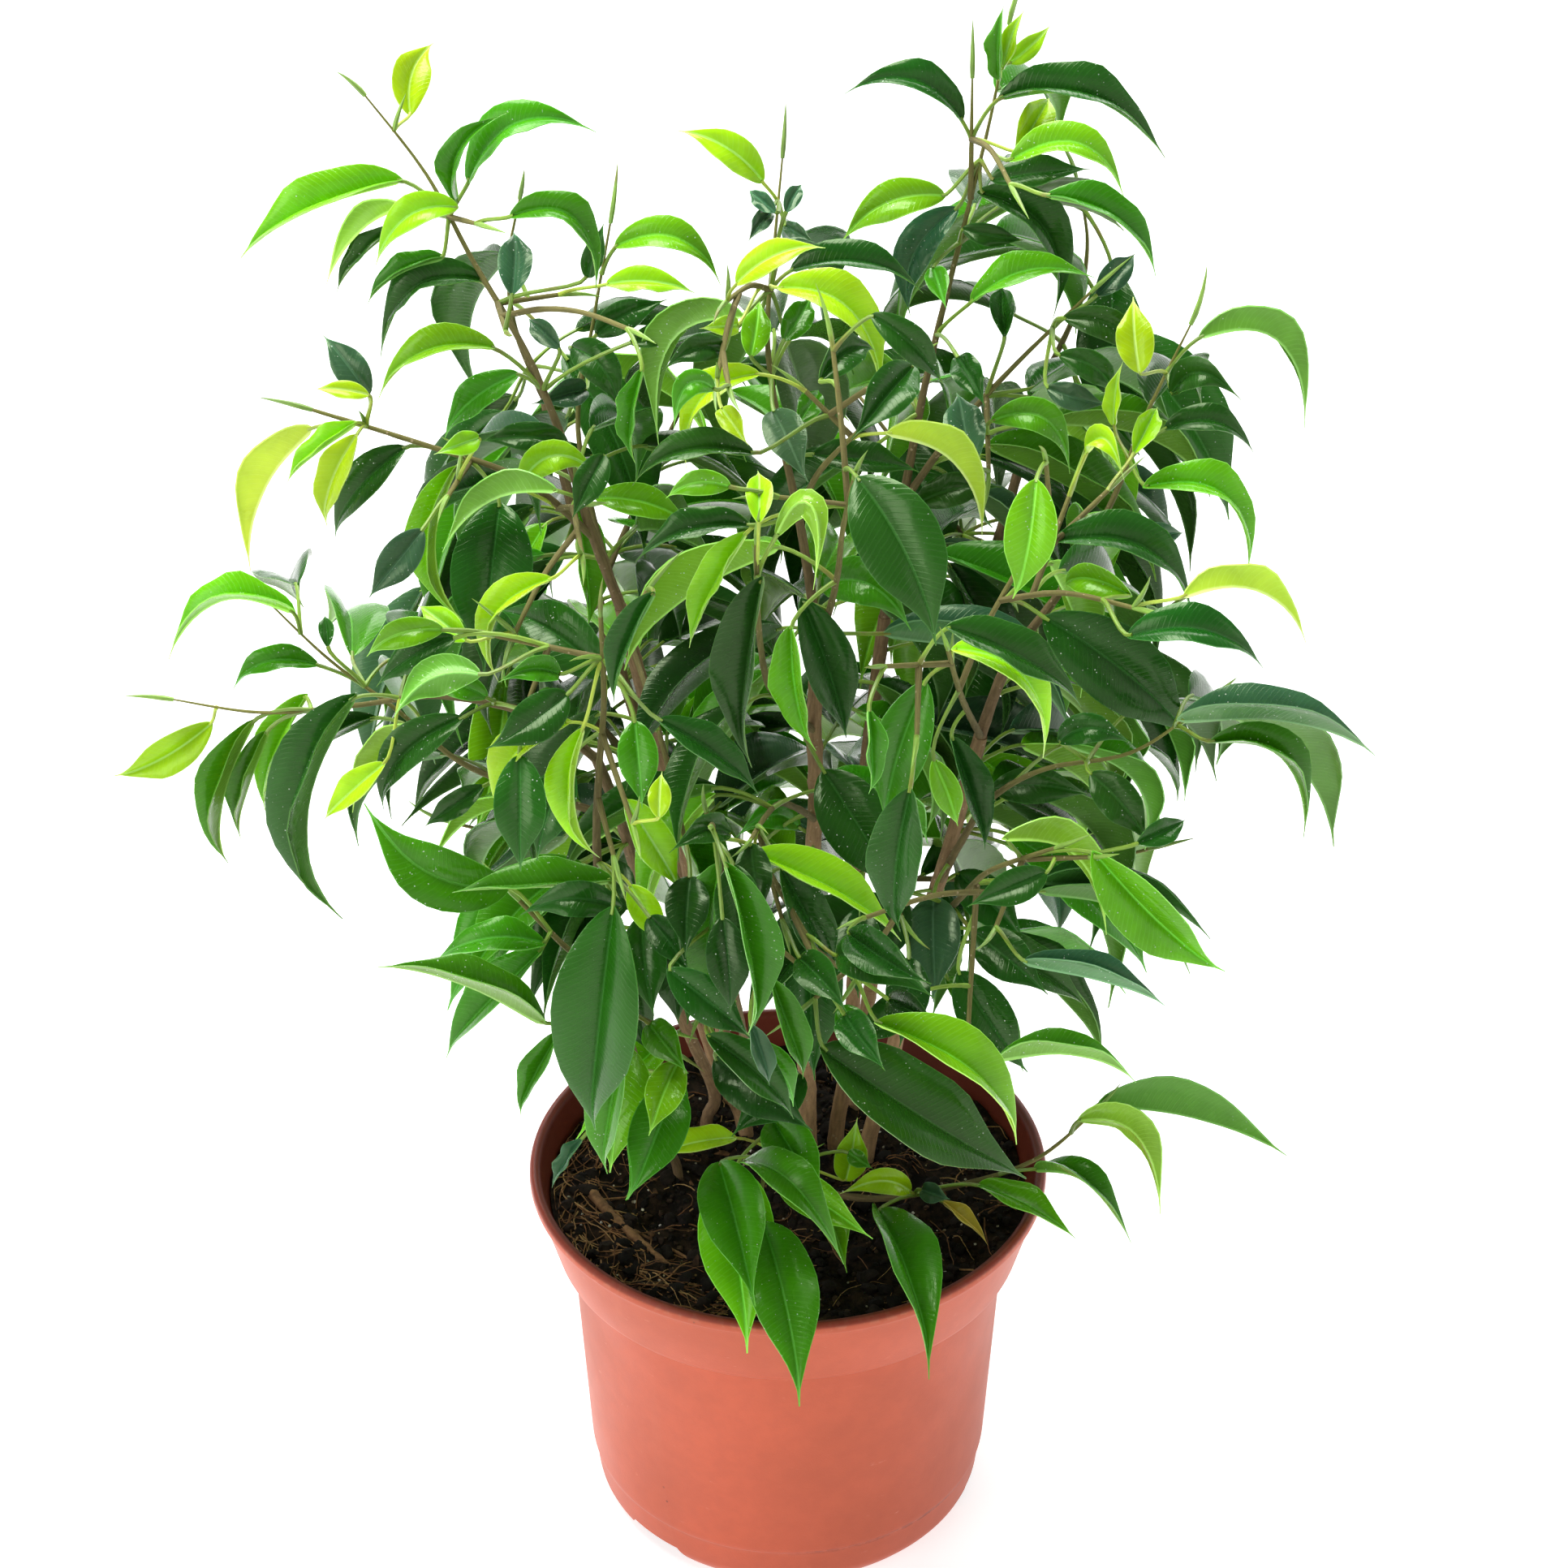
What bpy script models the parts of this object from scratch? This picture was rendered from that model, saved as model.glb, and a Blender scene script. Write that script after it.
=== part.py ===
"""A weeping fig in a round nursery pot.

The pot is a thin turned shell, filled with soil. Nine leafy stems stand in plain holes in
the soil. Each stem is one solid: its trunk, branches, twigs, leaf stalks and leaves.

Metres, +Z up. The origin is the centre of the pot's base, on the ground. The front of the
plant faces -Y. Sizes below are in millimetres, unless a comment says pixels of the view.
"""

import math
import random

import bmesh
import bpy
import numpy as np
from mathutils.bvhtree import BVHTree

MM = 0.001

# Pot: outer radii and heights
POT_HEIGHT = 91.0
RIM_RADIUS = 60.0
LIP_HEIGHT = 2.4
LIP_DEPTH = 1.1
LIP_ROUNDING = 0.3
LIP_UNDERCUT = 0.7
COLLAR_HEIGHT = 20.5
COLLAR_FOOT_RADIUS = 54.1
BODY_TOP_RADIUS = 50.6
COLLAR_STEP = 1.6
BAND_HEIGHT = 12.0
BAND_RADIUS = 47.6
BAND_STEP = 0.5
BASE_RADIUS = 43.8
BASE_CURVE_HEIGHT = 3.0
BASE_CURVE_RADIUS = 46.2
WALL = 1.5
INSIDE_STEP = (3.0, 0.4)
FLOOR = 2.0
POT_STEPS = 36
NOTCH_ANGLES = (-133.0, -13.0, 107.0)
NOTCH_WIDTH = 13.0
NOTCH_HEIGHT = 4.5
NOTCH_DEPTH = 7.0
NOTCH_OUTWARDS = 1.0
POT_COLOUR = (0.60, 0.125, 0.065)
POT_ROUGHNESS = 0.45

# Soil
SOIL_BELOW_RIM = 8.0
SOIL_GAP = 0.3
SOIL_STEPS = 24
SOIL_RINGS = (16.0, 32.0, 46.0)
SOIL_BUMP = 0.9
# Waves of the loose surface: share of its height, turns per millimetre across and back,
# and start, in radians
SOIL_WAVES = ((1.0, 0.21, 0.17, 1.0), (0.6, 0.37, -0.31, 0.0), (0.4, 0.11, 0.52, 1.6))
SOIL_EDGE_FADE = 5.0
SOIL_SURFACE = 0.5
SOIL_CLEARANCE = 2.2
POT_CLEARANCE = 0.6
SOIL_COLOUR = (0.028, 0.020, 0.014)
SOIL_ROUGHNESS = 0.95

# Stems
HOLE_DEPTH = 20.0
HOLE_GAP = 0.35
HOLE_SIDES = 6
STRAIGHT_ABOVE_SOIL = 3.5
THICK_RADIUS = 1.5
TWIG_RADIUS = 0.85
PETIOLE_RADIUS = 0.55
PETIOLE_LENGTH = 13.0
LONGEST_PETIOLE = 21.0
SHARPEST_STALK = 0.4
TWIG_STEP = 16.0
BRANCH_STEP = 19.0
FINE_STEPS = 8
LOWEST_BEARER = 5.0
NEAREST_BEARER = 3.0
NEAR_COST = 6.0
TURN_COST = 9.0
AWAY_FROM_TWIG = 1.4
STALK_ON_TWIG = 0.75
TWIG_RISE = 0.06
TWIG_TAPER = (1.15, 0.8)

# Leaf blades: half widths as a share of the widest, and half thicknesses, by place along
BLADE_PLACES = (0.30, 0.68)
BLADE_WIDTHS = (0.96, 0.70)
OLD_HALF_THICKNESS = 0.55
YOUNG_HALF_THICKNESS = 0.45
YOUNG_TONES = ("lime", "lime_under")
BLADE_FOLD = math.radians(17.0)
LENGTH_TO_WIDTH = 2.3
NARROWEST = 0.37
BEND_PLACES = (0.28, 0.7)
ALONG_STEP = 0.02
STALK_AIM = 0.1
LENGTH_TO_CHORD = 1.03
FURTHEST_REACH = 26.0
LEAST_FACING = 0.3
HIGHEST_ARCH = 0.14
ARCH_RISE = (0.6, 0.03)
FLAT_LEAF_ARCH = 0.09
# An arched leaf's middle line runs below the top of its arch, by this share of its width,
# and by no more than this share of the way to its chord
ARCH_EDGE = 0.42
FURTHEST_DROP = 0.7
LEAF_COLOUR = (0.045, 0.19, 0.03)
LEAF_ROUGHNESS = 0.35

# The view that the front leaves are placed by: pixels of a square picture, 1932 a side
VIEW_X = -0.9
VIEW_Y = -602.0
VIEW_Z = 559.7
VIEW_DOWN = math.radians(31.4)
VIEW_PIXELS = 4025.0
VIEW_MIDDLE = 966.0

# The rounded shape that the front leaves lie on
CROWN_MIDDLE = np.array((0.0, 0.0, 235.0))
CROWN_RADII = np.array((112.0, 100.0, 115.0))
FOOT_BEHIND_CROWN = 10.0
# A leaf's foot lies on its branch if it is seen within the first number of pixels of it,
# and on the crown past the second
ON_BRANCH_PIXELS = (30.0, 90.0)

# Room kept between a leaf and what belongs to another stem
CLEAR = 0.35

# What counts as one point, in metres, and as one flat face, where shapes are joined
CAP_WELD = 1e-6
WELD = 2e-6
FLAT_ANGLE = math.radians(0.5)

# The least height of a triangle in a union, in metres
LEAST_HEIGHT = 2e-8

# By how much leaves and twigs are swollen, in turn, until a stem's union comes out clean
LEAF_SWELLS = (0.0, 0.012, 0.024, 0.036, 0.048)
TWIG_SWELLS = (0.0, 0.04, 0.08, 0.12, -0.04, -0.08)

# How far a leaf is moved towards the view or away, in turn, until it crosses nothing
SHIFTS = (0, 4, -4, 8, -8, 12, -12, 17, -17, 23, -23, 30, -30)

# Branches of each stem. A trunk starts at the soil, where (across, down) is seen.
# Points are (across, down, toward): pixels of the view, and millimetres in front of the
# pot's middle. Then the radii at the two ends.
TRUNKS = {
    "leafy_stem_left": (
        (870, 1400),
        ((880, 1345, -8), (825, 1220, -4), (790, 1100, 5), (765, 1010, 14), (735, 935, 20)),
        1.9,
        1.5,
    ),
    "leafy_stem_top_left": (
        (917, 1400),
        ((900, 1350, -22), (862, 1240, -22), (848, 1068, -12), (800, 880, -3), (765, 748, 5)),
        2.1,
        1.6,
    ),
    "leafy_stem_centre": (
        (995, 1430),
        ((996, 1384, -8), (990, 1180, -4), (1005, 1010, -2), (1003, 900, 0), (1008, 800, 3)),
        2.5,
        1.7,
    ),
    "leafy_stem_top_right": (
        (1030, 1412),
        ((1036, 1370, -15), (1050, 1250, -16), (1062, 1000, -18), (1090, 760, -20)),
        2.1,
        1.6,
    ),
    "leafy_stem_right": (
        (1068, 1430),
        ((1080, 1380, -8), (1134, 1157, -2), (1157, 1088, 1), (1208, 907, 6)),
        2.2,
        1.7,
    ),
    "leafy_stem_front_left": (
        (835, 1455),
        ((812, 1400, 8), (784, 1310, 22), (752, 1200, 38), (738, 1100, 48)),
        1.8,
        1.4,
    ),
    "leafy_stem_front": (
        (985, 1475),
        ((972, 1440, 8), (950, 1385, 20), (925, 1310, 34), (903, 1210, 46), (892, 1120, 54)),
        1.8,
        1.3,
    ),
}

# Trunks at the back: the place on the soil, then points (x, y, z)
BACK_TRUNKS = {
    "leafy_stem_back_left": (
        (-14.0, 33.0),
        ((-18.0, 38.0, 115.0), (-30.0, 50.0, 160.0), (-44.0, 62.0, 205.0), (-55.0, 72.0, 250.0)),
        2.0,
        1.2,
    ),
    "leafy_stem_back_right": (
        (16.0, 31.0),
        ((20.0, 37.0, 115.0), (30.0, 50.0, 160.0), (46.0, 64.0, 210.0), (58.0, 74.0, 255.0)),
        2.0,
        1.2,
    ),
}

# Leafy branches: the stem, the points as above, and the radii at the two ends
BRANCHES = (
    (
        "leafy_stem_left",
        (
            (735, 935, 20), (700, 898, 24), (651, 880, 27), (594, 865, 27), (502, 855, 25),
            (433, 870, 22), (368, 880, 20), (307, 878, 20), (272, 889, 20), (214, 862, 20),
        ),
        1.4,
        0.25,
    ),
    (
        "leafy_stem_left",
        (
            (765, 1010, 14), (690, 985, 13), (601, 956, 11), (559, 933, 9), (506, 888, 7),
            (464, 857, 6), (425, 834, 5), (383, 784, 5), (364, 757, 5), (334, 745, 5),
        ),
        1.2,
        0.25,
    ),
    (
        "leafy_stem_top_left",
        (
            (765, 748, 5), (731, 662, 7), (700, 560, 6), (654, 448, 0), (620, 382, -5),
            (580, 316, -10), (568, 267, -12), (529, 228, -14), (515, 178, -15), (450, 118, -15),
        ),
        1.6,
        0.25,
    ),
    (
        "leafy_stem_top_left",
        ((731, 662, 7), (660, 600, 12), (600, 575, 14), (500, 540, 15), (440, 515, 15), (385, 505, 15)),
        1.1,
        0.5,
    ),
    (
        "leafy_stem_top_left",
        ((765, 748, 5), (722, 600, -14), (712, 470, -22), (735, 380, -26), (752, 275, -28)),
        1.1,
        0.3,
    ),
    (
        "leafy_stem_centre",
        (
            (1008, 800, 3), (998, 720, 5), (985, 640, 5), (962, 540, 2), (952, 470, -2),
            (945, 400, -8), (951, 340, -13), (957, 265, -19), (964, 195, -22),
        ),
        1.6,
        0.25,
    ),
    (
        "leafy_stem_centre",
        ((985, 640, 5), (998, 590, 14), (1059, 548, 20), (1092, 500, 18)),
        1.1,
        0.5,
    ),
    (
        "leafy_stem_centre",
        ((1003, 900, 0), (950, 850, 26), (935, 770, 48), (932, 670, 62)),
        1.2,
        0.6,
    ),
    (
        "leafy_stem_centre",
        ((1005, 1010, -2), (960, 990, 26), (925, 1035, 58)),
        1.1,
        0.6,
    ),
    (
        "leafy_stem_centre",
        ((1008, 800, 3), (1030, 720, 34), (1040, 640, 56), (1052, 590, 62)),
        1.1,
        0.6,
    ),
    (
        "leafy_stem_top_right",
        (
            (1090, 760, -20), (1112, 620, -21), (1145, 450, -22), (1164, 383, -24),
            (1173, 318, -26), (1196, 245, -28), (1200, 189, -29), (1221, 142, -30),
            (1230, 92, -30), (1243, 30, -30),
        ),
        1.6,
        0.25,
    ),
    (
        "leafy_stem_top_right",
        ((1196, 245, -28), (1190, 185, -26), (1188, 140, -25), (1198, 96, -25)),
        0.9,
        0.25,
    ),
    (
        "leafy_stem_top_right",
        ((1112, 620, -21), (1185, 520, -18), (1250, 450, -16), (1309, 402, -15), (1344, 360, -15)),
        1.2,
        0.4,
    ),
    (
        "leafy_stem_right",
        (
            (1208, 907, 6), (1240, 820, 8), (1300, 738, 8), (1345, 670, 6), (1369, 620, 4),
            (1397, 560, 2), (1418, 497, 0), (1446, 445, -2), (1467, 400, -2),
        ),
        1.7,
        0.25,
    ),
    (
        "leafy_stem_right",
        (
            (1157, 1088, 1), (1215, 990, 18), (1280, 950, 27), (1340, 940, 30),
            (1400, 925, 30), (1455, 890, 30), (1490, 862, 30),
        ),
        1.3,
        0.3,
    ),
    (
        "leafy_stem_right",
        ((1134, 1157, -2), (1190, 1100, 28), (1240, 1060, 46), (1300, 1045, 52)),
        1.2,
        0.6,
    ),
    (
        "leafy_stem_right",
        ((1208, 907, 6), (1185, 860, 38), (1168, 800, 64)),
        1.1,
        0.6,
    ),
    (
        "leafy_stem_front_left",
        ((738, 1100, 48), (735, 1010, 52), (740, 920, 56), (745, 835, 60), (740, 760, 58)),
        1.3,
        0.6,
    ),
    (
        "leafy_stem_front_left",
        ((752, 1200, 38), (715, 1180, 48), (680, 1165, 50), (640, 1110, 46)),
        1.1,
        0.6,
    ),
    (
        "leafy_stem_front",
        ((892, 1120, 54), (888, 1060, 60), (870, 1000, 62)),
        1.2,
        0.6,
    ),
    (
        "leafy_stem_front",
        (
            (980, 1462, 6), (1015, 1476, 10), (1060, 1478, 12), (1150, 1468, 12),
            (1262, 1435, 10), (1300, 1410, 9), (1329, 1389, 9), (1352, 1366, 9),
        ),
        1.3,
        0.4,
    ),
)

# Leafy branches at the back: the stem, points (x, y, z), and the radii at the two ends
BACK_BRANCHES = (
    ("leafy_stem_back_left", ((-30, 50, 160), (-58, 66, 185), (-84, 74, 205)), 1.2, 0.5),
    ("leafy_stem_back_left", ((-24, 44, 140), (-38, 72, 150), (-50, 98, 160)), 1.1, 0.5),
    ("leafy_stem_back_left", ((-44, 62, 205), (-30, 84, 230), (-18, 100, 250)), 1.1, 0.5),
    ("leafy_stem_back_left", ((-55, 72, 250), (-62, 70, 275), (-58, 66, 300)), 1.0, 0.3),
    ("leafy_stem_back_left", ((-24, 44, 140), (-52, 52, 142), (-80, 52, 150)), 1.0, 0.5),
    ("leafy_stem_back_right", ((30, 50, 160), (62, 64, 180), (90, 68, 200)), 1.2, 0.5),
    ("leafy_stem_back_right", ((25, 43, 140), (28, 74, 150), (34, 100, 165)), 1.1, 0.5),
    ("leafy_stem_back_right", ((46, 64, 210), (28, 86, 228), (14, 104, 240)), 1.1, 0.5),
    ("leafy_stem_back_right", ((58, 74, 255), (66, 72, 280), (62, 66, 305)), 1.0, 0.3),
    ("leafy_stem_back_right", ((25, 43, 140), (56, 44, 140), (84, 40, 150)), 1.0, 0.5),
)

# Front leaves of each stem, each placed by where its foot, the top of its arch (None for a
# nearly flat one) and its tip are seen, and its width there, all in pixels; then its tone,
# and either how far it lies behind the crown's front or the (foot, tip) distances in front
# of the pot's middle, in millimetres.
LEAVES = {
    "leafy_stem_top_left": (
        ((506, 143), (480, 92), (537, 53), 56, "lime", 0),
        ((497, 222), (396, 216), (296, 318), 60, "bright", 0),
        ((493, 255), (466, 248), (399, 354), 30, "bright_under", 0),
        ((485, 280), None, (413, 359), 30, "dark", 6),
        ((565, 256), (530, 236), (462, 332), 45, "lime", 0),
        ((564, 250), (545, 180), (628, 139), 40, "mid", 4),
        ((577, 227), (638, 122), (736, 162), 50, "mid", 0),
        ((627, 268), (685, 240), (737, 367), 45, "mid", 0),
        ((631, 364), None, (634, 284), 52, "grey", 5),
        ((597, 347), (540, 325), (470, 445), 45, "dark", 0),
        ((548, 317), (511, 316), (450, 376), 28, "mid", 5),
        ((611, 430), (560, 402), (462, 490), 45, "bright", 0),
        ((455, 487), None, (398, 412), 45, "grey", 4),
        ((455, 487), None, (386, 480), 24, "lime", 0),
        ((723, 342), None, (745, 273), 30, "dark", 5),
        ((640, 460), (590, 470), (545, 540), 45, "mid", 6),
        ((385, 527), (332, 545), (306, 705), 44, "lime_under", 0),
        ((440, 520), (400, 535), (350, 595), 30, "lime", 4),
        ((440, 535), (412, 560), (400, 650), 45, "lime", 0),
        ((500, 550), (470, 560), (410, 662), 52, "dark", 3),
        ((521, 652), None, (453, 736), 50, "grey", 14),
        ((562, 574), (512, 634), (569, 768), 51, "bright", 0),
        ((687, 605), (629, 586), (545, 680), 40, "mid_under", 4),
        ((616, 619), None, (595, 833), 108, "dark", 3),
        ((710, 621), None, (724, 776), 48, "bright", 0),
        ((733, 614), (789, 600), (855, 650), 45, "bright", 0),
        ((682, 713), (622, 722), (611, 843), 40, "lime", 4),
        ((703, 428), (735, 425), (765, 512), 50, "dark", 5),
        ((757, 305), (820, 266), (891, 351), 45, "bright", 0),
        ((746, 351), (800, 330), (858, 362), 35, "lime", 5),
        ((734, 413), (775, 375), (823, 371), 42, "dark", 8),
        ((775, 423), None, (835, 400), 34, "dark", 12),
        ((792, 454), (766, 497), (780, 572), 38, "mid", 5),
        ((590, 540), None, (535, 560), 34, "lime", 8),
        ((700, 545), (640, 520), (590, 545), 40, "dark", 6),
        ((640, 600), (680, 540), (745, 590), 45, "lime", 8),
        ((575, 790), None, (515, 745), 40, "lime", 14),
        ((722, 480), None, (655, 500), 45, "grey", 12),
        ((690, 430), None, (650, 392), 34, "grey", 10),
        ((745, 560), None, (705, 640), 45, "dark", 14),
    ),
    "leafy_stem_centre": (
        ((940, 225), (885, 160), (833, 160), 45, "lime", 0),
        ((948, 262), None, (921, 298), 30, "grey", 0),
        ((956, 262), None, (922, 234), 26, "grey", 0),
        ((968, 262), None, (988, 226), 26, "grey", 0),
        ((968, 278), None, (1004, 300), 26, "grey", 3),
        ((918, 391), (850, 372), (816, 549), 55, "mid_under", 0),
        ((937, 461), (880, 450), (848, 580), 45, "lime", 0),
        ((958, 355), (1015, 335), (1087, 496), 60, "lime", 0),
        ((907, 351), (950, 302), (1017, 302), 40, "lime", 4),
        ((973, 334), (1040, 302), (1140, 360), 45, "dark", 3),
        ((1073, 388), (1108, 392), (1161, 476), 48, "dark", 6),
        ((1125, 451), None, (1050, 543), 70, "dark", 9),
        ((891, 434), (855, 412), (815, 457), 40, "dark", 5),
        ((909, 400), None, (862, 405), 30, "lime", 6),
        ((953, 506), None, (993, 595), 60, "grey", 0),
        ((930, 560), (850, 530), (777, 595), 48, "dark", 4),
        ((889, 503), None, (921, 549), 35, "lime", 6),
        ((1092, 534), (1155, 524), (1213, 669), 42, "lime_under", 0),
        ((955, 663), (990, 606), (1007, 726), 42, "bright_under", 2),
        ((1012, 725), (1065, 697), (1125, 778), 62, "mid", 2),
        ((987, 737), None, (1042, 912), 75, "dark", 5),
        ((1056, 588), (1135, 665), (1155, 795), 112, "dark", 0),
        ((1000, 560), (1060, 548), (1135, 580), 45, "dark", 12),
        ((920, 655), (868, 700), (850, 800), 50, "lime", 0),
        ((940, 710), (890, 800), (920, 945), 75, "dark", 0),
        ((975, 770), (955, 840), (1003, 925), 55, "bright", 0),
        ((925, 648), (850, 634), (783, 692), 45, "dark", 2),
        ((926, 1051), (1020, 1065), (1111, 1159), 60, "lime", 0),
        ((935, 645), None, (935, 580), 46, "lime", 0),
        ((1014, 949), None, (1113, 1108), 92, "dark", 8),
        ((1000, 1022), None, (945, 985), 36, "grey", 10),
        ((985, 520), None, (1010, 480), 36, "mid", 10),
        ((1010, 470), (1030, 420), (1080, 430), 50, "dark", 14),
        ((880, 480), (850, 460), (830, 530), 36, "mid", 12),
        ((900, 600), (860, 580), (820, 615), 36, "bright", 8),
        ((925, 440), None, (935, 368), 40, "bright", 8),
        ((965, 420), None, (1000, 365), 40, "mid", 10),
    ),
    "leafy_stem_top_right": (
        ((1232, 100), None, (1238, 5), 28, "mid", 0),
        ((1236, 85), None, (1262, 10), 24, "lime", 0),
        ((1244, 78), None, (1296, 30), 28, "lime", 2),
        ((1186, 150), (1140, 82), (1039, 113), 45, "dark", 0),
        ((1229, 122), (1305, 84), (1435, 199), 58, "dark", 0),
        ((1252, 188), None, (1294, 119), 58, "lime", 3),
        ((1244, 199), (1315, 157), (1388, 247), 45, "bright", 0),
        ((1221, 222), None, (1344, 209), 40, "dark", 8),
        ((1204, 237), (1268, 232), (1299, 394), 60, "dark", 0),
        ((1288, 241), (1340, 232), (1428, 340), 45, "mid", 3),
        ((1196, 373), (1262, 316), (1350, 345), 45, "bright", 3),
        ((1238, 417), None, (1235, 352), 50, "dark", 8),
        ((1165, 242), (1110, 226), (1036, 301), 50, "bright", 0),
        ((1181, 256), (1120, 290), (1124, 390), 52, "grey", 3),
        ((1185, 282), None, (1262, 296), 30, "dark", 8),
        ((1310, 392), (1370, 385), (1405, 452), 45, "dark", 5),
        ((1304, 438), (1345, 430), (1375, 494), 40, "dark", 6),
        ((1290, 478), None, (1366, 500), 36, "grey", 9),
        ((1350, 365), None, (1400, 312), 40, "grey", 2),
        ((1195, 575), None, (1180, 482), 60, "grey", 2),
        ((1221, 519), (1270, 487), (1320, 585), 45, "mid", 3),
        ((1150, 330), None, (1165, 380), 36, "mid", 0),
        ((1130, 620), (1180, 585), (1235, 600), 45, "dark", 8),
        ((1180, 440), None, (1215, 500), 45, "dark", 12),
    ),
    "leafy_stem_right": (
        ((1476, 417), (1550, 382), (1611, 527), 45, "mid_under", 0),
        ((1443, 487), (1482, 440), (1528, 494), 45, "dark", 2),
        ((1434, 529), (1480, 503), (1547, 560), 38, "dark", 2),
        ((1408, 601), (1480, 574), (1543, 711), 50, "bright", 0),
        ((1299, 667), (1370, 640), (1475, 757), 60, "dark", 0),
        ((1457, 736), (1520, 702), (1614, 793), 40, "lime_under", 0),
        ((1389, 785), (1450, 750), (1560, 825), 55, "dark", 0),
        ((1285, 760), (1390, 800), (1470, 915), 105, "dark", 0),
        ((1450, 887), (1540, 860), (1698, 932), 42, "grey", 0),
        ((1490, 915), (1555, 890), (1608, 1033), 45, "mid", 0),
        ((1376, 665), None, (1460, 655), 45, "grey", 4),
        ((1404, 460), None, (1397, 365), 50, "lime", 0),
        ((1338, 560), (1362, 527), (1387, 592), 40, "lime", 3),
        ((1396, 560), None, (1425, 500), 46, "lime", 2),
        ((1373, 525), None, (1383, 445), 26, "lime", 0),
        ((1277, 590), None, (1251, 740), 70, "bright", 0),
        ((1172, 800), (1232, 788), (1287, 937), 55, "lime", 0),
        ((1140, 838), None, (1089, 1011), 79, "mid", 0),
        ((1070, 873), None, (1073, 979), 36, "mid", 4),
        ((1150, 935), None, (1180, 1019), 40, "bright", 4),
        ((1171, 907), None, (1214, 1048), 52, "dark", 7),
        ((1122, 970), None, (1105, 1150), 76, "dark", 4),
        ((1162, 1097), None, (1148, 1232), 66, "dark", 0),
        ((1221, 973), (1270, 950), (1343, 982), 48, "dark", 6),
        ((1343, 953), (1392, 980), (1415, 1040), 55, "dark", 4),
        ((1234, 1034), (1315, 1016), (1360, 1151), 46, "bright_under", 2),
        ((1346, 1048), (1390, 1136), (1509, 1200), 88, "bright", 0),
        ((1200, 1150), None, (1342, 1240), 60, "dark", 6),
        ((1260, 1185), (1330, 1178), (1436, 1240), 40, "grey", 12),
        ((1230, 1305), (1290, 1276), (1402, 1333), 32, "mid", 8),
        ((1180, 1197), None, (1265, 1322), 72, "dark", 5),
        ((1165, 772), (1245, 775), (1335, 868), 60, "dark", 8),
        ((1305, 915), (1345, 880), (1395, 920), 42, "dark", 8),
        ((1400, 1040), None, (1462, 1010), 40, "dark", 12),
        ((1045, 1150), None, (1145, 1215), 72, "dark", 10),
        ((1077, 1260), (1170, 1262), (1254, 1411), 72, "bright", 0),
        ((1010, 1290), (1135, 1350), (1269, 1455), 112, "dark", 2),
        ((1395, 735), (1330, 700), (1310, 725), 50, "bright", 10),
        ((1290, 1075), None, (1190, 1115), 50, "dark", 14),
        ((1130, 1225), None, (1050, 1290), 50, "dark", 8),
    ),
    "leafy_stem_front_left": (
        ((745, 835), (690, 745), (613, 752), 82, "dark", 0),
        ((690, 831), (654, 810), (613, 840), 42, "mid", 6),
        ((547, 776), (496, 764), (451, 810), 40, "bright", 8),
        ((562, 785), (505, 800), (463, 846), 45, "dark", 10),
        ((593, 832), (535, 808), (486, 884), 55, "mid_under", 10),
        ((700, 855), None, (600, 925), 60, "dark", 12),
        ((705, 889), (640, 892), (627, 1028), 45, "lime", 0),
        ((719, 896), (680, 965), (736, 1060), 43, "lime", 0),
        ((782, 888), None, (791, 996), 54, "mid", 2),
        ((807, 729), None, (756, 869), 46, "dark", 8),
        ((811, 887), (870, 900), (937, 979), 52, "dark", 8),
        ((770, 985), None, (838, 1097), 52, "lime", 0),
        ((812, 1008), None, (815, 950), 32, "lime", 4),
        ((776, 1090), None, (819, 1166), 42, "lime", 0),
        ((755, 1120), (738, 1240), (725, 1393), 118, "mid", 0),
        ((628, 1092), (503, 1100), (452, 988), 80, "mid", 0),
        ((756, 1085), (654, 1076), (555, 1099), 50, "mid", 3),
        ((766, 1120), (718, 1085), (641, 1128), 50, "dark", 6),
        ((672, 1262), (570, 1184), (465, 1191), 48, "mid", 2),
        ((672, 1163), (640, 1140), (532, 1186), 45, "mid", 8),
        ((669, 1170), None, (547, 1302), 58, "mid", 6),
        ((690, 1270), None, (639, 1374), 46, "mid", 4),
        ((718, 1402), None, (680, 1464), 22, "grey", (30, 32)),
        ((640, 930), None, (640, 1075), 70, "dark", 14),
        ((700, 940), None, (660, 1060), 60, "dark", 10),
        ((772, 1290), None, (752, 1446), 84, "bright", (40, 58)),
        ((836, 1328), None, (774, 1480), 70, "mid", (28, 50)),
        ((800, 1130), None, (850, 1200), 48, "dark", 16),
    ),
    "leafy_stem_front": (
        ((888, 1062), (852, 1120), (928, 1281), 62, "mid", 0),
        ((903, 1065), None, (917, 1192), 65, "dark", 4),
        ((900, 1028), (862, 1008), (824, 1051), 45, "dark", 8),
        ((950, 1206), None, (992, 1330), 52, "mid", 6),
        ((822, 1194), None, (926, 1278), 60, "dark", 12),
        ((890, 1290), (950, 1290), (975, 1365), 50, "mid", 10),
        ((1035, 1240), None, (1088, 1310), 46, "mid", 10),
        ((908, 1402), None, (796, 1429), 36, "lime", (12, 20)),
        ((985, 1322), None, (900, 1398), 78, "dark", (28, 44)),
        ((905, 1440), None, (926, 1667), 100, "bright", (30, 66)),
        ((940, 1505), None, (989, 1732), 92, "mid", (34, 74)),
        ((957, 1450), None, (1075, 1527), 58, "bright", (30, 48)),
        ((1000, 1465), None, (1043, 1568), 48, "bright", (22, 46)),
        ((952, 1380), None, (1017, 1491), 78, "mid", (30, 52)),
        ((1042, 1455), None, (1055, 1377), 46, "lime", (6, 2)),
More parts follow.
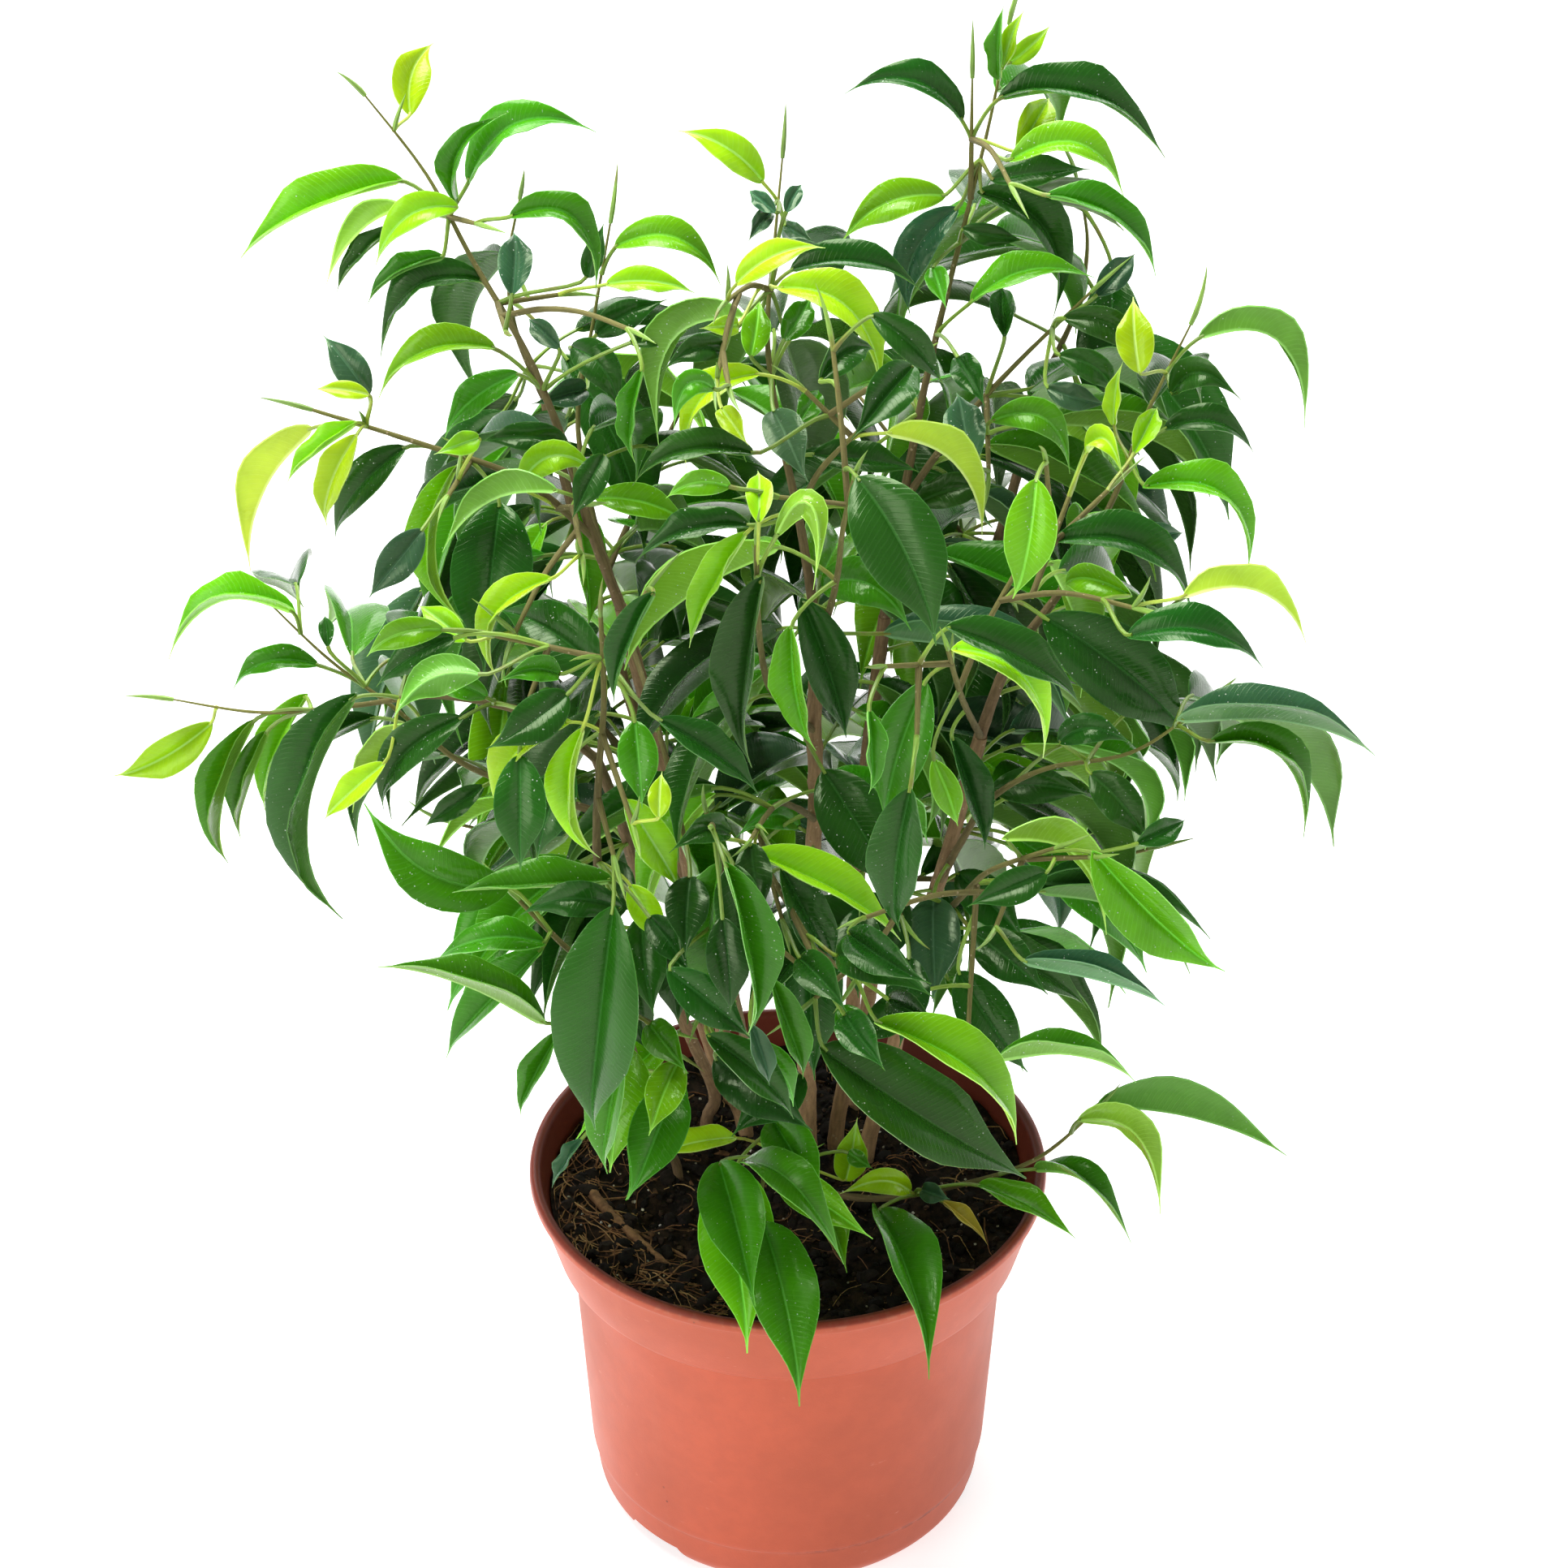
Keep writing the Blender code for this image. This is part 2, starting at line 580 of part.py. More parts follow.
        ((1080, 1491), (1145, 1540), (1151, 1699), 84, "mid", (22, 70)),
        ((1122, 1469), (1086, 1444), (1035, 1473), 36, "lime", (16, 20)),
        ((1160, 1480), None, (1218, 1534), 22, "yellow", (14, 22)),
        ((1135, 1466), None, (1171, 1478), 30, "grey", (18, 22)),
        ((1327, 1381), (1375, 1362), (1429, 1494), 40, "bright_under", (9, 20)),
        ((1354, 1358), (1430, 1343), (1583, 1425), 42, "mid_under", (9, 6)),
        ((1274, 1441), (1325, 1430), (1394, 1535), 36, "mid", (12, 26)),
        ((1204, 1460), None, (1325, 1527), 40, "bright", (14, 28)),
        ((1045, 1420), None, (1075, 1440), 24, "mid", (8, 12)),
        ((860, 1150), None, (845, 1262), 62, "dark", 10),
    ),
    "leafy_stem_left": (
        ((364, 755), (300, 718), (205, 814), 38, "bright", 0),
        ((404, 798), None, (400, 758), 28, "dark", 0),
        ((393, 820), (340, 797), (284, 851), 38, "mid", 0),
        ((262, 890), (200, 942), (139, 958), 56, "lime", 0),
        ((314, 886), (248, 950), (280, 1069), 54, "mid", 0),
        ((330, 900), None, (292, 1033), 38, "mid", 3),
        ((379, 855), (322, 905), (325, 998), 48, "bright", 0),
        ((439, 855), (345, 960), (415, 1135), 58, "dark", 0),
        ((475, 940), None, (398, 1012), 40, "lime", 5),
        ((521, 895), (450, 920), (430, 1000), 45, "bright_under", 4),
        ((571, 884), (500, 900), (467, 998), 60, "dark", 0),
        ((597, 968), None, (521, 1018), 36, "dark", 8),
        ((600, 860), (560, 830), (520, 850), 36, "mid", 8),
        ((650, 875), None, (690, 850), 30, "mid", 8),
    ),
}

# How many leaves fill each stem out, behind the front ones and all round the back
FILL = {
    "leafy_stem_left": 4,
    "leafy_stem_top_left": 7,
    "leafy_stem_centre": 5,
    "leafy_stem_top_right": 8,
    "leafy_stem_right": 8,
    "leafy_stem_back_left": 32,
    "leafy_stem_back_right": 32,
}
FILL_TRIES = 60
FILL_LOWEST = 118.0
FILL_SEED = 11
FILL_FURTHEST = 1.12
FILL_LENGTHS = (38.0, 54.0)
FILL_WIDTHS = (0.38, 0.44)
FILL_ARCHES = (0.10, 0.22)
FILL_RISES = (-0.1, 0.7)
FILL_DROOPS = (15.0, 72.0)
FILL_SPREAD = 1.1
FILL_ROLL = 0.35
FILL_CHORD = 0.96
# Pixels of the view within which a front leaf backs a filling leaf, as seen at these rows,
# because the crown is open at its top and sides
NEAR_FRONT_LEAF = (22.0, 50.0, 50.0, 28.0)
BACKED_ROWS = (400.0, 760.0, 980.0, 1200.0)
# The dense middle of the crown: where it is seen, its half width and half height, and how
# near a front leaf is to a filling one there, all in pixels of the view
DENSE_MIDDLE = (966.0, 800.0)
DENSE_RADII = (370.0, 430.0)
NEAR_IN_MIDDLE = 80.0
# Pixels of the view within which a filling leaf would cover a front one
HIDES_FRONT_LEAF = 46.0
HIDING_MARGIN = 2.0


def unit(vector):
    return vector / max(float(np.linalg.norm(vector)), 1e-12)


def ray(across, down):
    """Direction, with no unit length, in which the view shows this pixel."""
    right = (across - VIEW_MIDDLE) / VIEW_PIXELS
    up = (VIEW_MIDDLE - down) / VIEW_PIXELS
    sine, cosine = math.sin(VIEW_DOWN), math.cos(VIEW_DOWN)
    return np.array((right, cosine + up * sine, -sine + up * cosine))


def seen(across, down, toward):
    """The point this far in front of the pot's middle that the view shows at this pixel."""
    direction = ray(across, down)
    origin = np.array((VIEW_X, VIEW_Y, VIEW_Z))
    return origin + direction * ((-toward - VIEW_Y) / direction[1])


def pixel(point):
    """(across, down, distance) of a point in the view."""
    offset = np.asarray(point) - np.array((VIEW_X, VIEW_Y, VIEW_Z))
    sine, cosine = math.sin(VIEW_DOWN), math.cos(VIEW_DOWN)
    distance = offset[1] * cosine - offset[2] * sine
    up = offset[1] * sine + offset[2] * cosine
    return np.array(
        (
            VIEW_MIDDLE + VIEW_PIXELS * offset[0] / distance,
            VIEW_MIDDLE - VIEW_PIXELS * up / distance,
            distance,
        )
    )


def crown_front(across, down):
    """How far the crown's front lies in front of the pot's middle at this pixel."""
    direction = ray(across, down) / CROWN_RADII
    start = (np.array((VIEW_X, VIEW_Y, VIEW_Z)) - CROWN_MIDDLE) / CROWN_RADII
    nearest = -(start @ direction) / (direction @ direction)
    miss = start + direction * nearest
    inside = max(0.0, 1.0 - miss @ miss)
    entry = nearest - math.sqrt(inside / (direction @ direction))
    return -(VIEW_Y + ray(across, down)[1] * entry)


def pot_wall():
    """Outer outline of the pot, from the lip down, as (radius, height)."""
    collar_foot = POT_HEIGHT - COLLAR_HEIGHT
    return (
        (RIM_RADIUS - LIP_ROUNDING, POT_HEIGHT),
        (RIM_RADIUS, POT_HEIGHT - LIP_HEIGHT),
        (RIM_RADIUS - LIP_DEPTH, POT_HEIGHT - LIP_HEIGHT - LIP_UNDERCUT),
        (COLLAR_FOOT_RADIUS, collar_foot),
        (BODY_TOP_RADIUS, collar_foot - COLLAR_STEP),
        (BAND_RADIUS, BAND_HEIGHT),
        (BAND_RADIUS - BAND_STEP, BAND_HEIGHT - BAND_STEP),
        (BASE_CURVE_RADIUS, BASE_CURVE_HEIGHT),
        (BASE_RADIUS, 0.0),
    )


def pot_inside():
    """Inner outline of the pot, from the floor's edge up, as (radius, height)."""
    collar_foot = POT_HEIGHT - COLLAR_HEIGHT
    return (
        (BASE_RADIUS - WALL, FLOOR),
        (BASE_CURVE_RADIUS - WALL, FLOOR + BASE_CURVE_HEIGHT),
        (BODY_TOP_RADIUS - WALL, collar_foot - INSIDE_STEP[0]),
        (COLLAR_FOOT_RADIUS - WALL, collar_foot - INSIDE_STEP[1]),
        (RIM_RADIUS - LIP_DEPTH - WALL, POT_HEIGHT),
    )


def inner_radius(height):
    radii, heights = zip(*pot_inside())
    return float(np.interp(height, heights, radii))


def soil_level():
    return POT_HEIGHT - SOIL_BELOW_RIM


def soil_bump(x, y):
    """Height of the soil's loose surface over its level, in millimetres."""
    waves = [share * math.sin(x * a + y * b + start) for share, a, b, start in SOIL_WAVES]
    return SOIL_BUMP * sum(waves)


def on_soil(across, down):
    """(x, y) where the view shows the soil's level at this pixel."""
    direction = ray(across, down)
    reach = (soil_level() - VIEW_Z) / direction[2]
    return VIEW_X + direction[0] * reach, VIEW_Y + direction[1] * reach


def smooth_line(points, radii, step):
    """Points about this far apart on a smooth curve through these, with their radii."""
    points = [np.asarray(p, float) for p in points]
    fine = []
    for i in range(len(points) - 1):
        before, a, b = points[max(i - 1, 0)], points[i], points[i + 1]
        after = points[min(i + 2, len(points) - 1)]
        for t in np.arange(FINE_STEPS) / FINE_STEPS:
            square, cube = t * t, t * t * t
            fine.append(
                0.5 * (2 * a + (b - before) * t)
                + 0.5 * (2 * before - 5 * a + 4 * b - after) * square
                + 0.5 * (3 * a - before - 3 * b + after) * cube
            )
    fine = np.array([*fine, points[-1]])
    gone = np.concatenate([[0.0], np.cumsum(np.linalg.norm(np.diff(fine, axis=0), axis=1))])
    count = max(1, round(gone[-1] / step))
    places = np.linspace(0.0, gone[-1], count + 1)
    line = np.stack([np.interp(places, gone, fine[:, k]) for k in range(3)], axis=1)
    return list(line), list(np.linspace(radii[0], radii[1], count + 1))


def bearers(line):
    """The places on a twig or branch where leaf stalks can start."""
    return [(a + b) / 2 for a, b in zip(line, line[1:])]


def branch_lines():
    """(stem, points, radii, leafy) of every trunk and branch."""
    lines = []
    for stem, (foot, points, thick, thin) in TRUNKS.items():
        lines.append((stem, on_soil(*foot), [seen(*p) for p in points], (thick, thin)))
    for stem, (foot, points, thick, thin) in BACK_TRUNKS.items():
        lines.append((stem, foot, [np.array(p) for p in points], (thick, thin)))
    done = []
    for stem, (x, y), points, radii in lines:
        low = soil_level() - HOLE_DEPTH + SOIL_GAP
        straight = [np.array((x, y, low)), np.array((x, y, soil_level() + STRAIGHT_ABOVE_SOIL))]
        line, sizes = smooth_line([straight[1], *points], radii, BRANCH_STEP)
        done.append((stem, [straight[0], *line], [radii[0], *sizes], False))
    for stem, points, thick, thin in BRANCHES:
        line, sizes = smooth_line([seen(*p) for p in points], (thick, thin), BRANCH_STEP)
        done.append((stem, line, sizes, True))
    for stem, points, thick, thin in BACK_BRANCHES:
        line, sizes = smooth_line(points, (thick, thin), BRANCH_STEP)
        done.append((stem, line, sizes, True))
    return done


class Leaf:
    """One leaf: its stalk's root on a twig, and its blade's foot, arch, tip and upper face."""

    def __init__(self, stem, foot, arch, tip, face, width, tone):
        self.stem, self.foot, self.arch, self.tip = stem, foot, arch, tip
        self.face, self.width, self.tone = face, width, tone
        self.root = foot
        first = float(np.linalg.norm(arch - foot))
        second = float(np.linalg.norm(tip - arch))
        self.bend = min(BEND_PLACES[1], max(BEND_PLACES[0], first / (first + second)))

    def at(self, t):
        """The blade's middle line, a parabola through its foot, arch and tip."""
        b = self.bend
        return (
            self.foot * (t - b) * (t - 1.0) / b
            + self.arch * t * (t - 1.0) / (b * (b - 1.0))
            + self.tip * t * (t - b) / (1.0 - b)
        )

    def axes(self, t):
        """Unit vectors across the blade and out of its upper face."""
        along = unit(self.at(min(1.0, t + ALONG_STEP)) - self.at(max(0.0, t - ALONG_STEP)))
        out = unit(self.face - along * float(self.face @ along))
        return np.cross(along, out), out


def leaf_mesh(leaf, grow=0.0):
    """Points and triangles of one leaf, with its stalk: a folded lens in section."""
    young = leaf.tone in YOUNG_TONES
    thick = (YOUNG_HALF_THICKNESS if young else OLD_HALF_THICKNESS) + grow

    small = PETIOLE_RADIUS + grow
    points = []
    across, out = leaf.axes(0.0)
    stalk = unit(leaf.foot - leaf.root)
    ends = [(leaf.root, across, out), (leaf.foot, across, out)]
    if float(stalk @ np.cross(out, across)) < SHARPEST_STALK:
        root_across = unit(across - stalk * float(across @ stalk))
        ends[0] = (leaf.root, root_across, np.cross(root_across, stalk))
    for middle, side, up in ends:
        points += [middle + small * (up * 0.5 - side), middle + small * (up * 0.5 + side)]
        points.append(middle - small * up)
    for place, width in zip(BLADE_PLACES, BLADE_WIDTHS):
        across, out = leaf.axes(place)
        half = leaf.width / 2 * width + grow
        side, rise = across * half * math.cos(BLADE_FOLD), out * half * math.sin(BLADE_FOLD)
        middle = leaf.at(place)
        points += [middle - side + rise, middle + out * thick]
        points += [middle + side + rise, middle - out * thick]
    points.append(leaf.at(1.0))
    faces = [(0, 2, 1), (0, 1, 4), (0, 4, 3), (1, 2, 5), (1, 5, 4), (2, 0, 3), (2, 3, 5)]
    faces += [(3, 7, 6), (3, 4, 7), (4, 8, 7), (4, 5, 8), (5, 9, 8), (5, 3, 9), (3, 6, 9)]
    for row in range(len(BLADE_PLACES) - 1):
        left, top, right, under = (6 + 4 * row + k for k in range(4))
        left2, top2, right2, under2 = (k + 4 for k in (left, top, right, under))
        faces += [(top, left2, left), (top, top2, left2)]
        faces += [(right, right2, top), (top, right2, top2)]
        faces += [(left, left2, under), (under, left2, under2)]
        faces += [(under, right2, right), (under, under2, right2)]
    left, top, right, under = (4 * len(BLADE_PLACES) + 2 + k for k in range(4))
    end = 4 * len(BLADE_PLACES) + 6
    faces += [(left, top, end), (top, right, end), (right, under, end), (under, left, end)]
    return np.array(points), faces


def tube_mesh(line, radii, sides=5):
    """A plain tube round a line, for telling what crosses what."""
    points, faces = [], []
    for i, (middle, radius) in enumerate(zip(line, radii)):
        along = unit(line[min(i + 1, len(line) - 1)] - line[max(i - 1, 0)])
        across = unit(np.cross(along, (0.31, 0.77, 0.53)))
        other = np.cross(along, across)
        for k in range(sides):
            turn = 2 * math.pi * k / sides
            points.append(middle + radius * (across * math.cos(turn) + other * math.sin(turn)))
    for i in range(len(line) - 1):
        for k in range(sides):
            a, b = sides * i + k, sides * i + (k + 1) % sides
            faces += [(a, b, b + sides), (a, b + sides, a + sides)]
    return np.array(points), faces


def barrier_mesh():
    """The pot and soil as a plain cup with a lid, which leaves keep clear of."""
    lid, top = soil_level() + SOIL_CLEARANCE, POT_HEIGHT + POT_CLEARANCE
    collar_foot = POT_HEIGHT - COLLAR_HEIGHT
    outline = [(0.0, lid), (inner_radius(lid), lid), (RIM_RADIUS - LIP_DEPTH - WALL, top)]
    outline += [(RIM_RADIUS + POT_CLEARANCE, top)]
    outline += [(COLLAR_FOOT_RADIUS + POT_CLEARANCE, collar_foot), (BASE_RADIUS, 0.0)]
    sides = 24
    points, faces = [], []
    for radius, height in outline:
        for k in range(sides):
            turn = 2 * math.pi * k / sides
            points.append((radius * math.cos(turn), radius * math.sin(turn), height))
    for i in range(len(outline) - 1):
        for k in range(sides):
            a, b = sides * i + k, sides * i + (k + 1) % sides
            faces += [(a, b, b + sides), (a, b + sides, a + sides)]
    return np.array(points), faces


class Thicket:
    """What has grown so far, so that nothing new crosses another stem."""

    def __init__(self):
        self.trees, self.stems, self.lows, self.highs = [], [], [], []
        self.nodes, self.branch_pixels = {}, {}
        self.twigs, self.leaves = [], []

    def add(self, stem, points, faces):
        self.trees.append(BVHTree.FromPolygons(points.tolist(), faces))
        self.stems.append(stem)
        self.lows.append(points.min(axis=0))
        self.highs.append(points.max(axis=0))

    def crossed(self, points, faces):
        """The stems that these triangles cross."""
        low, high = points.min(axis=0), points.max(axis=0)
        near = (np.array(self.lows) <= high).all(axis=1)
        near &= (np.array(self.highs) >= low).all(axis=1)
        tree = BVHTree.FromPolygons(points.tolist(), faces)
        return {self.stems[i] for i in np.flatnonzero(near) if tree.overlap(self.trees[i])}

    def bearer(self, leaf):
        """The twig point of this stem that best bears a leaf: near its foot, and behind it."""
        ahead = unit(leaf.at(STALK_AIM) - leaf.foot)
        known = np.array(self.nodes[leaf.stem])
        ways = leaf.foot - known
        gaps = np.linalg.norm(ways, axis=1) + 1e-9
        turned_away = 1.0 - (ways @ ahead) / gaps
        cost = gaps + TURN_COST * turned_away + NEAR_COST * (gaps < NEAREST_BEARER)
        return known[int(np.argmin(cost))]

    def link(self, leaf):
        """The twig that a leaf needs, as points and radii, after its stalk's root is set."""
        start = self.bearer(leaf)
        gap = float(np.linalg.norm(start - leaf.foot))
        if gap <= LONGEST_PETIOLE:
            leaf.root = start
            return [], []
        ahead = unit(leaf.at(STALK_AIM) - leaf.foot)
        way = unit(ahead + AWAY_FROM_TWIG * unit(leaf.foot - start))
        end = leaf.foot - way * PETIOLE_LENGTH * STALK_ON_TWIG
        leaf.root = end
        middle = (start + end) / 2 + np.array((0.0, 0.0, TWIG_RISE * gap))
        radii = [TWIG_RADIUS * share for share in TWIG_TAPER]
        return smooth_line([start, middle, end], radii, TWIG_STEP)

    def fits(self, leaf):
        """(no other stem is crossed, nothing of its own stem is crossed, twig) of a leaf.

        The first three points are the stalk's root, which sinks into its own stem.
        """
        line, radii = self.link(leaf)
        points, faces = leaf_mesh(leaf, CLEAR)
        hit = self.crossed(points[3:], [tuple(k - 3 for k in f) for f in faces if min(f) >= 3])
        own = leaf.stem in hit
        hit |= self.crossed(points, faces)
        if line:
            hit |= self.crossed(*tube_mesh(line, [r + CLEAR for r in radii]))
        return not hit - {leaf.stem}, not own, (line, radii)

    def keep(self, leaf, twig):
        line, radii = twig
        if line:
            self.twigs.append((leaf.stem, line, radii))
            self.add(leaf.stem, *tube_mesh(line, radii))
            self.nodes[leaf.stem].extend(bearers(line))
        self.add(leaf.stem, *leaf_mesh(leaf))
        self.leaves.append(leaf)


def front_leaf(thicket, stem, row, shift):
    """A leaf as the view shows it, this much nearer the view than its row says."""
    foot, arch, tip, wide, tone, behind = row
    if arch:
        top, chord_middle = np.array(arch), (np.array(foot) + np.array(tip)) / 2
        drop = min(ARCH_EDGE * wide, FURTHEST_DROP * math.dist(top, chord_middle))
        arch = tuple(top + drop * unit(chord_middle - top))
    if isinstance(behind, tuple):
        start, end = behind[0] + shift, behind[1] + shift
        reach = None
    else:
        start = foot_distance(thicket, stem, foot, behind) + shift
        end, reach = start, 1.0 if tip[1] > foot[1] else -1.0
    size = pixel(seen(*foot, start))[2] / VIEW_PIXELS
    chord = math.dist(foot, tip) * size
    showing = wide * size
    length = max(LENGTH_TO_CHORD * chord, LENGTH_TO_WIDTH * showing)
    if reach:
        slanting = math.sqrt(max(0.0, length**2 - (LENGTH_TO_CHORD * chord) ** 2))
        end += reach * min(FURTHEST_REACH, slanting)
    foot_point, tip_point = seen(*foot, start), seen(*tip, end)
    length = float(np.linalg.norm(tip_point - foot_point))
    width = max(showing, NARROWEST * length)
    lean = math.acos(min(1.0, max(LEAST_FACING, showing / width)))
    along = unit(tip_point - foot_point)
    to_view = unit(-ray((foot[0] + tip[0]) / 2, (foot[1] + tip[1]) / 2))
    facing = unit(to_view - along * float(to_view @ along))
    across = np.cross(facing, along)
    middle = (foot_point + tip_point) / 2
    under = tone.endswith("under")
    sign = -1.0 if under else 1.0
    if arch:
        bulge = seen(*arch, (start + end) / 2) - middle
        turn = 1.0 if float(bulge @ across) > 0 else -1.0
    else:
        turn = 1.0 if across[2] > 0 else -1.0
    face = unit(sign * facing * math.cos(lean) + turn * across * math.sin(lean))
    if arch:
        raised = float(np.linalg.norm(bulge)) * ARCH_RISE[0] + ARCH_RISE[1] * length
        raised = min(HIGHEST_ARCH * length, raised)
        arch_point = seen(*arch, (start + end) / 2 + sign * raised * math.cos(lean))
    else:
        arch_point = middle + face * FLAT_LEAF_ARCH * length
    return Leaf(stem, foot_point, arch_point, tip_point, face, width, tone)


def foot_distance(thicket, stem, foot, behind):
    """How far in front of the pot's middle a leaf's foot is: on a branch, or on the crown."""
    crown = crown_front(*foot) - FOOT_BEHIND_CROWN - behind
    gap, branch = min(
        (math.dist(foot, place[:2]), place[2]) for place in thicket.branch_pixels[stem]
    )
    return float(np.interp(gap, ON_BRANCH_PIXELS, (branch, crown)))


def grow_front(thicket):
    dropped = 0
    for stem, rows in LEAVES.items():
        for row in rows:
            second = None
            for shift in SHIFTS:
                leaf = front_leaf(thicket, stem, row, shift)
                clear, alone, twig = thicket.fits(leaf)
                if clear and alone:
                    thicket.keep(leaf, twig)
                    break
                if clear and second is None:
                    second = (leaf, twig)
            else:
                if second:
                    thicket.keep(*second)
                else:
                    dropped += 1
    return dropped


def fill_leaf(thicket, stem, draw):
    """A leaf somewhere on a stem's twigs, arching out and down."""
    start = thicket.nodes[stem][draw.randrange(len(thicket.nodes[stem]))]
    outward = math.atan2(start[1], start[0]) + draw.gauss(0.0, FILL_SPREAD)
    level = np.array((math.cos(outward), math.sin(outward), 0.0))
    rise = draw.uniform(*FILL_RISES)
    foot = start + PETIOLE_LENGTH * unit(level + np.array((0.0, 0.0, rise)))
    length = draw.uniform(*FILL_LENGTHS)
    droop = math.radians(draw.uniform(*FILL_DROOPS))
    chord = level * math.cos(droop) - np.array((0.0, 0.0, math.sin(droop)))
    tip = foot + FILL_CHORD * length * chord
    face = unit(np.array((0.0, 0.0, 1.0)) - chord * float(chord[2]))
    roll = draw.gauss(0.0, FILL_ROLL)
    face = unit(face * math.cos(roll) + np.cross(face, chord) * math.sin(roll))
    arch = foot + 0.5 * length * chord + face * length * draw.uniform(*FILL_ARCHES)
    return Leaf(stem, foot, arch, tip, face, length * draw.uniform(*FILL_WIDTHS), "dark")


def fill_allowed(leaf, front):
    """Whether a filling leaf stays in the crown and covers none of the front leaves."""
    places = [leaf.at(t) for t in (0.0, 0.35, 0.7, 1.0)]
    if min(p[2] for p in places) < FILL_LOWEST:
        return False
    for place in places:
        above = place[2] > CROWN_MIDDLE[2]
        if above and np.linalg.norm((place - CROWN_MIDDLE) / CROWN_RADII) > FILL_FURTHEST:
            return False
        if np.linalg.norm(place[:2] / CROWN_RADII[:2]) > FILL_FURTHEST:
            return False
    across = unit(np.cross(leaf.tip - leaf.foot, leaf.face)) * leaf.width / 2
    edges = [leaf.at(t) + side * across for t in (0.3, 0.6) for side in (-1.0, 1.0)]
    for place in places + edges:
        shown = pixel(place)
        gaps = np.hypot(front[:, 0] - shown[0], front[:, 1] - shown[1])
        off_middle = (shown[:2] - DENSE_MIDDLE) / DENSE_RADII
        near = np.interp(shown[1], BACKED_ROWS, NEAR_FRONT_LEAF)
        if gaps.min() > (NEAR_IN_MIDDLE if off_middle @ off_middle < 1.0 else near):
            return False
        if (front[gaps < HIDES_FRONT_LEAF, 2] > shown[2] - HIDING_MARGIN).any():
            return False
    return True


def grow_fill(thicket):
    draw = random.Random(FILL_SEED)
    places = np.linspace(0.0, 1.0, 7)
    front = np.array([pixel(leaf.at(t)) for leaf in thicket.leaves for t in places])
    for stem, wanted in FILL.items():
        grown = 0
        for _ in range(wanted * FILL_TRIES):
            if grown == wanted:
                break
            leaf = fill_leaf(thicket, stem, draw)
            if not fill_allowed(leaf, front):
                continue
            clear, alone, twig = thicket.fits(leaf)
            if clear and alone:
                thicket.keep(leaf, twig)
                grown += 1
        print(stem, "filling leaves", grown, "of", wanted)


def grow():
    """The whole plant: a thicket with its branches, twigs and leaves."""
    thicket = Thicket()
    thicket.add("pot", *barrier_mesh())
    for stem, line, radii, leafy in branch_lines():
        thicket.add(stem, *tube_mesh(line, radii))
        places = [pixel(p)[:2].tolist() + [-p[1]] for p in line]
        if leafy:
            thicket.branch_pixels.setdefault(stem, []).extend(places)
        above = [p for p in bearers(line) if p[2] > soil_level() + LOWEST_BEARER]
        thicket.nodes.setdefault(stem, []).extend(above)
    print("front leaves left out:", grow_front(thicket))
    grow_fill(thicket)
    return thicket


def remove_everything():
    for found in list(bpy.data.objects):
        bpy.data.objects.remove(found, do_unlink=True)
    for found in list(bpy.data.collections):
        bpy.data.collections.remove(found)


def new_collection(name):
    made = bpy.data.collections.new(name)
    bpy.context.scene.collection.children.link(made)
    return made


def material(name, colour, roughness):
    made = bpy.data.materials.new(name)
    made.use_nodes = True
    shader = made.node_tree.nodes["Principled BSDF"]
    shader.inputs["Base Color"].default_value = (*colour, 1.0)
    shader.inputs["Roughness"].default_value = roughness
    shader.inputs["Metallic"].default_value = 0.0
    return made


def mesh_object(name, points, faces, collection):
    mesh = bpy.data.meshes.new(name)
    mesh.from_pydata([tuple(float(c) * MM for c in p) for p in points], [], faces)
    mesh.update()
    made = bpy.data.objects.new(name, mesh)
    collection.objects.link(made)
    return made


def turned(name, outline, steps, collection):
    """A solid turned about Z from an outline that runs from the axis, up, out and down."""
    mesh = bpy.data.meshes.new(name)
    points = [(r * MM, 0.0, h * MM) for r, h in outline]
    mesh.from_pydata(points, [(i, i + 1) for i in range(len(points) - 1)], [])
    made = bpy.data.objects.new(name, mesh)
    collection.objects.link(made)
    screw = made.modifiers.new("Turn", "SCREW")
    screw.steps = steps
    screw.render_steps = steps
    screw.use_merge_vertices = True
    screw.merge_threshold = 0.00001
    return made


def applied(thing):
    """The object with its modifiers applied to its mesh."""
    graph = bpy.context.evaluated_depsgraph_get()
    mesh = bpy.data.meshes.new_from_object(thing.evaluated_get(graph))
    thing.modifiers.clear()
    old = thing.data
    thing.data = mesh
    bpy.data.meshes.remove(old)
    mesh.name = thing.name
    return thing


def cut(thing, cutter, name):
    boolean = thing.modifiers.new(name, "BOOLEAN")
    boolean.operation = "DIFFERENCE"
    boolean.object = cutter


def hide_cutter(cutter):
    cutter.hide_render = True
    cutter.display_type = "WIRE"


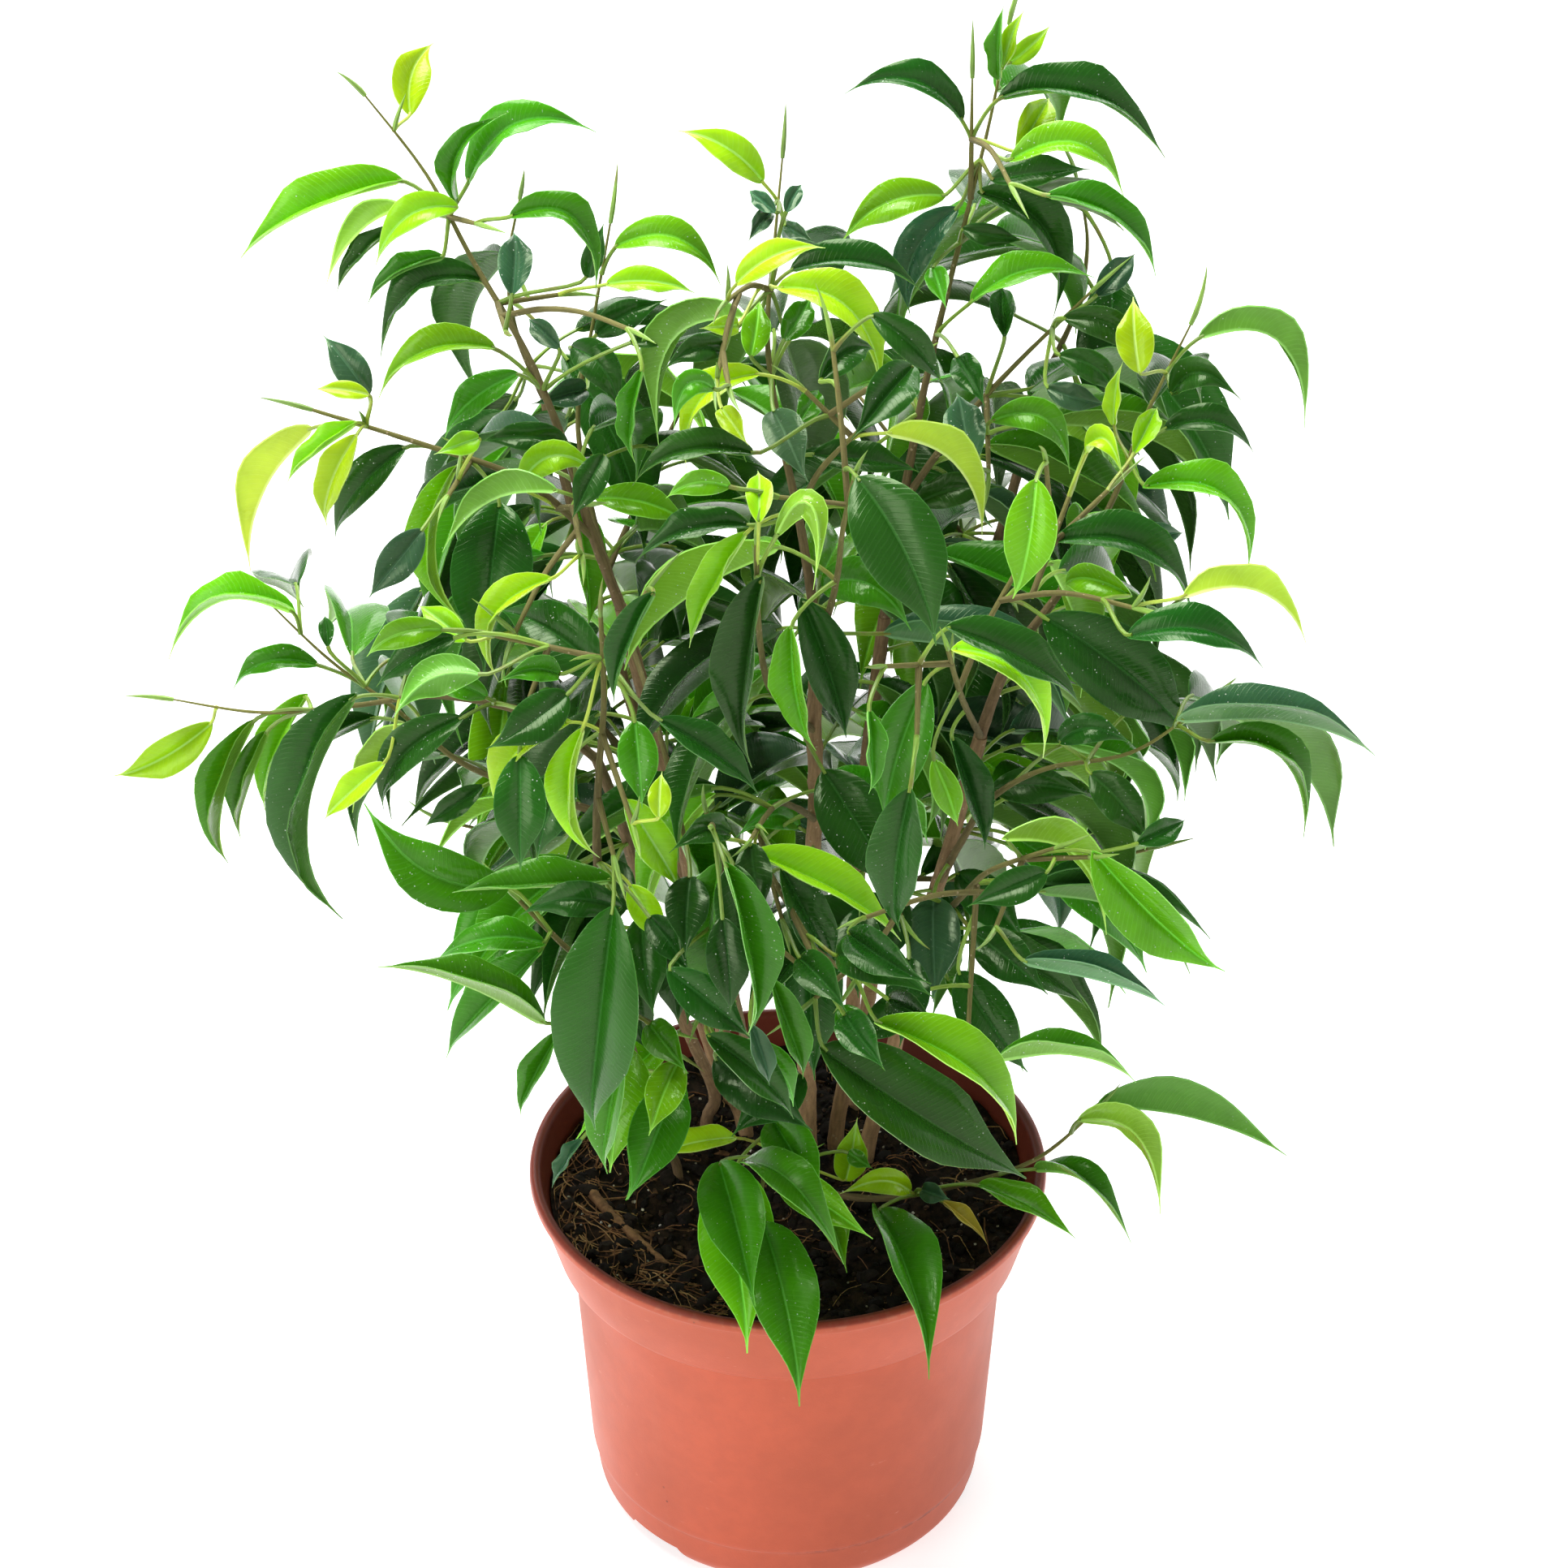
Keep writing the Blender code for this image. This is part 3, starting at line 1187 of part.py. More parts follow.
def make_pot(collection, cutters):
    outline = [(0.0, FLOOR), *pot_inside(), *pot_wall(), (0.0, 0.0)]
    pot = turned("pot", outline, POT_STEPS, collection)
    for i, angle in enumerate(NOTCH_ANGLES):
        turn = math.radians(angle)
        middle = BASE_RADIUS + NOTCH_OUTWARDS
        bpy.ops.mesh.primitive_cube_add(
            size=1.0,
            location=(middle * MM * math.cos(turn), middle * MM * math.sin(turn), 0.0),
            rotation=(0.0, 0.0, turn),
        )
        notch = bpy.context.object
        notch.name = f"drain_notch_{i + 1}"
        notch.scale = (NOTCH_DEPTH * MM, NOTCH_WIDTH * MM, 2 * NOTCH_HEIGHT * MM)
        for owner in list(notch.users_collection):
            owner.objects.unlink(notch)
        cutters.objects.link(notch)
        hide_cutter(notch)
        cut(pot, notch, notch.name)
    pot.data.materials.append(material("pot_plastic", POT_COLOUR, POT_ROUGHNESS))
    pot.data.shade_smooth()
    return pot


def make_soil(collection, cutters, feet):
    level = soil_level()
    edge = inner_radius(level) - SOIL_GAP
    outline = [(0.0, level), *((r, level) for r in SOIL_RINGS), (edge, level)]
    for radius, height in reversed(pot_inside()):
        if height < level:
            outline.append((radius - SOIL_GAP, max(height, FLOOR + SOIL_GAP)))
    outline.append((0.0, FLOOR + SOIL_GAP))
    soil = applied(turned("soil", outline, SOIL_STEPS, collection))
    for vertex in soil.data.vertices:
        if vertex.co.z > (level - SOIL_SURFACE) * MM:
            x, y = vertex.co.x / MM, vertex.co.y / MM
            inwards = min(1.0, max(0.0, (edge - math.hypot(x, y)) / SOIL_EDGE_FADE))
            vertex.co.z += inwards * soil_bump(x, y) * MM
    for name, ((x, y), radius) in feet.items():
        bpy.ops.mesh.primitive_cylinder_add(
            vertices=HOLE_SIDES,
            radius=(radius + HOLE_GAP) * MM / math.cos(math.pi / HOLE_SIDES),
            depth=2 * HOLE_DEPTH * MM,
            location=(x * MM, y * MM, level * MM),
        )
        hole = bpy.context.object
        hole.name = f"hole_for_{name}"
        for owner in list(hole.users_collection):
            owner.objects.unlink(hole)
        cutters.objects.link(hole)
        hide_cutter(hole)
        cut(soil, hole, hole.name)
    soil.data.materials.append(material("soil_peat", SOIL_COLOUR, SOIL_ROUGHNESS))
    return soil


def tube_object(name, line, radii, resolution, collection):
    """A closed tube mesh, made from a curve with a bevel and filled caps."""
    curve = bpy.data.curves.new(name, "CURVE")
    curve.dimensions = "3D"
    curve.bevel_depth = MM
    curve.bevel_resolution = resolution
    curve.use_fill_caps = True
    spline = curve.splines.new("POLY")
    spline.points.add(len(line) - 1)
    for point, place, radius in zip(spline.points, line, radii):
        point.co = (*(float(c) * MM for c in place), 1.0)
        point.radius = float(radius)
    drawn = bpy.data.objects.new(name, curve)
    collection.objects.link(drawn)
    graph = bpy.context.evaluated_depsgraph_get()
    mesh = bpy.data.meshes.new_from_object(drawn.evaluated_get(graph))
    work = bmesh.new()
    work.from_mesh(mesh)
    bmesh.ops.remove_doubles(work, verts=work.verts, dist=CAP_WELD)
    bmesh.ops.recalc_face_normals(work, faces=work.faces)
    work.to_mesh(mesh)
    work.free()
    made = bpy.data.objects.new(name, mesh)
    made.matrix_world = drawn.matrix_world
    collection.objects.link(made)
    bpy.data.objects.remove(drawn, do_unlink=True)
    made.name = name
    return made


def islands(work):
    """The connected pieces of a bmesh, as lists of faces."""
    seen_faces, found = set(), []
    for first in work.faces:
        if first in seen_faces:
            continue
        group, waiting = [], [first]
        seen_faces.add(first)
        while waiting:
            face = waiting.pop()
            group.append(face)
            for edge in face.edges:
                for other in edge.link_faces:
                    if other not in seen_faces:
                        seen_faces.add(other)
                        waiting.append(other)
        found.append(group)
    return found


def keep_largest(mesh):
    """Drops loose scraps and fills sealed hollows: only the largest body stays."""
    work = bmesh.new()
    work.from_mesh(mesh)
    groups = sorted(islands(work), key=len)
    extra = [face for group in groups[:-1] for face in group]
    bmesh.ops.delete(work, geom=extra, context="FACES")
    loose = [v for v in work.verts if not v.link_faces]
    bmesh.ops.delete(work, geom=loose, context="VERTS")
    work.to_mesh(mesh)
    work.free()


def remove_fins(work):
    """Deletes faces that lie back to back on the same corners, which a weld can leave."""
    alike = {}
    for face in work.faces:
        alike.setdefault(frozenset(face.verts), []).append(face)
    fins = [face for faces in alike.values() if len(faces) > 1 for face in faces]
    bmesh.ops.delete(work, geom=fins, context="FACES")


def join_flat_faces(mesh):
    """Takes out the edges that a union leaves in flat faces.

    Returns whether what is left is closed, in one body and free of slivers.
    """
    work = bmesh.new()
    work.from_mesh(mesh)
    bmesh.ops.remove_doubles(work, verts=work.verts, dist=WELD)
    remove_fins(work)
    bmesh.ops.dissolve_limit(
        work, angle_limit=FLAT_ANGLE, verts=work.verts, edges=work.edges
    )
    bmesh.ops.triangulate(work, faces=work.faces)
    closed = all(len(edge.link_faces) == 2 for edge in work.edges)
    lowest = min(
        2 * face.calc_area() / max(edge.calc_length() for edge in face.edges)
        for face in work.faces
    )
    sound = closed and len(islands(work)) == 1 and lowest > LEAST_HEIGHT
    if sound:
        work.to_mesh(mesh)
    work.free()
    return sound


def grown_together(stem, thicket, tubes, twig_swell, leaf_swell, collection):
    """One leafy stem: its trunk, with everything that grows from it joined to it."""
    growing = new_collection(f"{stem}_parts")
    trunk = None
    for i, (line, radii) in enumerate(tubes):
        home = growing if trunk else collection
        resolution = 1 if radii[0] > THICK_RADIUS else 0
        name = f"{stem}_twig_{i}" if trunk else stem
        wider = twig_swell if trunk else 0.0
        made = tube_object(name, line, [r + wider for r in radii], resolution, home)
        trunk = trunk or made
    for i, leaf in enumerate(thicket.leaves):
        if leaf.stem == stem:
            mesh_object(f"{stem}_leaf_{i}", *leaf_mesh(leaf, leaf_swell), growing)
    union = trunk.modifiers.new("Grow together", "BOOLEAN")
    union.operation = "UNION"
    union.operand_type = "COLLECTION"
    union.collection = growing
    union.solver = "MANIFOLD"
    applied(trunk)
    for part in list(growing.objects):
        bpy.data.objects.remove(part, do_unlink=True)
    bpy.data.collections.remove(growing)
    keep_largest(trunk.data)
    return trunk


def make_stem(stem, thicket, lines, collection):
    tubes = [(line, radii) for name, line, radii, _ in lines if name == stem]
    tubes += [(line, radii) for name, line, radii in thicket.twigs if name == stem]
    swells = [(leaf, twig) for leaf in LEAF_SWELLS for twig in TWIG_SWELLS]
    for leaf_swell, twig_swell in swells:
        trunk = grown_together(stem, thicket, tubes, twig_swell, leaf_swell, collection)
        clean = join_flat_faces(trunk.data)
        print(stem, len(trunk.data.polygons), "faces, swells", leaf_swell, twig_swell, clean)
        if clean or (leaf_swell, twig_swell) == swells[-1]:
            break
        bpy.data.objects.remove(trunk, do_unlink=True)
    trunk.data.materials.clear()
    trunk.data.materials.append(material(f"{stem}_green", LEAF_COLOUR, LEAF_ROUGHNESS))
    return trunk


def main():
    remove_everything()
    plant = new_collection("weeping_fig")
    cutters = new_collection("cutters")
    thicket = grow()
    lines = branch_lines()
    feet = {}
    for stem, line, radii, leafy in lines:
        if not leafy:
            feet[stem] = ((float(line[0][0]), float(line[0][1])), radii[0])
    make_pot(plant, cutters)
    make_soil(plant, cutters, feet)
    for stem in feet:
        make_stem(stem, thicket, lines, plant)


main()
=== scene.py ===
"""The looks of a weeping fig in a nursery pot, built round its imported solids.

The first half repeats the plant's layout, so that the leaves and twigs of the solids lie where
their solids do, and then adds more leaves for the look. The second half makes the fine leaves,
stalks, wood, pot and soil, with their materials, and the floor, the lights and the camera.

Sizes are millimetres, unless a comment says pixels of the view. MM turns them into metres.
"""

import math
import random

import bmesh
import bpy
import numpy as np
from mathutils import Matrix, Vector, noise
from mathutils.bvhtree import BVHTree


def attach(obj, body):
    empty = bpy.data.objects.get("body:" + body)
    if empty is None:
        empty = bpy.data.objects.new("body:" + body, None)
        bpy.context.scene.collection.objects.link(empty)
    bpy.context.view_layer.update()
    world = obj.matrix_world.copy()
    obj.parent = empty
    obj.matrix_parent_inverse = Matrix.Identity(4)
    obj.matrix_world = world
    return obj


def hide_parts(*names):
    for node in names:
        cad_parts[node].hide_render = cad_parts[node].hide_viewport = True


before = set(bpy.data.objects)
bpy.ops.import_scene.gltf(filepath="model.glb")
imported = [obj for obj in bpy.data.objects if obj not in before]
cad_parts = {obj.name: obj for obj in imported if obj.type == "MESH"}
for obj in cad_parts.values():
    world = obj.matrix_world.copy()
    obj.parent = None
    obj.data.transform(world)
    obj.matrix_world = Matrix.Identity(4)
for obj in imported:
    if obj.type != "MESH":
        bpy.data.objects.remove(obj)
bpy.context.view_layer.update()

MM = 0.001

# Pot: outer radii and heights
POT_HEIGHT = 91.0
RIM_RADIUS = 60.0
LIP_HEIGHT = 2.4
LIP_DEPTH = 1.1
LIP_ROUNDING = 0.3
LIP_UNDERCUT = 0.7
COLLAR_HEIGHT = 20.5
COLLAR_FOOT_RADIUS = 54.1
BODY_TOP_RADIUS = 50.6
COLLAR_STEP = 1.6
BAND_HEIGHT = 12.0
BAND_RADIUS = 47.6
BAND_STEP = 0.5
BASE_RADIUS = 43.8
BASE_CURVE_HEIGHT = 3.0
BASE_CURVE_RADIUS = 46.2
WALL = 1.5
INSIDE_STEP = (3.0, 0.4)
FLOOR = 2.0
NOTCH_ANGLES = (-133.0, -13.0, 107.0)
NOTCH_HEIGHT = 4.5
NOTCH_DEPTH = 7.0
NOTCH_OUTWARDS = 1.0

# Soil
SOIL_BELOW_RIM = 8.0
SOIL_GAP = 0.3
SOIL_BUMP = 0.9
# Waves of the loose surface: share of its height, turns per millimetre across and back,
# and start, in radians
SOIL_WAVES = ((1.0, 0.21, 0.17, 1.0), (0.6, 0.37, -0.31, 0.0), (0.4, 0.11, 0.52, 1.6))
SOIL_EDGE_FADE = 5.0
SOIL_SURFACE = 0.5
SOIL_CLEARANCE = 2.2
POT_CLEARANCE = 0.6
BARRIER_SIDES = 24

# Stems
HOLE_DEPTH = 20.0
STRAIGHT_ABOVE_SOIL = 3.5
TWIG_RADIUS = 0.85
PETIOLE_RADIUS = 0.55
PETIOLE_LENGTH = 13.0
LONGEST_PETIOLE = 21.0
SHARPEST_STALK = 0.4
TWIG_STEP = 16.0
BRANCH_STEP = 19.0
FINE_STEPS = 8
LOWEST_BEARER = 5.0
NEAREST_BEARER = 3.0
NEAR_COST = 6.0
TURN_COST = 9.0
AWAY_FROM_TWIG = 1.4
STALK_ON_TWIG = 0.75
TWIG_RISE = 0.06
TWIG_TAPER = (1.15, 0.8)

# Leaf blades: half widths as a share of the widest, and half thicknesses, by place along
BLADE_PLACES = (0.30, 0.68)
BLADE_WIDTHS = (0.96, 0.70)
OLD_HALF_THICKNESS = 0.55
YOUNG_HALF_THICKNESS = 0.45
YOUNG_TONES = ("lime", "lime_under")
BLADE_FOLD = math.radians(17.0)
LENGTH_TO_WIDTH = 2.3
NARROWEST = 0.37
BEND_PLACES = (0.28, 0.7)
ALONG_STEP = 0.02
STALK_AIM = 0.1
LENGTH_TO_CHORD = 1.03
FURTHEST_REACH = 26.0
LEAST_FACING = 0.3
HIGHEST_ARCH = 0.14
ARCH_RISE = (0.6, 0.03)
FLAT_LEAF_ARCH = 0.09
# An arched leaf's middle line runs below the top of its arch, by this share of its width,
# and by no more than this share of the way to its chord
ARCH_EDGE = 0.42
FURTHEST_DROP = 0.7

# The view that the front leaves are placed by: pixels of a square picture, 1932 a side
VIEW_X = -0.9
VIEW_Y = -602.0
VIEW_Z = 559.7
VIEW_DOWN = math.radians(31.4)
VIEW_PIXELS = 4025.0
VIEW_MIDDLE = 966.0
VIEW_PLACE = np.array((VIEW_X, VIEW_Y, VIEW_Z))
# The width of the view's sensor, in its own millimetres
SENSOR = 36.0

# The rounded shape that the front leaves lie on
CROWN_MIDDLE = np.array((0.0, 0.0, 235.0))
CROWN_RADII = np.array((112.0, 100.0, 115.0))
FOOT_BEHIND_CROWN = 10.0
# A leaf's foot lies on its branch if it is seen within the first number of pixels of it,
# and on the crown past the second
ON_BRANCH_PIXELS = (30.0, 90.0)

# A way that no trunk or twig follows, for setting out the sides of tubes
ASLANT = (0.31, 0.77, 0.53)

# Room kept between a leaf and what belongs to another stem
CLEAR = 0.35

# How far a leaf is moved towards the view or away, in turn, until it crosses nothing
SHIFTS = (0, 4, -4, 8, -8, 12, -12, 17, -17, 23, -23, 30, -30)

# Branches of each stem. A trunk starts at the soil, where (across, down) is seen.
# Points are (across, down, toward): pixels of the view, and millimetres in front of the
# pot's middle. Then the radii at the two ends.
TRUNKS = {
    "leafy_stem_left": (
        (870, 1400),
        ((880, 1345, -8), (825, 1220, -4), (790, 1100, 5), (765, 1010, 14), (735, 935, 20)),
        1.9,
        1.5,
    ),
    "leafy_stem_top_left": (
        (917, 1400),
        ((900, 1350, -22), (862, 1240, -22), (848, 1068, -12), (800, 880, -3), (765, 748, 5)),
        2.1,
        1.6,
    ),
    "leafy_stem_centre": (
        (995, 1430),
        ((996, 1384, -8), (990, 1180, -4), (1005, 1010, -2), (1003, 900, 0), (1008, 800, 3)),
        2.5,
        1.7,
    ),
    "leafy_stem_top_right": (
        (1030, 1412),
        ((1036, 1370, -15), (1050, 1250, -16), (1062, 1000, -18), (1090, 760, -20)),
        2.1,
        1.6,
    ),
    "leafy_stem_right": (
        (1068, 1430),
        ((1080, 1380, -8), (1134, 1157, -2), (1157, 1088, 1), (1208, 907, 6)),
        2.2,
        1.7,
    ),
    "leafy_stem_front_left": (
        (835, 1455),
        ((812, 1400, 8), (784, 1310, 22), (752, 1200, 38), (738, 1100, 48)),
        1.8,
        1.4,
    ),
    "leafy_stem_front": (
        (985, 1475),
        ((972, 1440, 8), (950, 1385, 20), (925, 1310, 34), (903, 1210, 46), (892, 1120, 54)),
        1.8,
        1.3,
    ),
}

# Trunks at the back: the place on the soil, then points (x, y, z)
BACK_TRUNKS = {
    "leafy_stem_back_left": (
        (-14.0, 33.0),
        ((-18.0, 38.0, 115.0), (-30.0, 50.0, 160.0), (-44.0, 62.0, 205.0), (-55.0, 72.0, 250.0)),
        2.0,
        1.2,
    ),
    "leafy_stem_back_right": (
        (16.0, 31.0),
        ((20.0, 37.0, 115.0), (30.0, 50.0, 160.0), (46.0, 64.0, 210.0), (58.0, 74.0, 255.0)),
        2.0,
        1.2,
    ),
}

# Leafy branches: the stem, the points as above, and the radii at the two ends
BRANCHES = (
    (
        "leafy_stem_left",
        (
            (735, 935, 20), (700, 898, 24), (651, 880, 27), (594, 865, 27), (502, 855, 25),
            (433, 870, 22), (368, 880, 20), (307, 878, 20), (272, 889, 20), (214, 862, 20),
        ),
        1.4,
        0.25,
    ),
    (
        "leafy_stem_left",
        (
            (765, 1010, 14), (690, 985, 13), (601, 956, 11), (559, 933, 9), (506, 888, 7),
            (464, 857, 6), (425, 834, 5), (383, 784, 5), (364, 757, 5), (334, 745, 5),
        ),
        1.2,
        0.25,
    ),
    (
        "leafy_stem_top_left",
        (
            (765, 748, 5), (731, 662, 7), (700, 560, 6), (654, 448, 0), (620, 382, -5),
            (580, 316, -10), (568, 267, -12), (529, 228, -14), (515, 178, -15), (450, 118, -15),
        ),
        1.6,
        0.25,
    ),
    (
        "leafy_stem_top_left",
        ((731, 662, 7), (660, 600, 12), (600, 575, 14), (500, 540, 15), (440, 515, 15), (385, 505, 15)),
        1.1,
        0.5,
    ),
    (
        "leafy_stem_top_left",
        ((765, 748, 5), (722, 600, -14), (712, 470, -22), (735, 380, -26), (752, 275, -28)),
        1.1,
        0.3,
    ),
    (
        "leafy_stem_centre",
        (
            (1008, 800, 3), (998, 720, 5), (985, 640, 5), (962, 540, 2), (952, 470, -2),
            (945, 400, -8), (951, 340, -13), (957, 265, -19), (964, 195, -22),
        ),
        1.6,
        0.25,
    ),
    (
        "leafy_stem_centre",
        ((985, 640, 5), (998, 590, 14), (1059, 548, 20), (1092, 500, 18)),
        1.1,
        0.5,
    ),
    (
        "leafy_stem_centre",
        ((1003, 900, 0), (950, 850, 26), (935, 770, 48), (932, 670, 62)),
        1.2,
        0.6,
    ),
    (
        "leafy_stem_centre",
        ((1005, 1010, -2), (960, 990, 26), (925, 1035, 58)),
        1.1,
        0.6,
    ),
    (
        "leafy_stem_centre",
        ((1008, 800, 3), (1030, 720, 34), (1040, 640, 56), (1052, 590, 62)),
        1.1,
        0.6,
    ),
    (
        "leafy_stem_top_right",
        (
            (1090, 760, -20), (1112, 620, -21), (1145, 450, -22), (1164, 383, -24),
            (1173, 318, -26), (1196, 245, -28), (1200, 189, -29), (1221, 142, -30),
            (1230, 92, -30), (1243, 30, -30),
        ),
        1.6,
        0.25,
    ),
    (
        "leafy_stem_top_right",
        ((1196, 245, -28), (1190, 185, -26), (1188, 140, -25), (1198, 96, -25)),
        0.9,
        0.25,
    ),
    (
        "leafy_stem_top_right",
        ((1112, 620, -21), (1185, 520, -18), (1250, 450, -16), (1309, 402, -15), (1344, 360, -15)),
        1.2,
        0.4,
    ),
    (
        "leafy_stem_right",
        (
            (1208, 907, 6), (1240, 820, 8), (1300, 738, 8), (1345, 670, 6), (1369, 620, 4),
            (1397, 560, 2), (1418, 497, 0), (1446, 445, -2), (1467, 400, -2),
        ),
        1.7,
        0.25,
    ),
    (
        "leafy_stem_right",
        (
            (1157, 1088, 1), (1215, 990, 18), (1280, 950, 27), (1340, 940, 30),
            (1400, 925, 30), (1455, 890, 30), (1490, 862, 30),
        ),
        1.3,
        0.3,
    ),
    (
        "leafy_stem_right",
        ((1134, 1157, -2), (1190, 1100, 28), (1240, 1060, 46), (1300, 1045, 52)),
        1.2,
        0.6,
    ),
    (
        "leafy_stem_right",
        ((1208, 907, 6), (1185, 860, 38), (1168, 800, 64)),
        1.1,
        0.6,
    ),
    (
        "leafy_stem_front_left",
        ((738, 1100, 48), (735, 1010, 52), (740, 920, 56), (745, 835, 60), (740, 760, 58)),
        1.3,
        0.6,
    ),
    (
        "leafy_stem_front_left",
        ((752, 1200, 38), (715, 1180, 48), (680, 1165, 50), (640, 1110, 46)),
        1.1,
        0.6,
    ),
    (
        "leafy_stem_front",
        ((892, 1120, 54), (888, 1060, 60), (870, 1000, 62)),
        1.2,
        0.6,
    ),
    (
        "leafy_stem_front",
        (
            (980, 1462, 6), (1015, 1476, 10), (1060, 1478, 12), (1150, 1468, 12),
            (1262, 1435, 10), (1300, 1410, 9), (1329, 1389, 9), (1352, 1366, 9),
        ),
        1.3,
        0.4,
    ),
)

# Leafy branches at the back: the stem, points (x, y, z), and the radii at the two ends
BACK_BRANCHES = (
    ("leafy_stem_back_left", ((-30, 50, 160), (-58, 66, 185), (-84, 74, 205)), 1.2, 0.5),
    ("leafy_stem_back_left", ((-24, 44, 140), (-38, 72, 150), (-50, 98, 160)), 1.1, 0.5),
    ("leafy_stem_back_left", ((-44, 62, 205), (-30, 84, 230), (-18, 100, 250)), 1.1, 0.5),
    ("leafy_stem_back_left", ((-55, 72, 250), (-62, 70, 275), (-58, 66, 300)), 1.0, 0.3),
    ("leafy_stem_back_left", ((-24, 44, 140), (-52, 52, 142), (-80, 52, 150)), 1.0, 0.5),
    ("leafy_stem_back_right", ((30, 50, 160), (62, 64, 180), (90, 68, 200)), 1.2, 0.5),
    ("leafy_stem_back_right", ((25, 43, 140), (28, 74, 150), (34, 100, 165)), 1.1, 0.5),
    ("leafy_stem_back_right", ((46, 64, 210), (28, 86, 228), (14, 104, 240)), 1.1, 0.5),
    ("leafy_stem_back_right", ((58, 74, 255), (66, 72, 280), (62, 66, 305)), 1.0, 0.3),
    ("leafy_stem_back_right", ((25, 43, 140), (56, 44, 140), (84, 40, 150)), 1.0, 0.5),
)

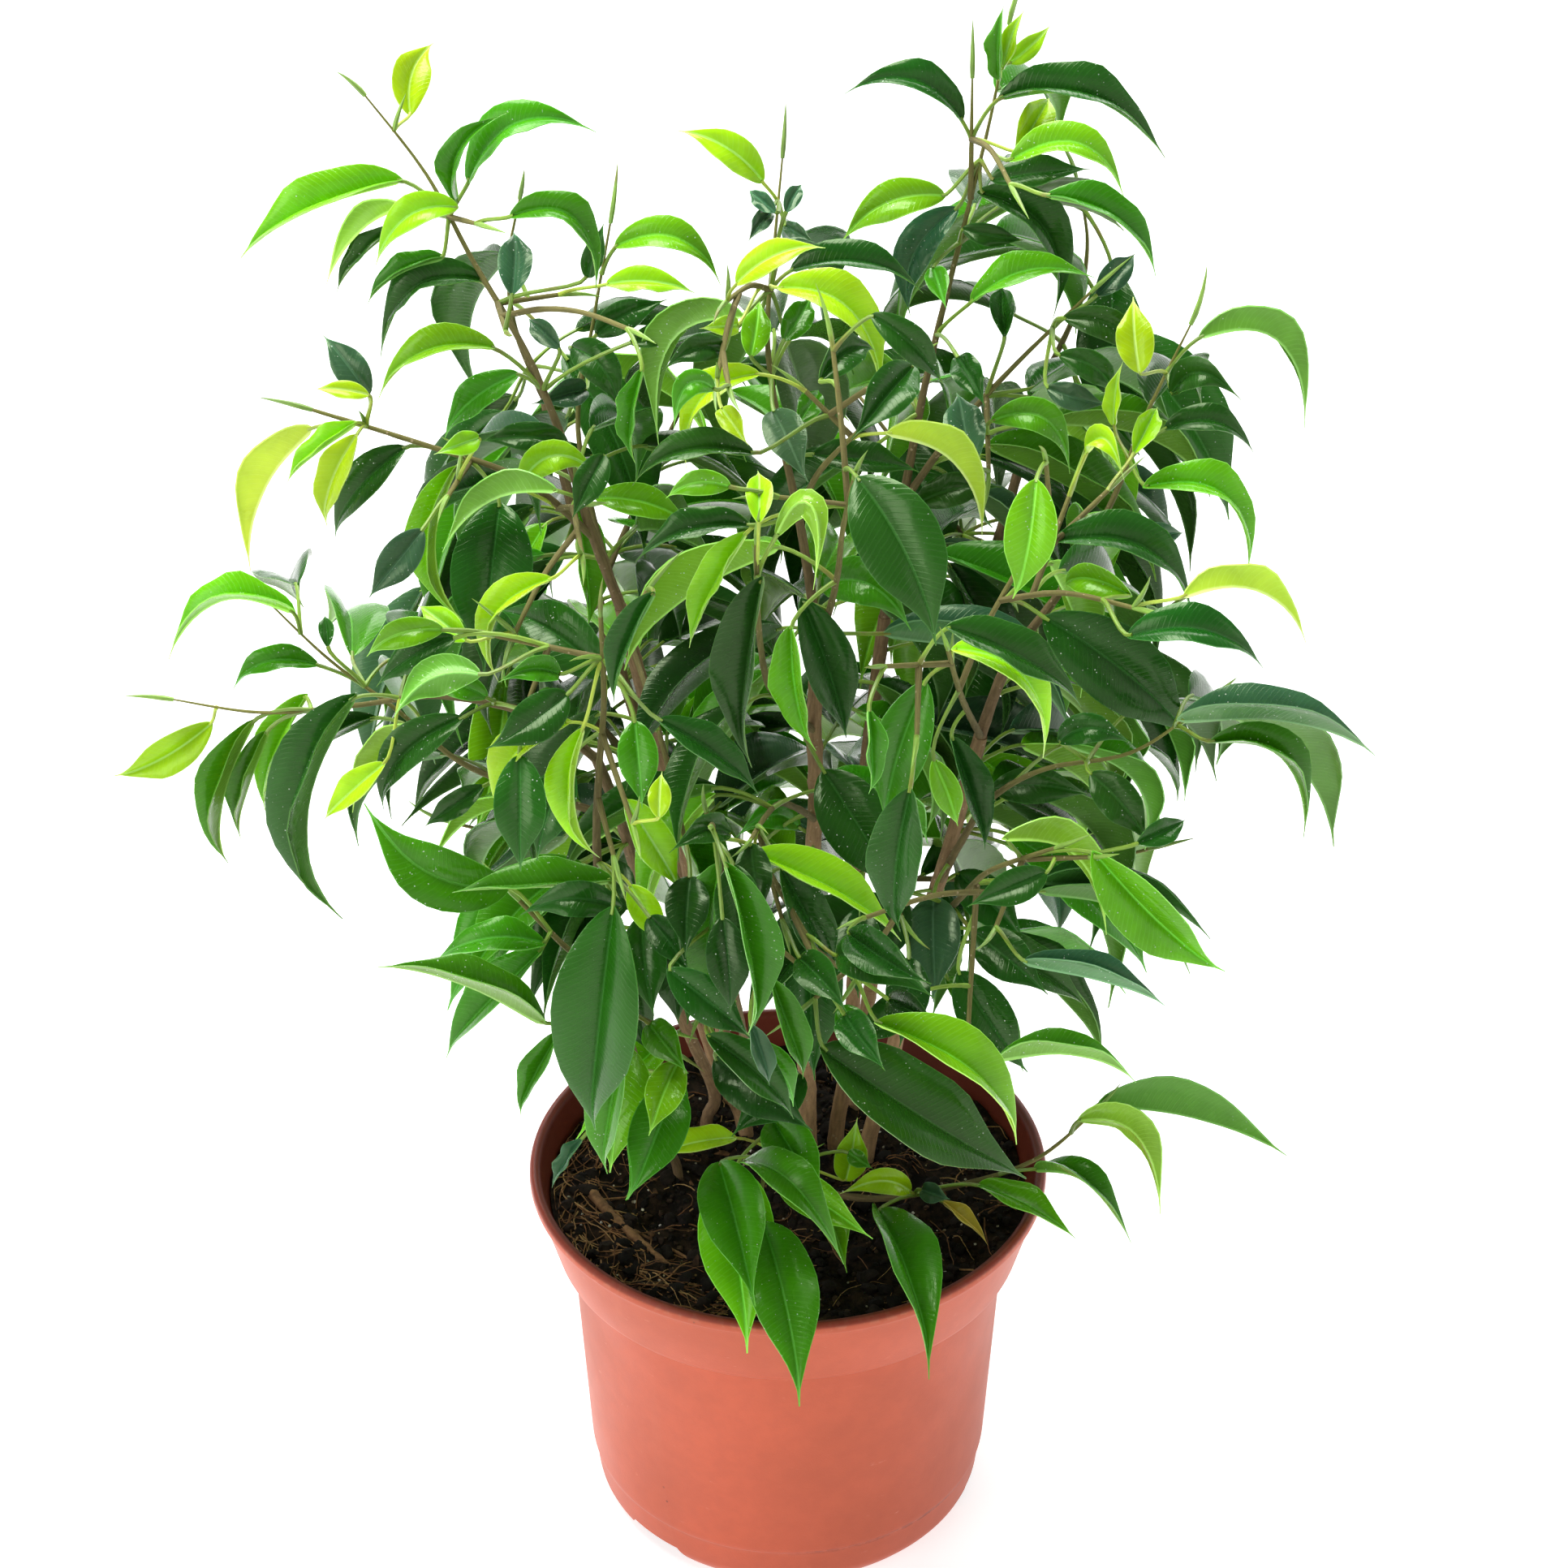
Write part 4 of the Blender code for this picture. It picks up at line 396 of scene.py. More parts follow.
# Front leaves of each stem, each placed by where its foot, the top of its arch (None for a
# nearly flat one) and its tip are seen, and its width there, all in pixels; then its tone,
# and either how far it lies behind the crown's front or the (foot, tip) distances in front
# of the pot's middle, in millimetres.
LEAVES = {
    "leafy_stem_top_left": (
        ((506, 143), (480, 92), (537, 53), 56, "lime", 0),
        ((497, 222), (396, 216), (296, 318), 60, "bright", 0),
        ((493, 255), (466, 248), (399, 354), 30, "bright_under", 0),
        ((485, 280), None, (413, 359), 30, "dark", 6),
        ((565, 256), (530, 236), (462, 332), 45, "lime", 0),
        ((564, 250), (545, 180), (628, 139), 40, "mid", 4),
        ((577, 227), (638, 122), (736, 162), 50, "mid", 0),
        ((627, 268), (685, 240), (737, 367), 45, "mid", 0),
        ((631, 364), None, (634, 284), 52, "grey", 5),
        ((597, 347), (540, 325), (470, 445), 45, "dark", 0),
        ((548, 317), (511, 316), (450, 376), 28, "mid", 5),
        ((611, 430), (560, 402), (462, 490), 45, "bright", 0),
        ((455, 487), None, (398, 412), 45, "grey", 4),
        ((455, 487), None, (386, 480), 24, "lime", 0),
        ((723, 342), None, (745, 273), 30, "dark", 5),
        ((640, 460), (590, 470), (545, 540), 45, "mid", 6),
        ((385, 527), (332, 545), (306, 705), 44, "lime_under", 0),
        ((440, 520), (400, 535), (350, 595), 30, "lime", 4),
        ((440, 535), (412, 560), (400, 650), 45, "lime", 0),
        ((500, 550), (470, 560), (410, 662), 52, "dark", 3),
        ((521, 652), None, (453, 736), 50, "grey", 14),
        ((562, 574), (512, 634), (569, 768), 51, "bright", 0),
        ((687, 605), (629, 586), (545, 680), 40, "mid_under", 4),
        ((616, 619), None, (595, 833), 108, "dark", 3),
        ((710, 621), None, (724, 776), 48, "bright", 0),
        ((733, 614), (789, 600), (855, 650), 45, "bright", 0),
        ((682, 713), (622, 722), (611, 843), 40, "lime", 4),
        ((703, 428), (735, 425), (765, 512), 50, "dark", 5),
        ((757, 305), (820, 266), (891, 351), 45, "bright", 0),
        ((746, 351), (800, 330), (858, 362), 35, "lime", 5),
        ((734, 413), (775, 375), (823, 371), 42, "dark", 8),
        ((775, 423), None, (835, 400), 34, "dark", 12),
        ((792, 454), (766, 497), (780, 572), 38, "mid", 5),
        ((590, 540), None, (535, 560), 34, "lime", 8),
        ((700, 545), (640, 520), (590, 545), 40, "dark", 6),
        ((640, 600), (680, 540), (745, 590), 45, "lime", 8),
        ((575, 790), None, (515, 745), 40, "lime", 14),
        ((722, 480), None, (655, 500), 45, "grey", 12),
        ((690, 430), None, (650, 392), 34, "grey", 10),
        ((745, 560), None, (705, 640), 45, "dark", 14),
    ),
    "leafy_stem_centre": (
        ((940, 225), (885, 160), (833, 160), 45, "lime", 0),
        ((948, 262), None, (921, 298), 30, "grey", 0),
        ((956, 262), None, (922, 234), 26, "grey", 0),
        ((968, 262), None, (988, 226), 26, "grey", 0),
        ((968, 278), None, (1004, 300), 26, "grey", 3),
        ((918, 391), (850, 372), (816, 549), 55, "mid_under", 0),
        ((937, 461), (880, 450), (848, 580), 45, "lime", 0),
        ((958, 355), (1015, 335), (1087, 496), 60, "lime", 0),
        ((907, 351), (950, 302), (1017, 302), 40, "lime", 4),
        ((973, 334), (1040, 302), (1140, 360), 45, "dark", 3),
        ((1073, 388), (1108, 392), (1161, 476), 48, "dark", 6),
        ((1125, 451), None, (1050, 543), 70, "dark", 9),
        ((891, 434), (855, 412), (815, 457), 40, "dark", 5),
        ((909, 400), None, (862, 405), 30, "lime", 6),
        ((953, 506), None, (993, 595), 60, "grey", 0),
        ((930, 560), (850, 530), (777, 595), 48, "dark", 4),
        ((889, 503), None, (921, 549), 35, "lime", 6),
        ((1092, 534), (1155, 524), (1213, 669), 42, "lime_under", 0),
        ((955, 663), (990, 606), (1007, 726), 42, "bright_under", 2),
        ((1012, 725), (1065, 697), (1125, 778), 62, "mid", 2),
        ((987, 737), None, (1042, 912), 75, "dark", 5),
        ((1056, 588), (1135, 665), (1155, 795), 112, "dark", 0),
        ((1000, 560), (1060, 548), (1135, 580), 45, "dark", 12),
        ((920, 655), (868, 700), (850, 800), 50, "lime", 0),
        ((940, 710), (890, 800), (920, 945), 75, "dark", 0),
        ((975, 770), (955, 840), (1003, 925), 55, "bright", 0),
        ((925, 648), (850, 634), (783, 692), 45, "dark", 2),
        ((926, 1051), (1020, 1065), (1111, 1159), 60, "lime", 0),
        ((935, 645), None, (935, 580), 46, "lime", 0),
        ((1014, 949), None, (1113, 1108), 92, "dark", 8),
        ((1000, 1022), None, (945, 985), 36, "grey", 10),
        ((985, 520), None, (1010, 480), 36, "mid", 10),
        ((1010, 470), (1030, 420), (1080, 430), 50, "dark", 14),
        ((880, 480), (850, 460), (830, 530), 36, "mid", 12),
        ((900, 600), (860, 580), (820, 615), 36, "bright", 8),
        ((925, 440), None, (935, 368), 40, "bright", 8),
        ((965, 420), None, (1000, 365), 40, "mid", 10),
    ),
    "leafy_stem_top_right": (
        ((1232, 100), None, (1238, 5), 28, "mid", 0),
        ((1236, 85), None, (1262, 10), 24, "lime", 0),
        ((1244, 78), None, (1296, 30), 28, "lime", 2),
        ((1186, 150), (1140, 82), (1039, 113), 45, "dark", 0),
        ((1229, 122), (1305, 84), (1435, 199), 58, "dark", 0),
        ((1252, 188), None, (1294, 119), 58, "lime", 3),
        ((1244, 199), (1315, 157), (1388, 247), 45, "bright", 0),
        ((1221, 222), None, (1344, 209), 40, "dark", 8),
        ((1204, 237), (1268, 232), (1299, 394), 60, "dark", 0),
        ((1288, 241), (1340, 232), (1428, 340), 45, "mid", 3),
        ((1196, 373), (1262, 316), (1350, 345), 45, "bright", 3),
        ((1238, 417), None, (1235, 352), 50, "dark", 8),
        ((1165, 242), (1110, 226), (1036, 301), 50, "bright", 0),
        ((1181, 256), (1120, 290), (1124, 390), 52, "grey", 3),
        ((1185, 282), None, (1262, 296), 30, "dark", 8),
        ((1310, 392), (1370, 385), (1405, 452), 45, "dark", 5),
        ((1304, 438), (1345, 430), (1375, 494), 40, "dark", 6),
        ((1290, 478), None, (1366, 500), 36, "grey", 9),
        ((1350, 365), None, (1400, 312), 40, "grey", 2),
        ((1195, 575), None, (1180, 482), 60, "grey", 2),
        ((1221, 519), (1270, 487), (1320, 585), 45, "mid", 3),
        ((1150, 330), None, (1165, 380), 36, "mid", 0),
        ((1130, 620), (1180, 585), (1235, 600), 45, "dark", 8),
        ((1180, 440), None, (1215, 500), 45, "dark", 12),
    ),
    "leafy_stem_right": (
        ((1476, 417), (1550, 382), (1611, 527), 45, "mid_under", 0),
        ((1443, 487), (1482, 440), (1528, 494), 45, "dark", 2),
        ((1434, 529), (1480, 503), (1547, 560), 38, "dark", 2),
        ((1408, 601), (1480, 574), (1543, 711), 50, "bright", 0),
        ((1299, 667), (1370, 640), (1475, 757), 60, "dark", 0),
        ((1457, 736), (1520, 702), (1614, 793), 40, "lime_under", 0),
        ((1389, 785), (1450, 750), (1560, 825), 55, "dark", 0),
        ((1285, 760), (1390, 800), (1470, 915), 105, "dark", 0),
        ((1450, 887), (1540, 860), (1698, 932), 42, "grey", 0),
        ((1490, 915), (1555, 890), (1608, 1033), 45, "mid", 0),
        ((1376, 665), None, (1460, 655), 45, "grey", 4),
        ((1404, 460), None, (1397, 365), 50, "lime", 0),
        ((1338, 560), (1362, 527), (1387, 592), 40, "lime", 3),
        ((1396, 560), None, (1425, 500), 46, "lime", 2),
        ((1373, 525), None, (1383, 445), 26, "lime", 0),
        ((1277, 590), None, (1251, 740), 70, "bright", 0),
        ((1172, 800), (1232, 788), (1287, 937), 55, "lime", 0),
        ((1140, 838), None, (1089, 1011), 79, "mid", 0),
        ((1070, 873), None, (1073, 979), 36, "mid", 4),
        ((1150, 935), None, (1180, 1019), 40, "bright", 4),
        ((1171, 907), None, (1214, 1048), 52, "dark", 7),
        ((1122, 970), None, (1105, 1150), 76, "dark", 4),
        ((1162, 1097), None, (1148, 1232), 66, "dark", 0),
        ((1221, 973), (1270, 950), (1343, 982), 48, "dark", 6),
        ((1343, 953), (1392, 980), (1415, 1040), 55, "dark", 4),
        ((1234, 1034), (1315, 1016), (1360, 1151), 46, "bright_under", 2),
        ((1346, 1048), (1390, 1136), (1509, 1200), 88, "bright", 0),
        ((1200, 1150), None, (1342, 1240), 60, "dark", 6),
        ((1260, 1185), (1330, 1178), (1436, 1240), 40, "grey", 12),
        ((1230, 1305), (1290, 1276), (1402, 1333), 32, "mid", 8),
        ((1180, 1197), None, (1265, 1322), 72, "dark", 5),
        ((1165, 772), (1245, 775), (1335, 868), 60, "dark", 8),
        ((1305, 915), (1345, 880), (1395, 920), 42, "dark", 8),
        ((1400, 1040), None, (1462, 1010), 40, "dark", 12),
        ((1045, 1150), None, (1145, 1215), 72, "dark", 10),
        ((1077, 1260), (1170, 1262), (1254, 1411), 72, "bright", 0),
        ((1010, 1290), (1135, 1350), (1269, 1455), 112, "dark", 2),
        ((1395, 735), (1330, 700), (1310, 725), 50, "bright", 10),
        ((1290, 1075), None, (1190, 1115), 50, "dark", 14),
        ((1130, 1225), None, (1050, 1290), 50, "dark", 8),
    ),
    "leafy_stem_front_left": (
        ((745, 835), (690, 745), (613, 752), 82, "dark", 0),
        ((690, 831), (654, 810), (613, 840), 42, "mid", 6),
        ((547, 776), (496, 764), (451, 810), 40, "bright", 8),
        ((562, 785), (505, 800), (463, 846), 45, "dark", 10),
        ((593, 832), (535, 808), (486, 884), 55, "mid_under", 10),
        ((700, 855), None, (600, 925), 60, "dark", 12),
        ((705, 889), (640, 892), (627, 1028), 45, "lime", 0),
        ((719, 896), (680, 965), (736, 1060), 43, "lime", 0),
        ((782, 888), None, (791, 996), 54, "mid", 2),
        ((807, 729), None, (756, 869), 46, "dark", 8),
        ((811, 887), (870, 900), (937, 979), 52, "dark", 8),
        ((770, 985), None, (838, 1097), 52, "lime", 0),
        ((812, 1008), None, (815, 950), 32, "lime", 4),
        ((776, 1090), None, (819, 1166), 42, "lime", 0),
        ((755, 1120), (738, 1240), (725, 1393), 118, "mid", 0),
        ((628, 1092), (503, 1100), (452, 988), 80, "mid", 0),
        ((756, 1085), (654, 1076), (555, 1099), 50, "mid", 3),
        ((766, 1120), (718, 1085), (641, 1128), 50, "dark", 6),
        ((672, 1262), (570, 1184), (465, 1191), 48, "mid", 2),
        ((672, 1163), (640, 1140), (532, 1186), 45, "mid", 8),
        ((669, 1170), None, (547, 1302), 58, "mid", 6),
        ((690, 1270), None, (639, 1374), 46, "mid", 4),
        ((718, 1402), None, (680, 1464), 22, "grey", (30, 32)),
        ((640, 930), None, (640, 1075), 70, "dark", 14),
        ((700, 940), None, (660, 1060), 60, "dark", 10),
        ((772, 1290), None, (752, 1446), 84, "bright", (40, 58)),
        ((836, 1328), None, (774, 1480), 70, "mid", (28, 50)),
        ((800, 1130), None, (850, 1200), 48, "dark", 16),
    ),
    "leafy_stem_front": (
        ((888, 1062), (852, 1120), (928, 1281), 62, "mid", 0),
        ((903, 1065), None, (917, 1192), 65, "dark", 4),
        ((900, 1028), (862, 1008), (824, 1051), 45, "dark", 8),
        ((950, 1206), None, (992, 1330), 52, "mid", 6),
        ((822, 1194), None, (926, 1278), 60, "dark", 12),
        ((890, 1290), (950, 1290), (975, 1365), 50, "mid", 10),
        ((1035, 1240), None, (1088, 1310), 46, "mid", 10),
        ((908, 1402), None, (796, 1429), 36, "lime", (12, 20)),
        ((985, 1322), None, (900, 1398), 78, "dark", (28, 44)),
        ((905, 1440), None, (926, 1667), 100, "bright", (30, 66)),
        ((940, 1505), None, (989, 1732), 92, "mid", (34, 74)),
        ((957, 1450), None, (1075, 1527), 58, "bright", (30, 48)),
        ((1000, 1465), None, (1043, 1568), 48, "bright", (22, 46)),
        ((952, 1380), None, (1017, 1491), 78, "mid", (30, 52)),
        ((1042, 1455), None, (1055, 1377), 46, "lime", (6, 2)),
        ((1080, 1491), (1145, 1540), (1151, 1699), 84, "mid", (22, 70)),
        ((1122, 1469), (1086, 1444), (1035, 1473), 36, "lime", (16, 20)),
        ((1160, 1480), None, (1218, 1534), 22, "yellow", (14, 22)),
        ((1135, 1466), None, (1171, 1478), 30, "grey", (18, 22)),
        ((1327, 1381), (1375, 1362), (1429, 1494), 40, "bright_under", (9, 20)),
        ((1354, 1358), (1430, 1343), (1583, 1425), 42, "mid_under", (9, 6)),
        ((1274, 1441), (1325, 1430), (1394, 1535), 36, "mid", (12, 26)),
        ((1204, 1460), None, (1325, 1527), 40, "bright", (14, 28)),
        ((1045, 1420), None, (1075, 1440), 24, "mid", (8, 12)),
        ((860, 1150), None, (845, 1262), 62, "dark", 10),
    ),
    "leafy_stem_left": (
        ((364, 755), (300, 718), (205, 814), 38, "bright", 0),
        ((404, 798), None, (400, 758), 28, "dark", 0),
        ((393, 820), (340, 797), (284, 851), 38, "mid", 0),
        ((262, 890), (200, 942), (139, 958), 56, "lime", 0),
        ((314, 886), (248, 950), (280, 1069), 54, "mid", 0),
        ((330, 900), None, (292, 1033), 38, "mid", 3),
        ((379, 855), (322, 905), (325, 998), 48, "bright", 0),
        ((439, 855), (345, 960), (415, 1135), 58, "dark", 0),
        ((475, 940), None, (398, 1012), 40, "lime", 5),
        ((521, 895), (450, 920), (430, 1000), 45, "bright_under", 4),
        ((571, 884), (500, 900), (467, 998), 60, "dark", 0),
        ((597, 968), None, (521, 1018), 36, "dark", 8),
        ((600, 860), (560, 830), (520, 850), 36, "mid", 8),
        ((650, 875), None, (690, 850), 30, "mid", 8),
    ),
}

# How many leaves fill each stem out, behind the front ones and all round the back
FILL = {
    "leafy_stem_left": 4,
    "leafy_stem_top_left": 7,
    "leafy_stem_centre": 5,
    "leafy_stem_top_right": 8,
    "leafy_stem_right": 8,
    "leafy_stem_back_left": 32,
    "leafy_stem_back_right": 32,
}
FILL_TRIES = 60
FILL_LOWEST = 118.0
FILL_SEED = 11
FILL_FURTHEST = 1.12
FILL_LENGTHS = (38.0, 54.0)
FILL_WIDTHS = (0.38, 0.44)
FILL_ARCHES = (0.10, 0.22)
FILL_RISES = (-0.1, 0.7)
FILL_DROOPS = (15.0, 72.0)
FILL_SPREAD = 1.1
FILL_ROLL = 0.35
FILL_CHORD = 0.96
# Pixels of the view within which a front leaf backs a filling leaf, as seen at these rows,
# because the crown is open at its top and sides
NEAR_FRONT_LEAF = (22.0, 50.0, 50.0, 28.0)
BACKED_ROWS = (400.0, 760.0, 980.0, 1200.0)
# The dense middle of the crown: where it is seen, its half width and half height, and how
# near a front leaf is to a filling one there, all in pixels of the view
DENSE_MIDDLE = (966.0, 800.0)
DENSE_RADII = (370.0, 430.0)
NEAR_IN_MIDDLE = 80.0
# Pixels of the view within which a filling leaf would cover a front one
HIDES_FRONT_LEAF = 46.0
HIDING_MARGIN = 2.0
# Places along a leaf, as shares of its length: of a front leaf in the view, of a filling
# leaf's middle line and edges, and of leaves that others hang among
FRONT_AT = np.linspace(0.0, 1.0, 7)
FILL_AT = (0.0, 0.35, 0.7, 1.0)
FILL_EDGES_AT = (0.3, 0.6)
AMONG_AT = np.linspace(0.1, 0.9, 5)

# More leaves low in the crown, rows as above; those in the inner tone are painted darker, as shade
LOW_LEAVES = {
    "leafy_stem_centre": (
        ((962, 1068), None, (1030, 1205), 62, "dark", 22),
        ((985, 1180), None, (1045, 1245), 58, "dark", 18),
        ((1030, 1178), (1090, 1160), (1150, 1232), 72, "dark", 14),
        ((1040, 1250), None, (1092, 1318), 55, "dark", 12),
        ((1095, 1232), None, (1160, 1265), 50, "inner", 24),
        ((985, 1020), (945, 985), (905, 1035), 40, "mid", 24),
    ),
    "leafy_stem_right": (
        ((1150, 1105), None, (1153, 1235), 75, "grey", 8),
        ((1200, 1148), None, (1292, 1225), 62, "dark", 10),
        ((1165, 1205), None, (1262, 1322), 62, "mid", 12),
        ((1180, 1075), None, (1265, 1160), 60, "dark", 14),
        ((1110, 1100), None, (1080, 1200), 52, "inner", 26),
    ),
    "leafy_stem_top_right": (
        ((1060, 1120), None, (1055, 1230), 60, "inner", 30),
        ((1120, 1180), None, (1110, 1290), 60, "inner", 34),
    ),
    "leafy_stem_front": (
        ((893, 1062), None, (928, 1275), 78, "mid", -6),
        ((870, 1275), None, (980, 1378), 58, "dark", 4),
        ((925, 1262), None, (948, 1338), 34, "grey", 0),
        ((880, 1305), None, (1000, 1395), 75, "inner", 22),
        ((886, 1432), None, (930, 1610), 97, "mid", (38, 73)),
        ((890, 1130), None, (900, 1250), 58, "inner", 26),
        ((925, 1040), None, (940, 1132), 50, "inner", 30),
        ((914, 1432), (970, 1425), (1040, 1560), 60, "mid", (22, 42)),
    ),
    "leafy_stem_front_left": (
        ((800, 1262), None, (848, 1322), 50, "mid", 16),
        ((756, 1116), None, (727, 1395), 124, "deep", -15),
        ((834, 1334), None, (776, 1480), 76, "mid", (47, 66)),
        ((790, 1128), None, (806, 1252), 62, "dark", 34),
        ((822, 1160), None, (836, 1262), 48, "inner", 40),
        ((770, 1290), None, (745, 1445), 60, "mid", 18),
        ((835, 1310), None, (800, 1400), 55, "bright", 10),
        ((790, 1195), (830, 1180), (870, 1235), 40, "dark", 20),
        ((760, 1180), None, (800, 1300), 55, "inner", 30),
    ),
    "leafy_stem_top_left": (((850, 1080), None, (845, 1180), 60, "inner", 34),),
    "leafy_stem_left": (((760, 1060), None, (745, 1160), 60, "inner", 34),),
}

# More leaves for the look, behind the front ones and all round, for each stem
MORE_FILL = {
    "leafy_stem_left": 12,
    "leafy_stem_top_left": 22,
    "leafy_stem_centre": 26,
    "leafy_stem_top_right": 22,
    "leafy_stem_right": 26,
    "leafy_stem_front_left": 16,
    "leafy_stem_front": 12,
    "leafy_stem_back_left": 44,
    "leafy_stem_back_right": 44,
}
MORE_SEED = 23
MORE_LOWEST = 104.0
# How near, in millimetres, an earlier leaf is to places along one of these leaves
MORE_NEAR = 24.0
MORE_NEAR_BEHIND = 17.0
MORE_NEAR_AT = (0.4, 0.8)
# Places that the view shows open, each with its radius in pixels: no such leaf stays there
OPEN_PLACES = (
    (1396, 210, 55),
    (446, 741, 45),
    (1557, 839, 40),
    (1487, 678, 45),
    (1284, 423, 45),
    (484, 619, 45),
    (560, 465, 40),
    (1493, 544, 35),
    (1450, 829, 35),
)
SHOWN_AT = (0.35, 0.6, 0.85)

# Fine leaf blades: rows along, columns across, and the outline's form
BLADE_ROWS = 17
BLADE_COLUMNS = np.array((-1.0, -0.74, -0.42, -0.09, 0.0, 0.09, 0.42, 0.74, 1.0))
ROWS_TO_ENDS = 0.6
BODY_END = 0.95
WIDEST_SKEW = 0.8
SHAPE_POWER = 0.8
NARROWING = (0.55, 0.40, 0.5)
FOOT_WIDTH = 0.04
TAIL_WIDTH = (0.02, 0.34)
TAIL_FROM = 0.5
WIDEST_TAIL = 0.1
HALF_SHEET = 0.14
HALF_BULGE = 0.09
EDGE_DROOP = 0.10
# How far each half is folded up, in degrees, by the share of the blade that the view shows
FOLDS = ((0.2, 38.0), (0.4, 52.0), (0.55, 52.0), (0.7, 42.0), (0.85, 30.0), (1.0, 20.0))
FOLD_SPREAD = 0.12
END_FOLD = 0.3
WAVES = (1.6, 3.0)
WAVE_HEIGHT = (0.15, 0.75)
SWAY = 0.03
TIP_HOOK = 0.05
HOOKED = (0.75, 1.25)
GROOVE = 0.03
MIDRIB_HEIGHT = (0.42, 0.30)
# Half width of a blade, in millimetres, below which its sheets draw together
THINNED_BELOW = 1.2
LEAF_SEED = 5

# Wood, stalks and shoot tips
WOOD_STEP = 2.2
WOOD_SIDES = 12
TWIG_SIDES = 8
STALK_SIDES = 6
STALK_STEPS = 7
STALK_RADII = (0.60, 0.48, 0.44, 0.42, 0.42, 0.44, 0.46)
STALK_INTO_BLADE = 0.03
SHORTEST_HANDLE = 0.35
STALK_RISE = np.array((0.0, 0.0, 0.35))
YOUNG_STALK = 0.85
NODE_GAPS = (8.0, 13.0)
NODE_SWELL = 0.10
NODE_LENGTH = 0.9
NODE_SIDES = (0.6, 0.8)
NODE_TURN_SPREAD = 0.4
WOOD_UNEVEN = 0.025
SPIKE_LENGTHS = (7.0, 13.0)
SPIKE_RADII = (0.46, 0.56, 0.50, 0.38, 0.22, 0.03)
SPIKES_BY_LEAVES = {"lime": 0.3, "bright": 0.15}
SPIKE_SIDES = 6
SPIKE_RISE = np.array((0.0, 0.0, 1.2))
SPIKE_ASIDE = 0.25

# Pot and soil for the look
POT_FINE_STEPS = 160
CORNER_ROUNDING = 1.6
CORNER_STEPS = 4
LONGEST_ROUNDING = 0.42
NOTCH_TOP_WIDTH = 14.0
NOTCH_FOOT_WIDTH = 22.0
NOTCH_BELOW = 0.2
FLAT_BASE = 0.9
POT_SHARP_EDGE = math.radians(38.0)
SOIL_FINE_RINGS = 48
SOIL_FINE_STEPS = 168
SOIL_ROUGHNESS = ((7.0, 1.3), (2.6, 0.7), (1.1, 0.3))
SOIL_SEED = 3
# Loose bits on the soil, as crumbs, lumps and bark chips: how many, how often their balls
# are divided, the sizes between which they lie, their form and their colours
CRUMB_KINDS = (
    (1700, 1, (0.35, 1.0), (1.0, 0.8, 0.7), ((26, 21, 17), (22, 18, 14), (46, 34, 25), (66, 50, 36))),
    (300, 2, (1.0, 2.3), (1.0, 0.85, 0.6), ((26, 20, 16), (34, 26, 20))),
    (24, 1, (0.9, 1.9), (1.5, 0.6, 0.3), ((92, 64, 42), (70, 50, 36), (120, 88, 58))),
)
GRIT_KIND = (
    300, 1, (0.22, 0.5), (1.0, 0.9, 0.8), ((196, 186, 168), (214, 208, 196), (168, 150, 122))
)
LUMP_UNEVEN = 0.16
LUMP_TILT = 0.35
LUMP_REACH = 0.97
LUMP_RAISED = 0.35
LUMP_TONE_SPREAD = 0.22
# Fibres: how many lie loose and in the tangle, and the form of each
FIBRES = 120
TANGLE = 150
FIBRE_STEPS = 11
FIBRE_STEP = (0.7, 2.6)
FIBRE_RISE = (0.2, 1.2)
FIBRE_RADIUS = (0.1, 0.24)
FIBRE_LIFT = 0.1
FIBRE_MARGIN = 1.2
FIBRE_WINDING = 0.15
FIBRE_SIDES = 5
FIBRE_REACH = 0.9
FIBRE_BEND_SPREAD = 0.22
FIBRE_TONES = ((178, 142, 96), (150, 112, 72), (132, 92, 60), (110, 78, 52))
# The tangle of fibres along the pot's wall at the left: its turns about Z and its reach
TANGLE_TURNS = (150.0, 262.0)
TANGLE_REACH = (0.78, 0.97)
TANGLE_BEND = 0.06
TANGLE_BEND_SPREAD = 0.16
TANGLE_WAY_SPREAD = 0.6
ROOT_STEP = 1.2
ROOT_SIDES = 8
ROOT_RAISED = 0.35
ROOT_TAPER = 0.4
ROOT_UNEVEN = 0.13
ROOT_TONES = ((112, 80, 54), (132, 98, 66))
# Thickness at a root's two ends, as a share, and how fast it grows from there
ROOT_END = 0.02
ROOT_END_GROWTH = 4.0
# Thicker roots on the soil: where each is seen, and its radius
ROOTS = (
    ((712, 1446), (752, 1502), (804, 1544), (862, 1584), 1.5),
    ((735, 1490), (790, 1520), (850, 1545), (886, 1580), 0.5),
    ((700, 1440), (720, 1490), (770, 1540), (800, 1575), 0.45),
    ((980, 1450), (1010, 1500), (1030, 1545), (1060, 1570), 0.5),
    ((1180, 1500), (1215, 1500), (1245, 1470), (1262, 1440), 0.45),
    ((830, 1420), (860, 1470), (900, 1490), (960, 1500), 0.6),
)

